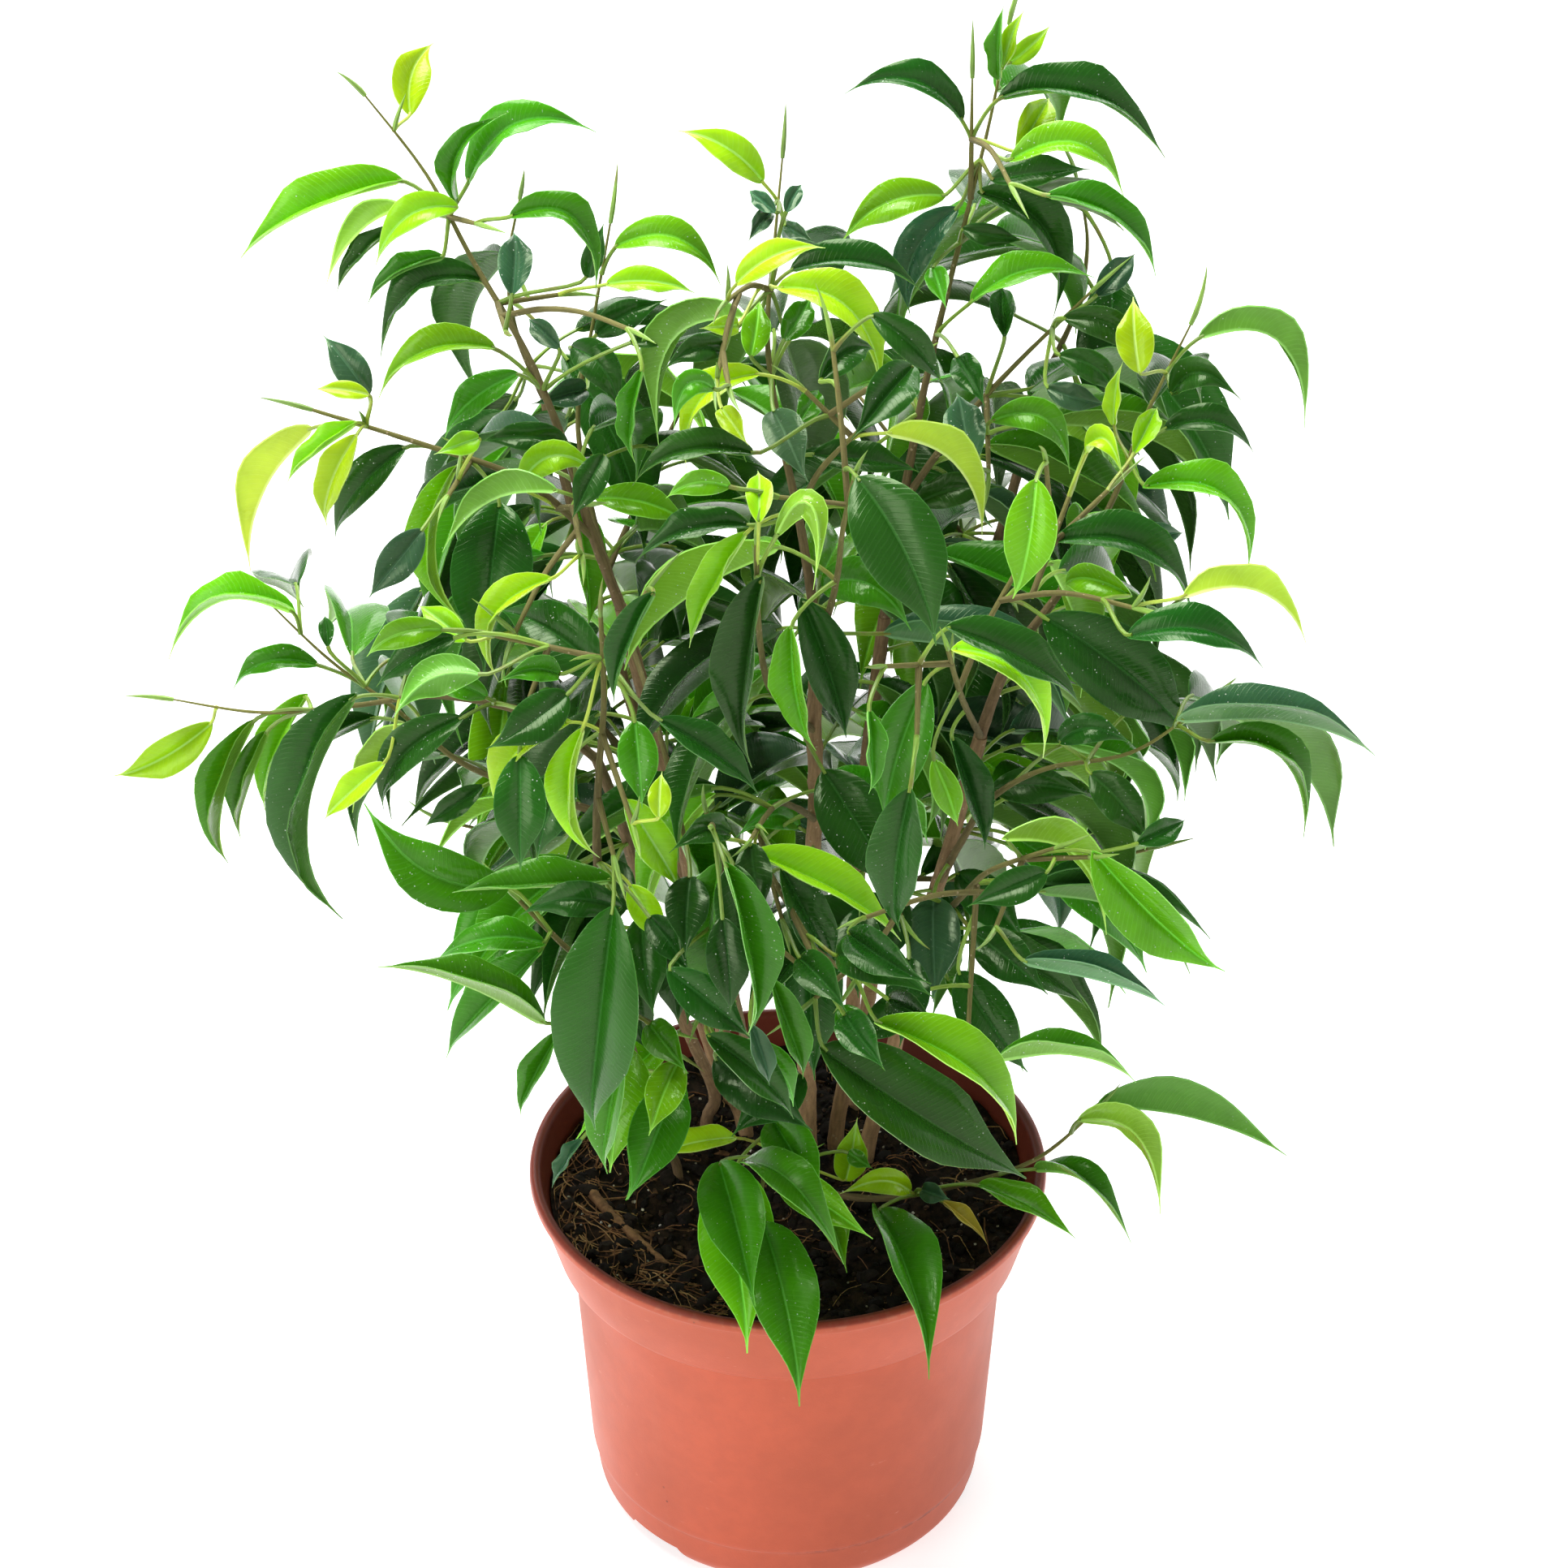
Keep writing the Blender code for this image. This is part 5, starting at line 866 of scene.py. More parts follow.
# Colours, in sRGB levels
TONES = {
    "dark": (29, 77, 17),
    "deep": (28, 88, 8),
    "mid": (58, 128, 10),
    "bright": (98, 166, 12),
    "lime": (152, 198, 16),
    # grey: dark old leaves whose bluish grey is partly a painted grazing sheen
    "grey": (50, 86, 56),
    # inner: painted shade, a darker green for leaves deep in the crown where shade falls
    "inner": (24, 61, 16),
    "yellow": (206, 190, 62),
}
UNDER_TONES = {
    "dark": (76, 120, 46),
    "deep": (84, 132, 44),
    "mid": (98, 150, 50),
    "bright": (128, 180, 48),
    "lime": (172, 208, 60),
    "grey": (88, 122, 76),
    # inner: painted shade, darker under faces for leaves deep in the crown
    "inner": (52, 90, 34),
    "yellow": (200, 190, 90),
}
YOUNG = ("lime",)
# Tones of the filling leaves; inner is painted shade for leaves deep in the crown, and the grey tone is
# partly a painted sheen
FILL_TONES = ("dark", "dark", "inner", "inner", "mid", "mid", "grey", "bright")
TONE_SPREAD = 0.13
BARK_TONES = ((0.3, (122, 122, 54)), (0.7, (104, 94, 54)), (1.2, (122, 98, 68)), (2.0, (166, 130, 90)))
WOOD_SLIMNESS = 0.9
SLIM_TRUNKS = {"leafy_stem_front_left": 0.62, "leafy_stem_front": 0.62, "leafy_stem_left": 0.78}
BRANCH_SLIMNESS = 0.75
TWIG_SLIMNESS = 0.68
STALK_OLD = (118, 150, 50)
STALK_YOUNG = (166, 188, 66)
SPIKE_TONE = (124, 160, 66)
SHARP_EDGE = math.radians(50.0)

# Marks on a leaf, in millimetres from its midrib or its edge, each from full to gone, and
# its side veins: how they slant and wander, radians between them for each millimetre, the
# waves' heights that show, and the half widths of the blade from which they show
MIDRIB_EDGE = (0.16, 0.46)
MIDRIB_WOBBLE = 0.12
RIM_EDGE = (0.06, 0.28)
VEIN_SLANT = -0.62
VEIN_WOBBLE = 1.2
VEIN_TURN = 5.2
VEIN_EDGE = (0.55, 1.0)
VEINED_WIDTH = (1.5, 4.0)
DUST_COLOUR = (0.62, 0.68, 0.6)

# Marks on the pot: the heights between which each comes and goes, in millimetres, how far
# across the line above the base band grows stronger, and the depth of the painted shade inside.
# The dark edge along the lip and the darker inner wall are painted shade.
LIP_DUST = (88.5, 91.2)
# Painted shade: the dark line along the lip's top edge, where the inner wall shades it
LIP_PAINTED_SHADE = (89.8, 90.5)
BAND_LINE = ((10.5, 11.0), (12.0, 12.4))
BAND_LINE_ACROSS = (-6.0, 20.0)
# Painted shade: the inner wall above the soil is darkened, as shade inside the pot
PAINTED_INNER_SHADE_DEPTH = (0.6, 1.0)
PAINTED_INNER_SHADE_FROM = (73.5, 74.5)

# The studio: the floor's size, the world's brightness (the heights on the unit sphere
# between which it fades, and from what to what), and the lamps: place and aim, in metres,
# width and height, and watts
FLOOR_SIZE = 14.0
WORLD_FADE = (0.20, 0.36, 1.0, 0.27)
LAMPS = {
    "lamp_above": ((-0.25, 0.15, 1.2), (0.0, 0.0, 0.2), (0.7, 0.7), 20.5),
    "lamp_behind": ((0.1, 1.5, 1.1), (0.0, 1.0, 0.0), (1.6, 1.0), 22.0),
    "lamp_left": ((-1.1, -0.9, 0.7), (0.0, 0.0, 0.15), (0.7, 0.9), 7.0),
    "lamp_right": ((1.2, -0.5, 0.6), (0.0, 0.0, 0.15), (0.5, 0.9), 1.0),
}


def metres(sizes):
    return [size * MM for size in sizes]


def linear(levels):
    """An sRGB colour, as levels to 255, in the linear values that shaders take."""
    shares = [c / 255.0 for c in levels]
    return tuple(s / 12.92 if s <= 0.04045 else ((s + 0.055) / 1.055) ** 2.4 for s in shares)


def shaded(tint, spread, draw):
    """A colour with its alpha, a little lighter or darker by chance."""
    shade = 1.0 + draw.gauss(0.0, spread)
    return (*(c * shade for c in tint), 1.0)


def unit(vector):
    return vector / max(float(np.linalg.norm(vector)), 1e-12)


def ray(across, down):
    """Direction, with no unit length, in which the view shows this pixel."""
    right = (across - VIEW_MIDDLE) / VIEW_PIXELS
    up = (VIEW_MIDDLE - down) / VIEW_PIXELS
    sine, cosine = math.sin(VIEW_DOWN), math.cos(VIEW_DOWN)
    return np.array((right, cosine + up * sine, -sine + up * cosine))


def seen(across, down, toward):
    """The point this far in front of the pot's middle that the view shows at this pixel."""
    direction = ray(across, down)
    return VIEW_PLACE + direction * ((-toward - VIEW_Y) / direction[1])


def pixel(point):
    """(across, down, distance) of a point in the view."""
    offset = np.asarray(point) - VIEW_PLACE
    sine, cosine = math.sin(VIEW_DOWN), math.cos(VIEW_DOWN)
    distance = offset[1] * cosine - offset[2] * sine
    up = offset[1] * sine + offset[2] * cosine
    return np.array(
        (
            VIEW_MIDDLE + VIEW_PIXELS * offset[0] / distance,
            VIEW_MIDDLE - VIEW_PIXELS * up / distance,
            distance,
        )
    )


def crown_front(across, down):
    """How far the crown's front lies in front of the pot's middle at this pixel."""
    direction = ray(across, down) / CROWN_RADII
    start = (VIEW_PLACE - CROWN_MIDDLE) / CROWN_RADII
    nearest = -(start @ direction) / (direction @ direction)
    miss = start + direction * nearest
    inside = max(0.0, 1.0 - miss @ miss)
    entry = nearest - math.sqrt(inside / (direction @ direction))
    return -(VIEW_Y + ray(across, down)[1] * entry)


def pot_wall():
    """Outer outline of the pot, from the lip down, as (radius, height)."""
    collar_foot = POT_HEIGHT - COLLAR_HEIGHT
    return (
        (RIM_RADIUS - LIP_ROUNDING, POT_HEIGHT),
        (RIM_RADIUS, POT_HEIGHT - LIP_HEIGHT),
        (RIM_RADIUS - LIP_DEPTH, POT_HEIGHT - LIP_HEIGHT - LIP_UNDERCUT),
        (COLLAR_FOOT_RADIUS, collar_foot),
        (BODY_TOP_RADIUS, collar_foot - COLLAR_STEP),
        (BAND_RADIUS, BAND_HEIGHT),
        (BAND_RADIUS - BAND_STEP, BAND_HEIGHT - BAND_STEP),
        (BASE_CURVE_RADIUS, BASE_CURVE_HEIGHT),
        (BASE_RADIUS, 0.0),
    )


def pot_inside():
    """Inner outline of the pot, from the floor's edge up, as (radius, height)."""
    collar_foot = POT_HEIGHT - COLLAR_HEIGHT
    return (
        (BASE_RADIUS - WALL, FLOOR),
        (BASE_CURVE_RADIUS - WALL, FLOOR + BASE_CURVE_HEIGHT),
        (BODY_TOP_RADIUS - WALL, collar_foot - INSIDE_STEP[0]),
        (COLLAR_FOOT_RADIUS - WALL, collar_foot - INSIDE_STEP[1]),
        (RIM_RADIUS - LIP_DEPTH - WALL, POT_HEIGHT),
    )


def inner_radius(height):
    radii, heights = zip(*pot_inside())
    return float(np.interp(height, heights, radii))


def soil_level():
    return POT_HEIGHT - SOIL_BELOW_RIM


def soil_edge():
    return inner_radius(soil_level()) - SOIL_GAP


def soil_bump(x, y):
    """Height of the soil's loose surface over its level, in millimetres."""
    waves = [share * math.sin(x * a + y * b + start) for share, a, b, start in SOIL_WAVES]
    return SOIL_BUMP * sum(waves)


def on_soil(across, down):
    """(x, y) where the view shows the soil's level at this pixel."""
    direction = ray(across, down)
    reach = (soil_level() - VIEW_Z) / direction[2]
    return VIEW_X + direction[0] * reach, VIEW_Y + direction[1] * reach


def distances(line):
    """How far along a line each of its points is."""
    steps = np.linalg.norm(np.diff(line, axis=0), axis=1)
    return np.concatenate([[0.0], np.cumsum(steps)])


def smooth_line(points, radii, step):
    """Points about this far apart on a smooth curve through these, with their radii."""
    points = [np.asarray(p, float) for p in points]
    fine = []
    for i in range(len(points) - 1):
        before, a, b = points[max(i - 1, 0)], points[i], points[i + 1]
        after = points[min(i + 2, len(points) - 1)]
        for t in np.arange(FINE_STEPS) / FINE_STEPS:
            square, cube = t * t, t * t * t
            fine.append(
                0.5 * (2 * a + (b - before) * t)
                + 0.5 * (2 * before - 5 * a + 4 * b - after) * square
                + 0.5 * (3 * a - before - 3 * b + after) * cube
            )
    fine = np.array([*fine, points[-1]])
    gone = distances(fine)
    count = max(1, round(gone[-1] / step))
    places = np.linspace(0.0, gone[-1], count + 1)
    line = np.stack([np.interp(places, gone, fine[:, k]) for k in range(3)], axis=1)
    return list(line), list(np.linspace(radii[0], radii[1], count + 1))


def bearers(line):
    """The places on a twig or branch where leaf stalks can start."""
    return [(a + b) / 2 for a, b in zip(line, line[1:])]


def branch_lines():
    """(stem, points, radii, leafy) of every trunk and branch."""
    lines = []
    for stem, (foot, points, thick, thin) in TRUNKS.items():
        lines.append((stem, on_soil(*foot), [seen(*p) for p in points], (thick, thin)))
    for stem, (foot, points, thick, thin) in BACK_TRUNKS.items():
        lines.append((stem, foot, [np.array(p) for p in points], (thick, thin)))
    done = []
    for stem, (x, y), points, radii in lines:
        low = soil_level() - HOLE_DEPTH + SOIL_GAP
        straight = [np.array((x, y, low)), np.array((x, y, soil_level() + STRAIGHT_ABOVE_SOIL))]
        line, sizes = smooth_line([straight[1], *points], radii, BRANCH_STEP)
        done.append((stem, [straight[0], *line], [radii[0], *sizes], False))
    for stem, points, thick, thin in BRANCHES:
        line, sizes = smooth_line([seen(*p) for p in points], (thick, thin), BRANCH_STEP)
        done.append((stem, line, sizes, True))
    for stem, points, thick, thin in BACK_BRANCHES:
        line, sizes = smooth_line(points, (thick, thin), BRANCH_STEP)
        done.append((stem, line, sizes, True))
    return done


class Leaf:
    """One leaf: its stalk's root on a twig, and its blade's foot, arch, tip and upper face."""

    def __init__(self, stem, foot, arch, tip, face, width, tone):
        self.stem, self.foot, self.arch, self.tip = stem, foot, arch, tip
        self.face, self.width, self.tone = face, width, tone
        self.root = foot
        first = float(np.linalg.norm(arch - foot))
        second = float(np.linalg.norm(tip - arch))
        self.bend = min(BEND_PLACES[1], max(BEND_PLACES[0], first / (first + second)))

    def at(self, t):
        """The blade's middle line, a parabola through its foot, arch and tip."""
        b = self.bend
        return (
            self.foot * (t - b) * (t - 1.0) / b
            + self.arch * t * (t - 1.0) / (b * (b - 1.0))
            + self.tip * t * (t - b) / (1.0 - b)
        )

    def axes(self, t):
        """Unit vectors across the blade and out of its upper face."""
        along = unit(self.at(min(1.0, t + ALONG_STEP)) - self.at(max(0.0, t - ALONG_STEP)))
        out = unit(self.face - along * float(self.face @ along))
        return np.cross(along, out), out


def leaf_mesh(leaf, grow=0.0):
    """Points and triangles of one leaf, with its stalk: a folded lens in section."""
    young = leaf.tone in YOUNG_TONES
    thick = (YOUNG_HALF_THICKNESS if young else OLD_HALF_THICKNESS) + grow

    small = PETIOLE_RADIUS + grow
    points = []
    across, out = leaf.axes(0.0)
    stalk = unit(leaf.foot - leaf.root)
    ends = [(leaf.root, across, out), (leaf.foot, across, out)]
    if float(stalk @ np.cross(out, across)) < SHARPEST_STALK:
        root_across = unit(across - stalk * float(across @ stalk))
        ends[0] = (leaf.root, root_across, np.cross(root_across, stalk))
    for middle, side, up in ends:
        points += [middle + small * (up * 0.5 - side), middle + small * (up * 0.5 + side)]
        points.append(middle - small * up)
    for place, width in zip(BLADE_PLACES, BLADE_WIDTHS):
        across, out = leaf.axes(place)
        half = leaf.width / 2 * width + grow
        side, rise = across * half * math.cos(BLADE_FOLD), out * half * math.sin(BLADE_FOLD)
        middle = leaf.at(place)
        points += [middle - side + rise, middle + out * thick]
        points += [middle + side + rise, middle - out * thick]
    points.append(leaf.at(1.0))
    faces = [(0, 2, 1), (0, 1, 4), (0, 4, 3), (1, 2, 5), (1, 5, 4), (2, 0, 3), (2, 3, 5)]
    faces += [(3, 7, 6), (3, 4, 7), (4, 8, 7), (4, 5, 8), (5, 9, 8), (5, 3, 9), (3, 6, 9)]
    for row in range(len(BLADE_PLACES) - 1):
        left, top, right, under = (6 + 4 * row + k for k in range(4))
        left2, top2, right2, under2 = (k + 4 for k in (left, top, right, under))
        faces += [(top, left2, left), (top, top2, left2)]
        faces += [(right, right2, top), (top, right2, top2)]
        faces += [(left, left2, under), (under, left2, under2)]
        faces += [(under, right2, right), (under, under2, right2)]
    left, top, right, under = (4 * len(BLADE_PLACES) + 2 + k for k in range(4))
    end = 4 * len(BLADE_PLACES) + 6
    faces += [(left, top, end), (top, right, end), (right, under, end), (under, left, end)]
    return np.array(points), faces


def ring_faces(rings, sides):
    """Quads between neighbouring rings of points."""
    faces = []
    for i in range(rings - 1):
        for k in range(sides):
            a, b = sides * i + k, sides * i + (k + 1) % sides
            faces.append((a, b, b + sides, a + sides))
    return faces


def halved(quads):
    return [half for a, b, c, d in quads for half in ((a, b, c), (a, c, d))]


def tube_mesh(line, radii, sides=5):
    """A plain tube round a line, for telling what crosses what."""
    points = []
    for i, (middle, radius) in enumerate(zip(line, radii)):
        along = unit(line[min(i + 1, len(line) - 1)] - line[max(i - 1, 0)])
        across = unit(np.cross(along, ASLANT))
        other = np.cross(along, across)
        for k in range(sides):
            turn = 2 * math.pi * k / sides
            points.append(middle + radius * (across * math.cos(turn) + other * math.sin(turn)))
    return np.array(points), halved(ring_faces(len(line), sides))


def barrier_mesh():
    """The pot and soil as a plain cup with a lid, which leaves keep clear of."""
    lid, top = soil_level() + SOIL_CLEARANCE, POT_HEIGHT + POT_CLEARANCE
    collar_foot = POT_HEIGHT - COLLAR_HEIGHT
    outline = [(0.0, lid), (inner_radius(lid), lid), (RIM_RADIUS - LIP_DEPTH - WALL, top)]
    outline += [(RIM_RADIUS + POT_CLEARANCE, top)]
    outline += [(COLLAR_FOOT_RADIUS + POT_CLEARANCE, collar_foot), (BASE_RADIUS, 0.0)]
    points = []
    for radius, height in outline:
        for k in range(BARRIER_SIDES):
            turn = 2 * math.pi * k / BARRIER_SIDES
            points.append((radius * math.cos(turn), radius * math.sin(turn), height))
    return np.array(points), halved(ring_faces(len(outline), BARRIER_SIDES))


class Thicket:
    """What has grown so far, so that nothing new crosses another stem."""

    def __init__(self):
        self.trees, self.stems, self.lows, self.highs = [], [], [], []
        self.nodes, self.branch_pixels = {}, {}
        self.twigs, self.leaves = [], []

    def add(self, stem, points, faces):
        self.trees.append(BVHTree.FromPolygons(points.tolist(), faces))
        self.stems.append(stem)
        self.lows.append(points.min(axis=0))
        self.highs.append(points.max(axis=0))

    def crossed(self, points, faces):
        """The stems that these triangles cross."""
        low, high = points.min(axis=0), points.max(axis=0)
        near = (np.array(self.lows) <= high).all(axis=1)
        near &= (np.array(self.highs) >= low).all(axis=1)
        tree = BVHTree.FromPolygons(points.tolist(), faces)
        return {self.stems[i] for i in np.flatnonzero(near) if tree.overlap(self.trees[i])}

    def bearer(self, leaf):
        """The twig point of this stem that best bears a leaf: near its foot, and behind it."""
        ahead = unit(leaf.at(STALK_AIM) - leaf.foot)
        known = np.array(self.nodes[leaf.stem])
        ways = leaf.foot - known
        gaps = np.linalg.norm(ways, axis=1) + 1e-9
        turned_away = 1.0 - (ways @ ahead) / gaps
        cost = gaps + TURN_COST * turned_away + NEAR_COST * (gaps < NEAREST_BEARER)
        return known[int(np.argmin(cost))]

    def link(self, leaf):
        """The twig that a leaf needs, as points and radii, after its stalk's root is set."""
        start = self.bearer(leaf)
        gap = float(np.linalg.norm(start - leaf.foot))
        if gap <= LONGEST_PETIOLE:
            leaf.root = start
            return [], []
        ahead = unit(leaf.at(STALK_AIM) - leaf.foot)
        way = unit(ahead + AWAY_FROM_TWIG * unit(leaf.foot - start))
        end = leaf.foot - way * PETIOLE_LENGTH * STALK_ON_TWIG
        leaf.root = end
        middle = (start + end) / 2 + np.array((0.0, 0.0, TWIG_RISE * gap))
        radii = [TWIG_RADIUS * share for share in TWIG_TAPER]
        return smooth_line([start, middle, end], radii, TWIG_STEP)

    def fits(self, leaf):
        """(no other stem is crossed, nothing of its own stem is crossed, twig) of a leaf.

        The first three points are the stalk's root, which sinks into its own stem.
        """
        line, radii = self.link(leaf)
        points, faces = leaf_mesh(leaf, CLEAR)
        hit = self.crossed(points[3:], [tuple(k - 3 for k in f) for f in faces if min(f) >= 3])
        own = leaf.stem in hit
        hit |= self.crossed(points, faces)
        if line:
            hit |= self.crossed(*tube_mesh(line, [r + CLEAR for r in radii]))
        return not hit - {leaf.stem}, not own, (line, radii)

    def keep(self, leaf, twig):
        line, radii = twig
        if line:
            self.twigs.append((leaf.stem, line, radii))
            self.add(leaf.stem, *tube_mesh(line, radii))
            self.nodes[leaf.stem].extend(bearers(line))
        self.add(leaf.stem, *leaf_mesh(leaf))
        self.leaves.append(leaf)


def front_leaf(thicket, stem, row, shift):
    """A leaf as the view shows it, this much nearer the view than its row says."""
    foot, arch, tip, wide, tone, behind = row
    if arch:
        top, chord_middle = np.array(arch), (np.array(foot) + np.array(tip)) / 2
        drop = min(ARCH_EDGE * wide, FURTHEST_DROP * math.dist(top, chord_middle))
        arch = tuple(top + drop * unit(chord_middle - top))
    if isinstance(behind, tuple):
        start, end = behind[0] + shift, behind[1] + shift
        reach = None
    else:
        start = foot_distance(thicket, stem, foot, behind) + shift
        end, reach = start, 1.0 if tip[1] > foot[1] else -1.0
    size = pixel(seen(*foot, start))[2] / VIEW_PIXELS
    chord = math.dist(foot, tip) * size
    showing = wide * size
    length = max(LENGTH_TO_CHORD * chord, LENGTH_TO_WIDTH * showing)
    if reach:
        slanting = math.sqrt(max(0.0, length**2 - (LENGTH_TO_CHORD * chord) ** 2))
        end += reach * min(FURTHEST_REACH, slanting)
    foot_point, tip_point = seen(*foot, start), seen(*tip, end)
    length = float(np.linalg.norm(tip_point - foot_point))
    width = max(showing, NARROWEST * length)
    lean = math.acos(min(1.0, max(LEAST_FACING, showing / width)))
    along = unit(tip_point - foot_point)
    to_view = unit(-ray((foot[0] + tip[0]) / 2, (foot[1] + tip[1]) / 2))
    facing = unit(to_view - along * float(to_view @ along))
    across = np.cross(facing, along)
    middle = (foot_point + tip_point) / 2
    under = tone.endswith("under")
    sign = -1.0 if under else 1.0
    if arch:
        bulge = seen(*arch, (start + end) / 2) - middle
        turn = 1.0 if float(bulge @ across) > 0 else -1.0
    else:
        turn = 1.0 if across[2] > 0 else -1.0
    face = unit(sign * facing * math.cos(lean) + turn * across * math.sin(lean))
    if arch:
        raised = float(np.linalg.norm(bulge)) * ARCH_RISE[0] + ARCH_RISE[1] * length
        raised = min(HIGHEST_ARCH * length, raised)
        arch_point = seen(*arch, (start + end) / 2 + sign * raised * math.cos(lean))
    else:
        arch_point = middle + face * FLAT_LEAF_ARCH * length
    return Leaf(stem, foot_point, arch_point, tip_point, face, width, tone)


def foot_distance(thicket, stem, foot, behind):
    """How far in front of the pot's middle a leaf's foot is: on a branch, or on the crown."""
    crown = crown_front(*foot) - FOOT_BEHIND_CROWN - behind
    gap, branch = min(
        (math.dist(foot, place[:2]), place[2]) for place in thicket.branch_pixels[stem]
    )
    return float(np.interp(gap, ON_BRANCH_PIXELS, (branch, crown)))


def grow_front(thicket, leaves):
    """Leaves that the view shows, each moved until it crosses nothing, or left out."""
    for stem, rows in leaves.items():
        for row in rows:
            second = None
            for shift in SHIFTS:
                leaf = front_leaf(thicket, stem, row, shift)
                clear, alone, twig = thicket.fits(leaf)
                if clear and alone:
                    thicket.keep(leaf, twig)
                    break
                if clear and second is None:
                    second = (leaf, twig)
            else:
                if second:
                    thicket.keep(*second)


def fill_leaf(thicket, stem, draw):
    """A leaf somewhere on a stem's twigs, arching out and down."""
    start = thicket.nodes[stem][draw.randrange(len(thicket.nodes[stem]))]
    outward = math.atan2(start[1], start[0]) + draw.gauss(0.0, FILL_SPREAD)
    level = np.array((math.cos(outward), math.sin(outward), 0.0))
    rise = draw.uniform(*FILL_RISES)
    foot = start + PETIOLE_LENGTH * unit(level + np.array((0.0, 0.0, rise)))
    length = draw.uniform(*FILL_LENGTHS)
    droop = math.radians(draw.uniform(*FILL_DROOPS))
    chord = level * math.cos(droop) - np.array((0.0, 0.0, math.sin(droop)))
    tip = foot + FILL_CHORD * length * chord
    face = unit(np.array((0.0, 0.0, 1.0)) - chord * float(chord[2]))
    roll = draw.gauss(0.0, FILL_ROLL)
    face = unit(face * math.cos(roll) + np.cross(face, chord) * math.sin(roll))
    arch = foot + 0.5 * length * chord + face * length * draw.uniform(*FILL_ARCHES)
    return Leaf(stem, foot, arch, tip, face, length * draw.uniform(*FILL_WIDTHS), "dark")


def fill_allowed(leaf, front, lowest):
    """Whether a filling leaf stays in the crown and covers none of the front leaves."""
    places = [leaf.at(t) for t in FILL_AT]
    if min(p[2] for p in places) < lowest:
        return False
    for place in places:
        above = place[2] > CROWN_MIDDLE[2]
        if above and np.linalg.norm((place - CROWN_MIDDLE) / CROWN_RADII) > FILL_FURTHEST:
            return False
        if np.linalg.norm(place[:2] / CROWN_RADII[:2]) > FILL_FURTHEST:
            return False
    across = unit(np.cross(leaf.tip - leaf.foot, leaf.face)) * leaf.width / 2
    edges = [leaf.at(t) + side * across for t in FILL_EDGES_AT for side in (-1.0, 1.0)]
    for place in places + edges:
        shown = pixel(place)
        gaps = np.hypot(front[:, 0] - shown[0], front[:, 1] - shown[1])
        off_middle = (shown[:2] - DENSE_MIDDLE) / DENSE_RADII
        near = np.interp(shown[1], BACKED_ROWS, NEAR_FRONT_LEAF)
        if gaps.min() > (NEAR_IN_MIDDLE if off_middle @ off_middle < 1.0 else near):
            return False
        if (front[gaps < HIDES_FRONT_LEAF, 2] > shown[2] - HIDING_MARGIN).any():
            return False
    return True


def front_places(thicket):
    """Where the view shows the leaves that have grown so far, at places along each."""
    return np.array([pixel(leaf.at(t)) for leaf in thicket.leaves for t in FRONT_AT])


def hangs_among(leaf, places):
    """Whether a leaf's middle and end are near some of these places in space, if any are given."""
    if places is None:
        return True
    ends = [np.linalg.norm(places - leaf.at(t), axis=1).min() for t in MORE_NEAR_AT]
    behind = leaf.stem in BACK_TRUNKS
    return max(ends) < (MORE_NEAR_BEHIND if behind else MORE_NEAR)


def grow_fill(thicket, front, fill, seed, lowest, among=None):
    """Filling leaves, so many for each stem, hanging among some places. Returns them."""
    draw = random.Random(seed)
    before = len(thicket.leaves)
    for stem, wanted in fill.items():
        grown = 0
        for _ in range(wanted * FILL_TRIES):
            if grown == wanted:
                break
            leaf = fill_leaf(thicket, stem, draw)
            if not fill_allowed(leaf, front, lowest) or not hangs_among(leaf, among):
                continue
            clear, alone, twig = thicket.fits(leaf)
            if clear and alone:
                thicket.keep(leaf, twig)
                grown += 1
    return thicket.leaves[before:]


def in_open_place(leaf):
    """Whether the view shows a leaf at a place that stays open."""
    shown = [pixel(leaf.at(t))[:2] for t in SHOWN_AT]
    return any(math.dist(p, (x, y)) < radius for p in shown for x, y, radius in OPEN_PLACES)


def grow():
    """The whole plant: a thicket with its branches, twigs and leaves."""
    thicket = Thicket()
    thicket.add("pot", *barrier_mesh())
    for stem, line, radii, leafy in branch_lines():
        thicket.add(stem, *tube_mesh(line, radii))
        places = [pixel(p)[:2].tolist() + [-p[1]] for p in line]
        if leafy:
            thicket.branch_pixels.setdefault(stem, []).extend(places)
        above = [p for p in bearers(line) if p[2] > soil_level() + LOWEST_BEARER]
        thicket.nodes.setdefault(stem, []).extend(above)
    grow_front(thicket, LEAVES)
    front = front_places(thicket)
    filling = grow_fill(thicket, front, FILL, FILL_SEED, FILL_LOWEST)
    grow_front(thicket, LOW_LEAVES)
    among = np.array([leaf.at(t) for leaf in thicket.leaves for t in AMONG_AT])
    more = grow_fill(thicket, front, MORE_FILL, MORE_SEED, MORE_LOWEST, among)
    filling += more
    stray = {id(leaf) for leaf in more if in_open_place(leaf)}
    thicket.leaves = [leaf for leaf in thicket.leaves if id(leaf) not in stray]
    draw = random.Random(MORE_SEED)
    for leaf in filling:
        leaf.tone = draw.choice(FILL_TONES)
    return thicket


class Gathered:
    """The points and faces of one piece, with values at each point."""

    def __init__(self):
        self.points, self.faces, self.values = [], [], {}
        self.count = 0

    def add(self, points, faces, **values):
        points = np.asarray(points, float).reshape(-1, 3)
        self.points.append(points)
        self.faces.extend([[k + self.count for k in face] for face in faces])
        for name, value in values.items():
            value = np.asarray(value, float)
            if value.ndim == 1:
                value = np.tile(value, (len(points), 1))
            self.values.setdefault(name, []).append(value)
        self.count += len(points)


def linked(name, data):
    thing = bpy.data.objects.new(name, data)
    bpy.context.scene.collection.objects.link(thing)
    return thing


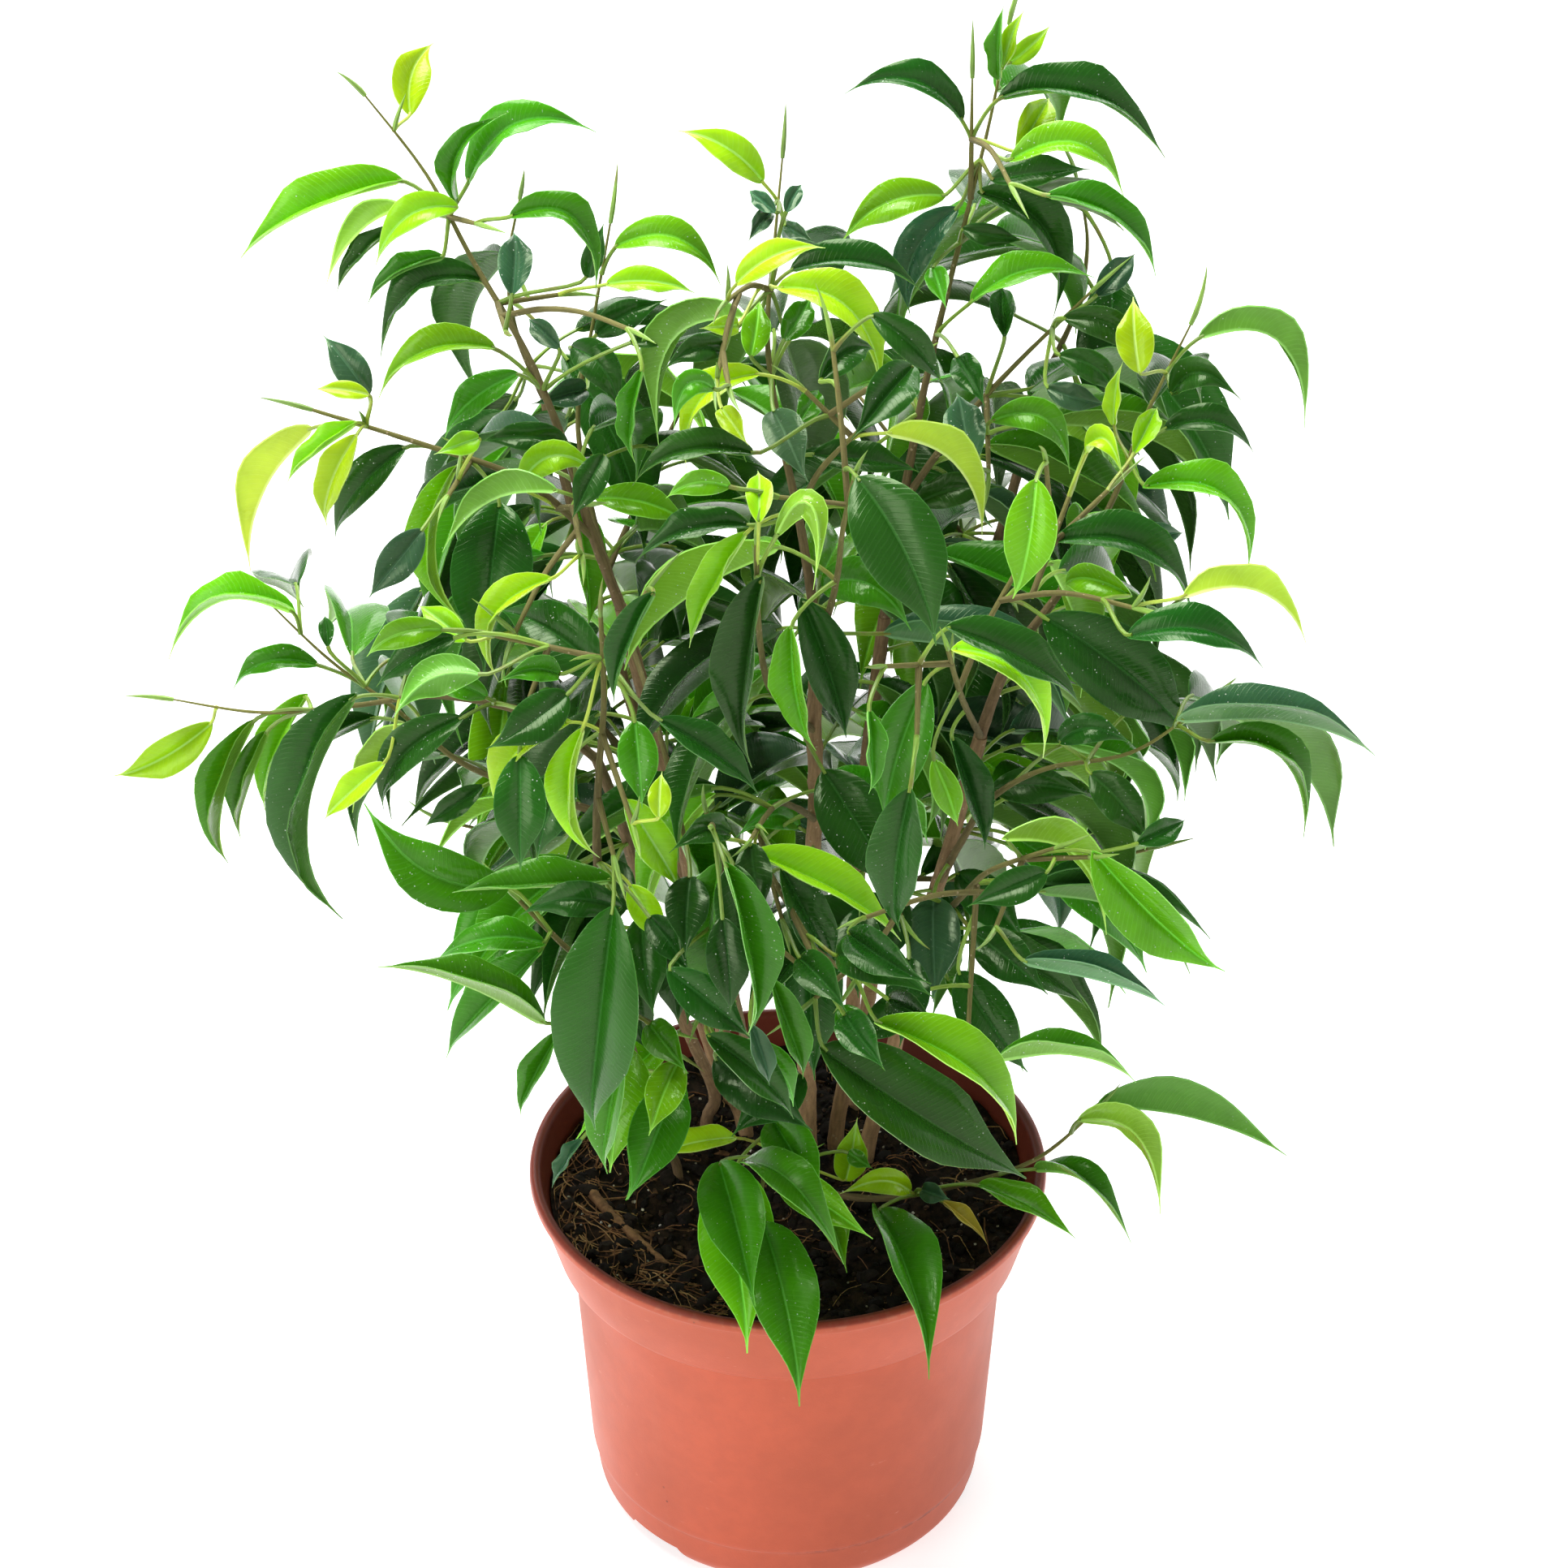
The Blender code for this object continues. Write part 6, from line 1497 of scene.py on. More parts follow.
def piece(name, gathered, look, node):
    """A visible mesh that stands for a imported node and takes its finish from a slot."""
    mesh = bpy.data.meshes.new(name)
    points = np.concatenate(gathered.points) * MM
    mesh.from_pydata(points.tolist(), [], gathered.faces)
    for label, parts in gathered.values.items():
        values = np.concatenate(parts)
        kind, field = (("FLOAT_VECTOR", "vector"), ("FLOAT_COLOR", "color"))[values.shape[1] - 3]
        made = mesh.attributes.new(label, kind, "POINT")
        made.data.foreach_set(field, values.astype(np.float32).ravel())
    mesh.materials.append(look)
    mesh.shade_smooth()
    mesh.set_sharp_from_angle(angle=SHARP_EDGE)
    placed(name, mesh, node)


def placed(name, mesh, node):
    thing = linked(name, mesh)
    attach(thing, "root")
    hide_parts(node)


def smooth_share(value, start, end):
    share = np.clip((value - start) / (end - start), 0.0, 1.0)
    return share * share * (3.0 - 2.0 * share)


def units(vectors):
    return vectors / np.maximum(np.linalg.norm(vectors, axis=-1, keepdims=True), 1e-12)


def blade_shape(t):
    """Half width at each place along a blade, as a share of the widest."""
    body = np.sin(math.pi * np.clip(t / BODY_END, 0.0, 1.0) ** WIDEST_SKEW)
    body = np.clip(body, 0.0, 1.0) ** SHAPE_POWER
    start, length, depth = NARROWING
    body = body * (1.0 - depth * smooth_share(t, start, start + length))
    tail = np.where(t > TAIL_FROM, TAIL_WIDTH[0] + TAIL_WIDTH[1] * (1.0 - t), FOOT_WIDTH)
    return np.maximum(body, np.minimum(tail, WIDEST_TAIL))


def grid_faces(rows, columns, start=0, flip=False):
    faces = []
    for i in range(rows - 1):
        for k in range(columns - 1):
            a = start + i * columns + k
            quad = (a, a + 1, a + columns + 1, a + columns)
            faces.append(quad[::-1] if flip else quad)
    return faces


def sheet_faces(rows, columns):
    """Faces of an upper and an under sheet, with the rim between them."""
    under = rows * columns
    faces = grid_faces(rows, columns) + grid_faces(rows, columns, under, flip=True)
    last = columns - 1
    for i in range(rows - 1):
        a, b = i * columns, (i + 1) * columns
        faces.append((a, b, b + under, a + under))
        faces.append((b + last, a + last, a + last + under, b + last + under))
    top = (rows - 1) * columns
    for k in range(last):
        faces.append((k + 1, k, k + under, k + 1 + under))
        faces.append((top + k, top + k + 1, top + k + 1 + under, top + k + under))
    return faces


BLADE_FACES = sheet_faces(BLADE_ROWS, len(BLADE_COLUMNS))


def leaf_fold(leaf, draw):
    """How far each half of a blade is folded up: more where it is seen from its side."""
    to_view = unit(VIEW_PLACE - leaf.at(0.5))
    open_share = abs(float(leaf.face @ to_view))
    shares, folds = zip(*FOLDS)
    fold = math.radians(float(np.interp(open_share, shares, folds)))
    return fold * (1.0 + draw.gauss(0.0, FOLD_SPREAD))


def fine_blade(leaf, draw):
    """Points of a blade's two sheets, and the place of each: beside, along, and half width."""
    even = np.linspace(0.0, 1.0, BLADE_ROWS)
    t = (1.0 - ROWS_TO_ENDS) * even + ROWS_TO_ENDS * (0.5 - 0.5 * np.cos(math.pi * even))
    middle = leaf.at(t[:, None])
    length = float(np.linalg.norm(np.diff(middle, axis=0), axis=1).sum())
    along = units(np.gradient(middle, t, axis=0))
    out = units(leaf.face - along * (along @ leaf.face)[:, None])
    across = np.cross(along, out)
    half = blade_shape(t) * leaf.width / 2

    sway = draw.uniform(-SWAY, SWAY) * length * np.sin(math.pi * t)
    hook = draw.uniform(0.0, TIP_HOOK) * length * smooth_share(t, *HOOKED)
    side_hook = draw.uniform(-TIP_HOOK, TIP_HOOK) * length * smooth_share(t, *HOOKED)
    middle = middle + across * (sway + side_hook)[:, None] - out * hook[:, None]

    fold = leaf_fold(leaf, draw)
    folds = fold * (1.0 + END_FOLD * (2.0 * t - 1.0) ** 2)
    beside = np.abs(BLADE_COLUMNS)
    lift = np.sin(folds)[:, None] * beside
    lift = lift + HALF_BULGE * np.sin(math.pi * beside) - EDGE_DROOP * beside**4
    lift = lift - (np.sin(folds)[:, None] - math.sin(BLADE_FOLD)) / 2
    lift = half[:, None] * lift
    for side in (-1.0, 1.0):
        turns, start = draw.uniform(*WAVES), draw.uniform(0.0, 2 * math.pi)
        wave = draw.uniform(*WAVE_HEIGHT) * np.sin(2 * math.pi * turns * t + start)
        wave = (wave * blade_shape(t))[:, None] * beside**2
        lift = lift + np.where(BLADE_COLUMNS * side > 0, wave, 0.0)
    spread = half[:, None] * BLADE_COLUMNS * np.cos(folds)[:, None]
    surface = middle[:, None] + across[:, None] * spread[..., None] + out[:, None] * lift[..., None]
    rib = (beside == 0.0)[None, :] * np.ones((BLADE_ROWS, 1))
    above = HALF_SHEET - GROOVE * rib
    below = HALF_SHEET + rib * (MIDRIB_HEIGHT[0] - MIDRIB_HEIGHT[1] * t)[:, None]
    thin = np.minimum(1.0, half / THINNED_BELOW)[:, None]
    upper = surface + out[:, None] * (above * thin)[..., None]
    under = surface - out[:, None] * (below * thin)[..., None]
    place = np.stack(
        [
            half[:, None] * BLADE_COLUMNS,
            np.broadcast_to((t * length)[:, None], surface.shape[:2]),
            np.broadcast_to(half[:, None], surface.shape[:2]),
        ],
        axis=-1,
    )
    return upper, under, place


def leaf_tints(tone, draw):
    """Colours of a leaf's upper and under face, a little different on every leaf."""
    name = tone.removesuffix("_under")
    tints = []
    shade = 1.0 + draw.gauss(0.0, TONE_SPREAD)
    warm = draw.gauss(0.0, TONE_SPREAD / 2)
    for table in (TONES, UNDER_TONES):
        red, green, blue = linear(table[name])
        tints.append((red * shade * (1.0 + 2.0 * warm), green * shade, blue * shade, 1.0))
    return tints


def add_leaf(gathered, leaf, draw):
    upper, under, place = fine_blade(leaf, draw)
    top, bottom = leaf_tints(leaf.tone, draw)
    count = upper.size // 3
    points = np.concatenate([upper.reshape(-1, 3), under.reshape(-1, 3)])
    tint = np.concatenate([np.tile(top, (count, 1)), np.tile(bottom, (count, 1))])
    places = np.concatenate([place.reshape(-1, 3)] * 2)
    gathered.add(points, BLADE_FACES, tint=tint, place=places)


def tube(line, radii, sides):
    """Points and faces of a closed tube, and each point's (round, along, radius) place."""
    line = np.asarray(line, float)
    radii = np.asarray(radii, float)
    along = units(np.gradient(line, axis=0))
    across = unit(np.cross(along[0], ASLANT))
    sides_at = []
    for way in along:
        across = unit(across - way * float(across @ way))
        sides_at.append(across)
    sides_at = np.array(sides_at)
    others = np.cross(along, sides_at)
    turns = 2 * math.pi * np.arange(sides) / sides
    ring = (
        sides_at[:, None] * np.cos(turns)[None, :, None]
        + others[:, None] * np.sin(turns)[None, :, None]
    )
    if radii.ndim == 1:
        radii = np.repeat(radii[:, None], sides, axis=1)
    points = line[:, None] + ring * radii[..., None]
    gone = distances(line)
    place = np.stack(
        [
            np.broadcast_to(np.cos(turns), radii.shape),
            np.broadcast_to(gone[:, None], radii.shape),
            np.broadcast_to(np.sin(turns), radii.shape),
        ],
        axis=-1,
    )
    faces = ring_faces(len(line), sides)
    faces.append(tuple(range(sides))[::-1])
    faces.append(tuple(range(sides * (len(line) - 1), sides * len(line))))
    return points.reshape(-1, 3), faces, place.reshape(-1, 3)


def bark_tint(radius):
    sizes = [size for size, _ in BARK_TONES]
    tones = np.array([linear(tone) for _, tone in BARK_TONES])
    tint = np.stack([np.interp(radius, sizes, tones[:, k]) for k in range(3)], axis=-1)
    return np.concatenate([tint, np.ones(tint.shape[:-1] + (1,))], axis=-1)


def add_wood(gathered, line, radii, sides, draw):
    """A trunk, branch or twig, with swollen nodes and an uneven surface."""
    fine, sizes = smooth_line(line, (0.0, 1.0), WOOD_STEP)
    fine = np.array(fine)
    coarse = np.linspace(0.0, 1.0, len(radii))
    sizes = np.interp(np.linspace(0.0, 1.0, len(fine)), coarse, radii)
    gone = distances(fine)
    turns = 2 * math.pi * np.arange(sides) / sides
    grown = np.ones((len(fine), sides))
    place = draw.uniform(0.0, NODE_GAPS[1])
    side = draw.uniform(0.0, 2 * math.pi)
    while place < gone[-1]:
        near = np.exp(-(((gone - place) / NODE_LENGTH) ** 2))[:, None]
        lean = NODE_SIDES[0] + NODE_SIDES[1] * np.clip(np.cos(turns - side), 0.0, 1.0)
        grown += NODE_SWELL * near * lean
        place += draw.uniform(*NODE_GAPS)
        side += math.pi + draw.gauss(0.0, NODE_TURN_SPREAD)
    rough = np.array([[draw.gauss(0.0, WOOD_UNEVEN) for _ in turns] for _ in fine])
    points, faces, places = tube(fine, sizes[:, None] * (grown + rough), sides)
    tint = bark_tint(np.repeat(sizes, sides))
    gathered.add(points, faces, tint=tint, place=places)
    return fine


def curve_between(start, start_way, end, end_way, steps):
    """Points on a cubic curve that leaves its start one way and meets its end another."""
    reach = float(np.linalg.norm(end - start)) / 3
    direct = unit(end - start)
    first, second = (
        reach * max(SHORTEST_HANDLE, float(way @ direct)) for way in (start_way, end_way)
    )
    first, second = start + start_way * first, end - end_way * second
    t = np.linspace(0.0, 1.0, steps)[:, None]
    return (
        start * (1 - t) ** 3 + 3 * first * t * (1 - t) ** 2
        + 3 * second * t**2 * (1 - t) + end * t**3
    )


def nearest(points, place):
    return points[int(np.argmin(np.linalg.norm(points - place, axis=1)))]


def add_stalk(gathered, leaf, wood_points, draw):
    """A leaf's stalk, from the nearest point of its own wood to the blade's foot."""
    root = nearest(wood_points, leaf.root)
    into = leaf.at(STALK_INTO_BLADE)
    end_way = unit(leaf.at(2 * STALK_INTO_BLADE) - leaf.foot)
    start_way = unit(unit(leaf.foot - root) + STALK_RISE)
    line = curve_between(root, start_way, into, end_way, STALK_STEPS)
    young = leaf.tone.removesuffix("_under") in YOUNG
    radii = np.array(STALK_RADII) * (YOUNG_STALK if young else 1.0)
    points, faces, places = tube(line, radii, STALK_SIDES)
    tint = shaded(linear(STALK_YOUNG if young else STALK_OLD), TONE_SPREAD, draw)
    gathered.add(points, faces, tint=tint, place=places)


def add_spike(gathered, start, way, draw):
    """The pointed bud at the end of a shoot."""
    length = draw.uniform(*SPIKE_LENGTHS)
    aside = np.array([draw.gauss(0.0, SPIKE_ASIDE) for _ in range(3)])
    end_way = unit(way + aside)
    line = curve_between(start, way, start + length * unit(way + end_way), end_way, len(SPIKE_RADII))
    points, faces, places = tube(line, SPIKE_RADII, SPIKE_SIDES)
    tint = shaded(linear(SPIKE_TONE), TONE_SPREAD, draw)
    gathered.add(points, faces, tint=tint, place=places)


class Look:
    """A material whose nodes are added by short calls."""

    def __init__(self, name, roughness, **settings):
        self.material = bpy.data.materials.new(name)
        self.material.use_nodes = True
        self.nodes = self.material.node_tree.nodes
        self.links = self.material.node_tree.links
        self.shader = self.nodes["Principled BSDF"]
        self.shader.inputs["Roughness"].default_value = roughness
        for socket, value in settings.items():
            self.shader.inputs[socket.replace("_", " ")].default_value = value

    def put(self, socket, value):
        if isinstance(value, bpy.types.NodeSocket):
            self.links.new(value, socket)
        elif isinstance(value, tuple) and socket.type == "RGBA":
            socket.default_value = (*value[:3], 1.0)
        else:
            socket.default_value = value

    def node(self, kind, output, settings=None, **inputs):
        made = self.nodes.new(kind)
        for name, value in (settings or {}).items():
            setattr(made, name, value)
        for name, value in inputs.items():
            self.put(made.inputs[name.replace("_", " ")], value)
        return made.outputs[output]

    def math(self, operation, first, second=0.0, third=0.0):
        made = self.nodes.new("ShaderNodeMath")
        made.operation = operation
        for socket, value in zip(made.inputs, (first, second, third)):
            self.put(socket, value)
        return made.outputs[0]

    def mix(self, share, first, second):
        made = self.nodes.new("ShaderNodeMix")
        made.data_type = "RGBA"
        self.put(made.inputs[0], share)
        self.put(made.inputs[6], first)
        self.put(made.inputs[7], second)
        return made.outputs[2]

    def over(self, colour, share, strength, tone):
        """A colour with another laid over it where a share says, up to a strength."""
        return self.mix(self.math("MULTIPLY", share, strength), colour, tone)

    def toned(self, colour, value, saturation=1.0):
        return self.node(
            "ShaderNodeHueSaturation", "Color", Color=colour, Value=value, Saturation=saturation
        )

    def between(self, value, start, end, low=0.0, high=1.0):
        return self.node(
            "ShaderNodeMapRange", "Result", {"interpolation_type": "SMOOTHSTEP"},
            Value=value, From_Min=start, From_Max=end, To_Min=low, To_Max=high,
        )

    def noise(self, place, scale, detail=2.0, rough=0.5):
        return self.node(
            "ShaderNodeTexNoise", "Fac", Vector=place, Scale=scale, Detail=detail, Roughness=rough
        )

    def spots(self, place, scale, size, patch_scale, patch):
        """Small round spots, where a wider noise lets them show."""
        cells = self.node("ShaderNodeTexVoronoi", "Distance", Vector=place, Scale=scale)
        spots = self.between(cells, *size, 1.0, 0.0)
        return self.math("MULTIPLY", spots, self.between(self.noise(place, patch_scale), *patch))

    def attribute(self, name, output="Vector"):
        return self.node("ShaderNodeAttribute", output, {"attribute_name": name})

    def split(self, vector):
        made = self.nodes.new("ShaderNodeSeparateXYZ")
        self.links.new(vector, made.inputs[0])
        return made.outputs

    def stretched(self, vector, scale):
        return self.node("ShaderNodeMapping", "Vector", Vector=vector, Scale=scale)

    def around(self):
        """Metres in the object's own frame."""
        return self.node("ShaderNodeTexCoord", "Object")

    def finish(self, colour, height=None, distance=0.0001, strength=0.5, roughness=None):
        self.put(self.shader.inputs["Base Color"], colour)
        if roughness is not None:
            self.put(self.shader.inputs["Roughness"], roughness)
        if height is not None:
            bump = self.node(
                "ShaderNodeBump", "Normal", Strength=strength, Distance=distance, Height=height
            )
            self.put(self.shader.inputs["Normal"], bump)
        return self.material


def leaf_look(name, vein, midrib, edge, dust, roughness, soft):
    """Glossy leaf: fine side veins, a paler midrib and edge, and dust on old leaves.

    Each of vein, midrib and edge says how light and how saturated it is next to the leaf, and
    how strong. Soft is the share of light that goes through the leaf's skin.
    """
    look = Look(
        name, roughness, Subsurface_Weight=soft, Subsurface_Scale=0.0006,
        Subsurface_Radius=(0.75, 1.0, 0.2), Specular_IOR_Level=0.37,
        Specular_Tint=(0.82, 1.0, 0.62, 1.0),
    )
    x, y, half = look.split(look.attribute("place"))
    beside = look.math("ABSOLUTE", x)
    where = look.around()
    wobble = look.math("MULTIPLY", look.noise(where, 260.0), MIDRIB_WOBBLE)
    rib = look.between(look.math("ADD", beside, wobble), *MIDRIB_EDGE, 1.0, 0.0)
    rim = look.between(look.math("SUBTRACT", half, beside), *RIM_EDGE, 1.0, 0.0)
    run = look.math("MULTIPLY_ADD", beside, VEIN_SLANT, y)
    run = look.math("MULTIPLY_ADD", look.noise(where, 120.0), VEIN_WOBBLE, run)
    veins = look.between(look.math("SINE", look.math("MULTIPLY", run, VEIN_TURN)), *VEIN_EDGE)
    veins = look.math("MULTIPLY", veins, look.between(half, *VEINED_WIDTH))
    tint = look.attribute("tint", "Color")
    mottle = look.between(look.noise(where, 75.0, 4.0, 0.6), 0.3, 0.7, 0.86, 1.14)
    colour = look.toned(tint, mottle)
    for share, (lightness, saturation, strength) in ((veins, vein), (rib, midrib), (rim, edge)):
        colour = look.over(colour, share, strength, look.toned(tint, lightness, saturation))
    if dust:
        specks = look.spots(where, 1150.0, (0.12, 0.2), 900.0, (0.52, 0.6))
        patches = look.between(look.noise(where, 38.0, 3.0), 0.44, 0.6)
        colour = look.over(colour, look.math("MULTIPLY", specks, patches), dust, DUST_COLOUR)
    height = look.math("MULTIPLY", look.noise(where, 420.0, 3.0), 0.9)
    height = look.math("MULTIPLY_ADD", veins, 0.25, height)
    gloss = look.between(look.noise(where, 140.0, 3.0), 0.3, 0.75, roughness - 0.05, roughness + 0.12)
    return look.finish(colour, height, 0.00016, 0.45, gloss)


def bark_look():
    """Brown bark with rings, lengthwise streaks, pale pores and a greener thin end."""
    look = Look("bark", 0.8, Specular_IOR_Level=0.3)
    tint = look.attribute("tint", "Color")
    place = look.attribute("place")
    streaks = look.noise(look.stretched(place, (2.2, 0.22, 2.2)), 1.0, 4.0, 0.65)
    rings = look.noise(look.stretched(place, (0.3, 1.5, 0.3)), 1.0, 3.0, 0.6)
    where = look.around()
    pores = look.spots(where, 700.0, (0.14, 0.26), 420.0, (0.52, 0.62))
    colour = look.toned(tint, look.between(streaks, 0.3, 0.72, 0.74, 1.22), 0.95)
    colour = look.mix(look.between(rings, 0.55, 0.7, 0.0, 0.3), colour, linear((104, 78, 58)))
    colour = look.over(colour, pores, 0.6, linear((186, 164, 132)))
    height = look.math("MULTIPLY_ADD", streaks, 1.2, look.math("MULTIPLY_ADD", rings, 0.8, pores))
    return look.finish(colour, height, 0.0002, 0.55)


def stalk_look():
    """Smooth green stalks, a little streaked."""
    look = Look("stalk", 0.42, Subsurface_Weight=0.1, Subsurface_Scale=0.0005)
    tint = look.attribute("tint", "Color")
    streaks = look.noise(look.stretched(look.attribute("place"), (1.4, 0.3, 1.4)), 1.0, 3.0)
    colour = look.toned(tint, look.between(streaks, 0.3, 0.7, 0.8, 1.2))
    brown = look.between(look.noise(look.around(), 130.0, 3.0), 0.58, 0.7, 0.0, 0.5)
    colour = look.mix(brown, colour, linear((120, 88, 48)))
    return look.finish(colour, streaks, 0.00012, 0.4)


def pot_look():
    """Moulded terracotta-coloured plastic, mottled, scuffed and specked with dirt.

    Its lip has dust and a dark edge of painted shade, a dark line runs above the base band, and
    the inside is painted darker above the soil, as shade.
    """
    look = Look("pot_plastic", 0.42, Specular_IOR_Level=0.27)
    where = look.around()
    clouds = look.noise(where, 22.0, 3.0)
    colour = look.mix(
        look.between(clouds, 0.35, 0.7), (0.56, 0.105, 0.047), linear((182, 86, 58))
    )
    upright = look.noise(look.stretched(where, (90.0, 90.0, 9.0)), 1.0, 3.0)
    colour = look.mix(look.between(upright, 0.55, 0.75, 0.0, 0.2), colour, linear((198, 108, 80)))
    mottled = look.noise(where, 240.0, 4.0, 0.6)
    colour = look.mix(look.between(mottled, 0.3, 0.7, 0.0, 0.22), colour, linear((164, 74, 52)))
    scuffs = look.noise(look.stretched(where, (150.0, 150.0, 420.0)), 1.0, 4.0, 0.7)
    scuffs = look.between(scuffs, 0.66, 0.76)
    colour = look.over(colour, scuffs, 0.3, linear((226, 156, 134)))
    specks = look.spots(where, 210.0, (0.05, 0.085), 60.0, (0.55, 0.6))
    colour = look.over(colour, specks, 0.7, linear((92, 52, 42)))

    x, y, up = look.split(where)
    dusty = look.between(look.noise(where, 520.0, 4.0), 0.5, 0.6)
    dusty = look.math("MULTIPLY", look.between(up, *metres(LIP_DUST)), dusty)
    colour = look.over(colour, dusty, 0.3, linear((196, 150, 122)))
    # Painted shade: the lip's top edge is darkened, as if shaded by the inner wall
    colour = look.mix(look.between(up, *metres(LIP_PAINTED_SHADE), 0.0, 0.85), colour, linear((122, 46, 32)))
    low, high = (look.between(up, *metres(span)) for span in BAND_LINE)
    band = look.math("SUBTRACT", low, high)
    band = look.math("MULTIPLY", band, look.between(look.noise(where, 260.0, 5.0, 0.75), 0.38, 0.62))
    band = look.math("MULTIPLY", band, look.between(x, *metres(BAND_LINE_ACROSS), 0.12, 0.7))
    colour = look.mix(band, colour, linear((124, 52, 38)))

    squares = look.math("MULTIPLY_ADD", y, y, look.math("MULTIPLY", x, x))
    slope = (RIM_RADIUS - LIP_DEPTH - COLLAR_FOOT_RADIUS) / (COLLAR_HEIGHT - LIP_HEIGHT)
    foot = COLLAR_FOOT_RADIUS - slope * (POT_HEIGHT - COLLAR_HEIGHT)
    wall = look.math("MULTIPLY_ADD", up, slope, foot * MM)
    inside = look.math("SUBTRACT", wall, look.math("SQRT", squares))
    # Painted shade: the inner wall above the soil is darkened, where shade falls inside the pot
    painted_inner_shade = look.between(inside, *metres(PAINTED_INNER_SHADE_DEPTH))
    painted_inner_shade = look.math("MULTIPLY", painted_inner_shade, look.between(up, *metres(PAINTED_INNER_SHADE_FROM), 0.0, 0.9))
    colour = look.mix(painted_inner_shade, colour, linear((104, 42, 30)))
    bumps = look.math("MULTIPLY_ADD", scuffs, -0.5, look.noise(where, 2400.0, 2.0))
    gloss = look.between(clouds, 0.3, 0.7, 0.36, 0.5)
    return look.finish(colour, bumps, 0.00008, 0.35, gloss)


def soil_look():
    """Dark, crumbly peat with brown and pale bits."""
    look = Look("soil", 0.96, Specular_IOR_Level=0.15)
    where = look.around()
    rough = look.noise(where, 330.0, 6.0, 0.7)
    colour = look.mix(look.between(rough, 0.4, 0.68), linear((18, 14, 11)), linear((54, 40, 29)))
    bits = look.spots(where, 420.0, (0.1, 0.2), 250.0, (0.56, 0.62))
    colour = look.over(colour, bits, 0.7, linear((140, 108, 74)))
    return look.finish(colour, rough, 0.0006, 0.9)


def tinted_look(name, roughness, scale, dark):
    """A tinted piece with blotches, for roots, chips and grit."""
    look = Look(name, roughness, Specular_IOR_Level=0.25)
    blotches = look.noise(look.around(), scale, 4.0, 0.65)
    value = look.between(blotches, 0.32, 0.7, dark, 1.25)
    colour = look.toned(look.attribute("tint", "Color"), value)
    return look.finish(colour, blotches, 0.0003, 0.7)


def floor_look():
    """A white table that glows a little, as one does that is lit from below."""
    look = Look(
        "floor", 0.7, Specular_IOR_Level=0.0, Emission_Color=(1.0, 1.0, 1.0, 1.0),
        Emission_Strength=0.72,
    )
    colour = look.mix(look.noise(look.around(), 3.0), (0.62, 0.62, 0.62), (0.58, 0.58, 0.58))
    return look.finish(colour)


def rounded(outline, radius, steps):
    """The outline with each inner corner rounded, by curves that start this far from it."""
    points = [np.array(p, float) for p in outline]
    done = [points[0]]
    for before, corner, after in zip(points, points[1:], points[2:]):
        back, ahead = before - corner, after - corner
        reach_back = min(radius, LONGEST_ROUNDING * float(np.linalg.norm(back)))
        reach_ahead = min(radius, LONGEST_ROUNDING * float(np.linalg.norm(ahead)))
        start, end = corner + unit(back) * reach_back, corner + unit(ahead) * reach_ahead
        for t in np.linspace(0.0, 1.0, steps):
            done.append(start * (1 - t) ** 2 + 2 * corner * t * (1 - t) + end * t * t)
    done.append(points[-1])
    return done


def turned_mesh(outline, steps):
    """Points and faces turned about Z from an outline whose ends lie on the axis."""
    turns = 2 * math.pi * np.arange(steps) / steps
    inner = outline[1:-1]
    points = [(0.0, 0.0, outline[0][1]), (0.0, 0.0, outline[-1][1])]
    for radius, height in inner:
        points += [(radius * math.cos(a), radius * math.sin(a), height) for a in turns]
    faces = []
    last = 2 + (len(inner) - 1) * steps
    for k in range(steps):
        after = (k + 1) % steps
        faces.append((0, 2 + k, 2 + after))
        faces.append((1, last + after, last + k))
        for i in range(len(inner) - 1):
            a = 2 + i * steps
            faces.append((a + k, a + steps + k, a + steps + after, a + after))
    return points, faces


def notch_cutter(index, angle):
    """A wedge with sloping ends, for one drain notch in the pot's base."""
    near, far = BASE_RADIUS + NOTCH_OUTWARDS - NOTCH_DEPTH / 2, BASE_RADIUS + NOTCH_DEPTH
    foot, top = NOTCH_FOOT_WIDTH / 2, NOTCH_TOP_WIDTH / 2
    section = [(side, -NOTCH_HEIGHT * NOTCH_BELOW) for side in (-foot, foot)]
    section += [(top, NOTCH_HEIGHT), (-top, NOTCH_HEIGHT)]
    turn = math.radians(angle)
    points = []
    for reach in (near, far):
        for y, z in section:
            x = reach * math.cos(turn) - y * math.sin(turn)
            points.append((x * MM, (reach * math.sin(turn) + y * math.cos(turn)) * MM, z * MM))
    faces = [(0, 3, 2, 1), (4, 5, 6, 7)]
    faces += [(k, (k + 1) % 4, (k + 1) % 4 + 4, k + 4) for k in range(4)]
    mesh = bpy.data.meshes.new(f"notch_{index}")
    mesh.from_pydata(points, [], faces)
    return linked(mesh.name, mesh)


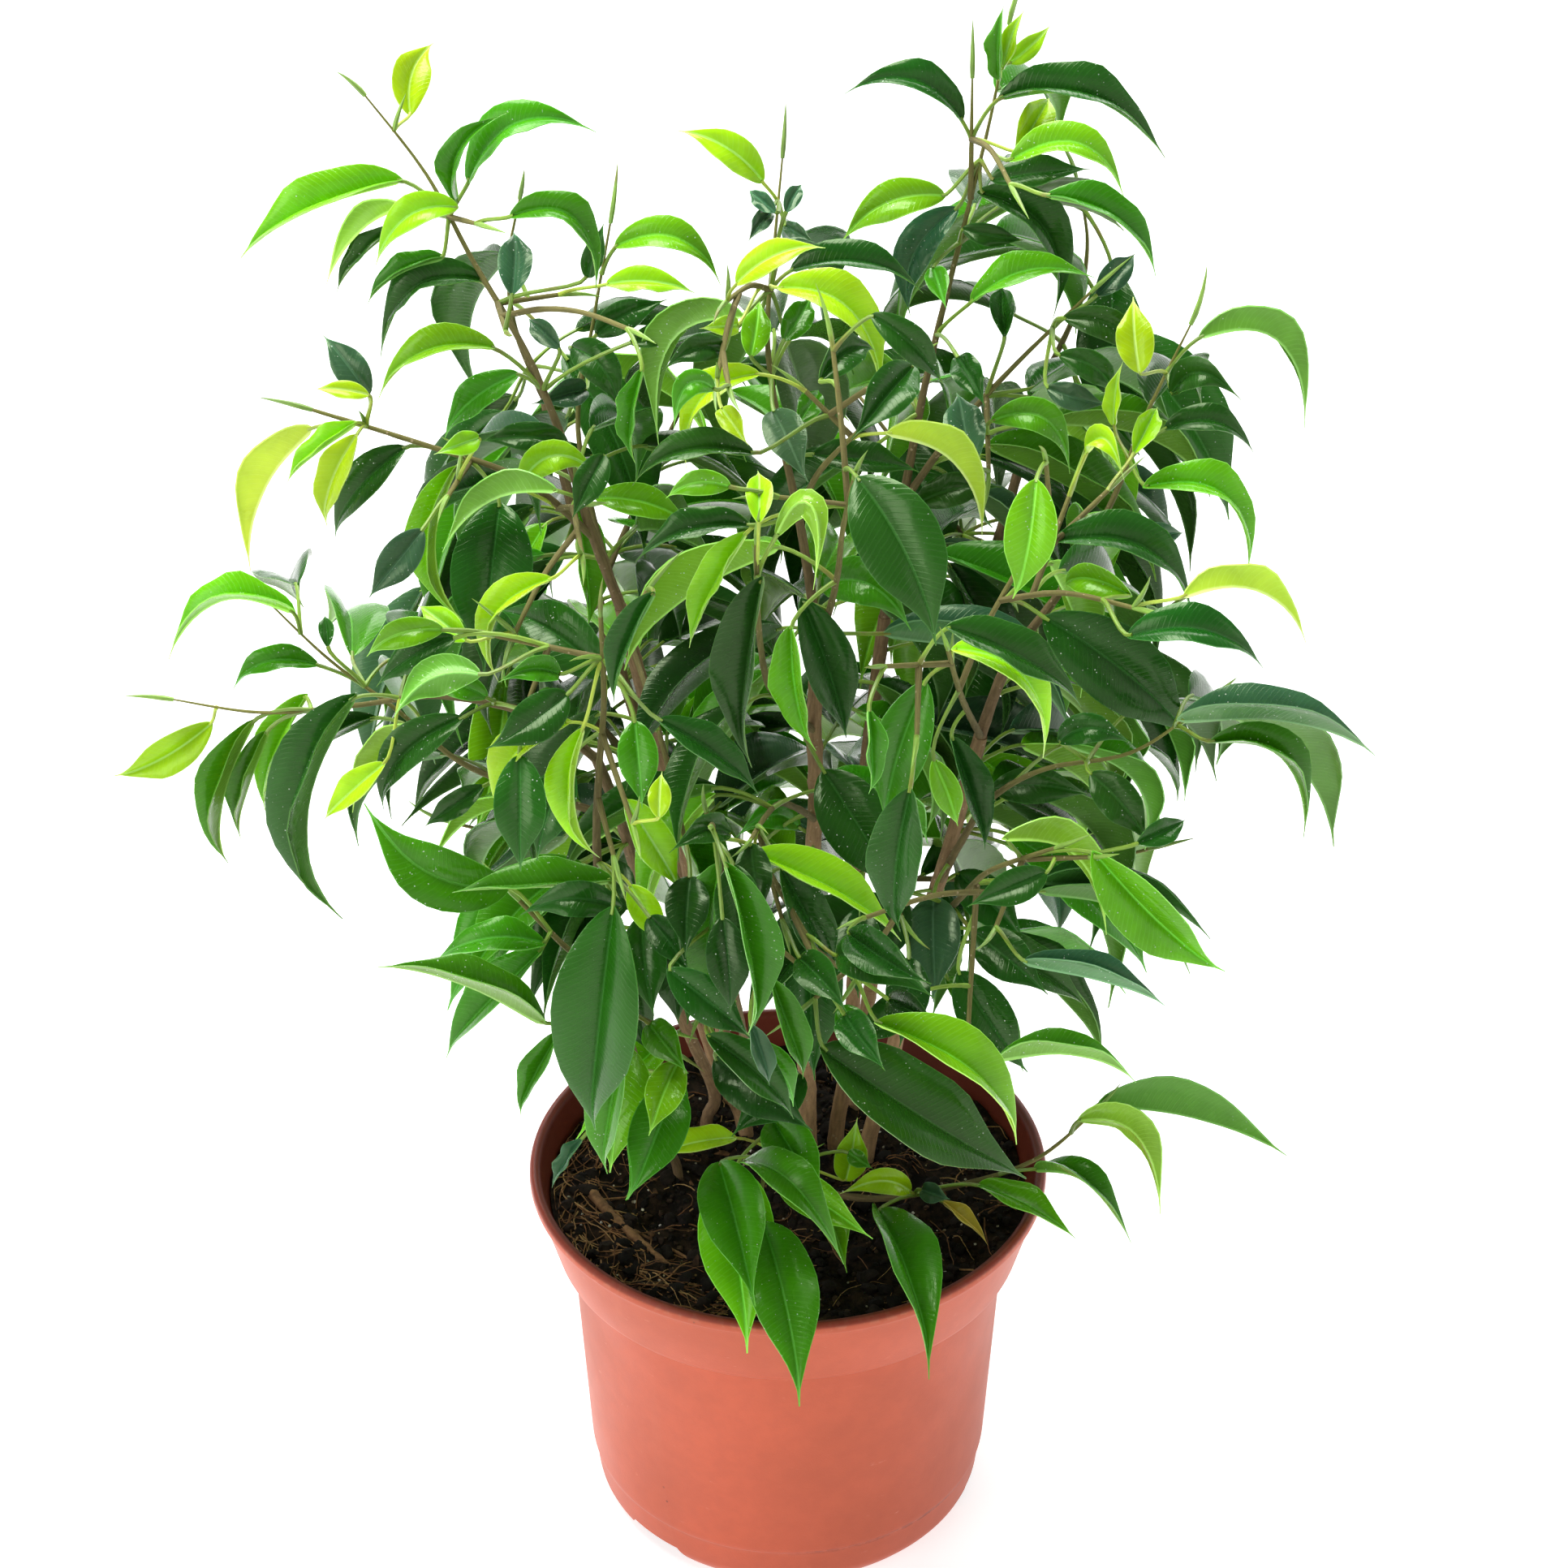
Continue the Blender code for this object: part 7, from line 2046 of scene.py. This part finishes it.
def make_pot():
    """The pot's thin shell, with rounded edges and its drain notches."""
    shape = rounded([*pot_inside(), *pot_wall()], CORNER_ROUNDING, CORNER_STEPS)
    outline = [(0.0, FLOOR), *shape, (BASE_RADIUS * FLAT_BASE, 0.0), (0.0, 0.0)]
    points, faces = turned_mesh(outline, POT_FINE_STEPS)
    mesh = bpy.data.meshes.new("pot_shell")
    mesh.from_pydata([tuple(c * MM for c in p) for p in points], [], faces)
    thing = linked("pot_shell", mesh)
    cutters = [notch_cutter(i, angle) for i, angle in enumerate(NOTCH_ANGLES)]
    for cutter in cutters:
        cut = thing.modifiers.new(cutter.name, "BOOLEAN")
        cut.operation = "DIFFERENCE"
        cut.object = cutter
    graph = bpy.context.evaluated_depsgraph_get()
    done = bpy.data.meshes.new_from_object(thing.evaluated_get(graph))
    for gone in (thing, *cutters):
        bpy.data.objects.remove(gone, do_unlink=True)
    done.materials.clear()
    done.materials.append(pot_look())
    done.shade_smooth()
    done.set_sharp_from_angle(angle=POT_SHARP_EDGE)
    placed("nursery_pot", done, "pot")


def soil_height(x, y):
    """Height of the crumbly surface, in millimetres."""
    inwards = min(1.0, max(0.0, (soil_edge() - math.hypot(x, y)) / SOIL_EDGE_FADE))
    height = soil_level() + inwards * soil_bump(x, y)
    for size, rise in SOIL_ROUGHNESS:
        height += rise * noise.noise(Vector((x / size, y / size, size)))
    return height


def make_soil():
    """The body of soil in the pot, with a crumbly top."""
    level = soil_level()
    edge = soil_edge()
    outline = [(0.0, level)]
    outline += [(edge * (i + 1) / SOIL_FINE_RINGS, level) for i in range(SOIL_FINE_RINGS)]
    for radius, height in reversed(pot_inside()):
        if height < level:
            outline.append((radius - SOIL_GAP, max(height, FLOOR + SOIL_GAP)))
    outline.append((0.0, FLOOR + SOIL_GAP))
    points, faces = turned_mesh(outline, SOIL_FINE_STEPS)
    points = [
        (x, y, soil_height(x, y)) if z > level - SOIL_SURFACE else (x, y, z) for x, y, z in points
    ]
    gathered = Gathered()
    gathered.add(points, [face[::-1] for face in faces])
    piece("potting_soil", gathered, soil_look(), "soil")


def ball(divisions):
    """Points and faces of a ball of radius 1."""
    work = bmesh.new()
    bmesh.ops.create_icosphere(work, subdivisions=divisions, radius=1.0)
    points = np.array([tuple(v.co) for v in work.verts])
    faces = [tuple(v.index for v in f.verts) for f in work.faces]
    work.free()
    return points, faces


def scattered(draw, most):
    """A place on the soil, evenly over it, no further out than this share of its edge."""
    reach = soil_edge() * most * math.sqrt(draw.random())
    turn = draw.uniform(0.0, 2 * math.pi)
    return reach * math.cos(turn), reach * math.sin(turn)


def add_lump(gathered, shape, size, squash, draw, tint):
    """An uneven lump that rests on the soil."""
    points, faces = shape
    rough = 1.0 + np.array([draw.gauss(0.0, LUMP_UNEVEN) for _ in points])
    points = points * rough[:, None] * size * np.array(squash)
    spin, tilt = draw.uniform(0.0, 2 * math.pi), draw.gauss(0.0, LUMP_TILT)
    sine, cosine = math.sin(spin), math.cos(spin)
    turn = np.array(((cosine, -sine, 0), (sine, cosine, 0), (0, 0, 1)))
    sine, cosine = math.sin(tilt), math.cos(tilt)
    lean = np.array(((cosine, 0, sine), (0, 1, 0), (-sine, 0, cosine)))
    x, y = scattered(draw, LUMP_REACH)
    rest = np.array((x, y, soil_height(x, y) + LUMP_RAISED * size * squash[2]))
    tint = shaded(tint, LUMP_TONE_SPREAD, draw)
    gathered.add(points @ lean.T @ turn.T + rest, faces, tint=tint)


def add_bits(gathered, kind, draw):
    """Loose bits of one kind, strewn over the soil."""
    count, divisions, sizes, form, tones = kind
    shape = ball(divisions)
    for _ in range(count):
        tint = linear(draw.choice(tones))
        add_lump(gathered, shape, draw.uniform(*sizes), form, draw, tint)


def make_crumbs():
    """Crumbs, lumps and chips of peat and bark, and pale grit."""
    draw = random.Random(SOIL_SEED)
    crumbs, grit = Gathered(), Gathered()
    for kind in CRUMB_KINDS:
        add_bits(crumbs, kind, draw)
    piece("soil_crumbs", crumbs, tinted_look("crumb", 0.95, 700.0, 0.5), "soil")
    add_bits(grit, GRIT_KIND, draw)
    piece("soil_grit", grit, tinted_look("grit", 0.7, 900.0, 0.75), "soil")


def add_fibre(gathered, x, y, way, bend, draw):
    """A loose fibre that winds over the soil and arches off it a little."""
    step = draw.uniform(*FIBRE_STEP)
    rise = draw.uniform(*FIBRE_RISE)
    limit = inner_radius(soil_level()) - FIBRE_MARGIN
    line = []
    for i in range(FIBRE_STEPS):
        inside = min(1.0, limit / max(math.hypot(x, y), 1e-6))
        arch = math.sin(math.pi * i / (FIBRE_STEPS - 1)) * rise
        place = (x * inside, y * inside)
        line.append((*place, soil_height(*place) + FIBRE_LIFT + arch))
        x, y = x + step * math.cos(way), y + step * math.sin(way)
        way += bend + draw.gauss(0.0, FIBRE_WINDING)
    thick = draw.uniform(*FIBRE_RADIUS)
    points, faces, _ = tube(line, np.linspace(thick, thick / 2, FIBRE_STEPS), FIBRE_SIDES)
    gathered.add(points, faces, tint=(*linear(draw.choice(FIBRE_TONES)), 1.0))


def make_roots():
    """Loose fibres and a few thicker roots on the soil."""
    draw = random.Random(SOIL_SEED + 1)
    gathered = Gathered()
    for _ in range(FIBRES):
        x, y = scattered(draw, FIBRE_REACH)
        way, bend = draw.uniform(0.0, 2 * math.pi), draw.gauss(0.0, FIBRE_BEND_SPREAD)
        add_fibre(gathered, x, y, way, bend, draw)
    for _ in range(TANGLE):
        turn = math.radians(draw.uniform(*TANGLE_TURNS))
        reach = inner_radius(soil_level()) * draw.uniform(*TANGLE_REACH)
        way = turn + math.pi / 2 + draw.gauss(0.0, TANGLE_WAY_SPREAD)
        x, y = reach * math.cos(turn), reach * math.sin(turn)
        bend = TANGLE_BEND + draw.gauss(0.0, TANGLE_BEND_SPREAD)
        add_fibre(gathered, x, y, way, bend, draw)
    for *places, thick in ROOTS:
        line = []
        for across, down in places:
            x, y = on_soil(across, down)
            line.append(np.array((x, y, soil_height(x, y) + thick * ROOT_RAISED)))
        line, sizes = smooth_line(line, (thick, thick * ROOT_TAPER), ROOT_STEP)
        from_start = np.linspace(ROOT_END, 1.0, len(sizes))
        ends = np.minimum(1.0, ROOT_END_GROWTH * np.minimum(from_start, from_start[::-1]))
        uneven = [
            size * end * (1.0 + draw.gauss(0.0, ROOT_UNEVEN)) for size, end in zip(sizes, ends)
        ]
        points, faces, _ = tube(line, uneven, ROOT_SIDES)
        gathered.add(points, faces, tint=(*linear(draw.choice(ROOT_TONES)), 1.0))
    piece("soil_roots", gathered, tinted_look("root", 0.85, 500.0, 0.6), "soil")


def make_plant():
    """Every leafy stem: wood, stalks with shoot tips, and old and young leaves."""
    thicket = grow()
    draw = random.Random(LEAF_SEED)
    lines = branch_lines()
    old_look = leaf_look(
        "leaf_old", vein=(1.7, 0.9, 0.14), midrib=(2.5, 0.85, 0.58), edge=(2.6, 0.85, 0.52),
        dust=0.85, roughness=0.19, soft=0.12,
    )
    young_look = leaf_look(
        "leaf_young", vein=(1.25, 0.9, 0.14), midrib=(1.5, 0.7, 0.7), edge=(1.4, 0.75, 0.45),
        dust=0.0, roughness=0.21, soft=0.27,
    )
    bark, stalks_look = bark_look(), stalk_look()
    for stem in (*TRUNKS, *BACK_TRUNKS):
        label = stem.removeprefix("leafy_stem_")
        wood, green, old, young = Gathered(), Gathered(), Gathered(), Gathered()
        shoots = []
        for name, line, radii, leafy in lines:
            if name == stem:
                slimness = BRANCH_SLIMNESS if leafy else SLIM_TRUNKS.get(stem, WOOD_SLIMNESS)
                shoots.append((line, radii, slimness, WOOD_SIDES, leafy))
        for name, line, radii in thicket.twigs:
            if name == stem:
                shoots.append((line, radii, TWIG_SLIMNESS, TWIG_SIDES, True))
        wood_points = []
        for line, radii, slimness, sides, budding in shoots:
            fine = add_wood(wood, line, [radius * slimness for radius in radii], sides, draw)
            wood_points.append(fine)
            if budding:
                add_spike(green, fine[-1], unit(fine[-1] - fine[-2]), draw)
        wood_points = np.concatenate(wood_points)
        for leaf in thicket.leaves:
            if leaf.stem != stem:
                continue
            add_stalk(green, leaf, wood_points, draw)
            tone = leaf.tone.removesuffix("_under")
            if draw.random() < SPIKES_BY_LEAVES.get(tone, 0.0):
                start = nearest(wood_points, leaf.root)
                add_spike(green, start, unit(unit(leaf.foot - start) + SPIKE_RISE), draw)
            add_leaf(young if tone in YOUNG else old, leaf, draw)
        piece(f"wood_{label}", wood, bark, stem)
        piece(f"stalks_{label}", green, stalks_look, stem)
        piece(f"leaves_{label}", old, old_look, stem)
        if young.count:
            piece(f"young_leaves_{label}", young, young_look, stem)


def soft_box(name, place, aim, size, power):
    """A wide lamp, in metres and watts, that faces a point."""
    light = bpy.data.lights.new(name, "AREA")
    light.shape = "RECTANGLE"
    light.size, light.size_y = size
    light.energy = power
    lamp = linked(name, light)
    lamp.location = place
    lamp.rotation_euler = (Vector(aim) - Vector(place)).to_track_quat("-Z", "Y").to_euler()


def studio_world():
    """White near the horizon, as a backdrop is, and dimmer above."""
    world = bpy.data.worlds.new("studio")
    world.use_nodes = True
    nodes, links = world.node_tree.nodes, world.node_tree.links
    direction = nodes.new("ShaderNodeTexCoord").outputs["Generated"]
    split = nodes.new("ShaderNodeSeparateXYZ")
    links.new(direction, split.inputs[0])
    fade = nodes.new("ShaderNodeMapRange")
    fade.interpolation_type = "SMOOTHSTEP"
    for name, value in zip(("From Min", "From Max", "To Min", "To Max"), WORLD_FADE):
        fade.inputs[name].default_value = value
    links.new(split.outputs["Z"], fade.inputs["Value"])
    background = nodes["Background"]
    background.inputs["Color"].default_value = (1.0, 1.0, 1.0, 1.0)
    links.new(fade.outputs["Result"], background.inputs["Strength"])
    return world


def make_studio():
    """Pale floor, white surroundings and soft lamps."""
    bpy.ops.mesh.primitive_plane_add(size=FLOOR_SIZE, location=(0.0, 0.0, 0.0))
    floor = bpy.context.object
    floor.name = "floor"
    floor.data.materials.append(floor_look())
    bpy.context.scene.world = studio_world()
    for name, settings in LAMPS.items():
        soft_box(name, *settings)
    bpy.context.scene.view_settings.view_transform = "Standard"


def make_camera():
    data = bpy.data.cameras.new("camera")
    data.sensor_width = SENSOR
    data.lens = VIEW_PIXELS * SENSOR / (2 * VIEW_MIDDLE)
    data.clip_start = 0.01
    camera = linked("camera", data)
    camera.location = (VIEW_X * MM, VIEW_Y * MM, VIEW_Z * MM)
    camera.rotation_euler = (math.pi / 2 - VIEW_DOWN, 0.0, 0.0)
    bpy.context.scene.camera = camera


make_studio()
make_camera()
make_pot()
make_soil()
make_crumbs()
make_roots()
make_plant()
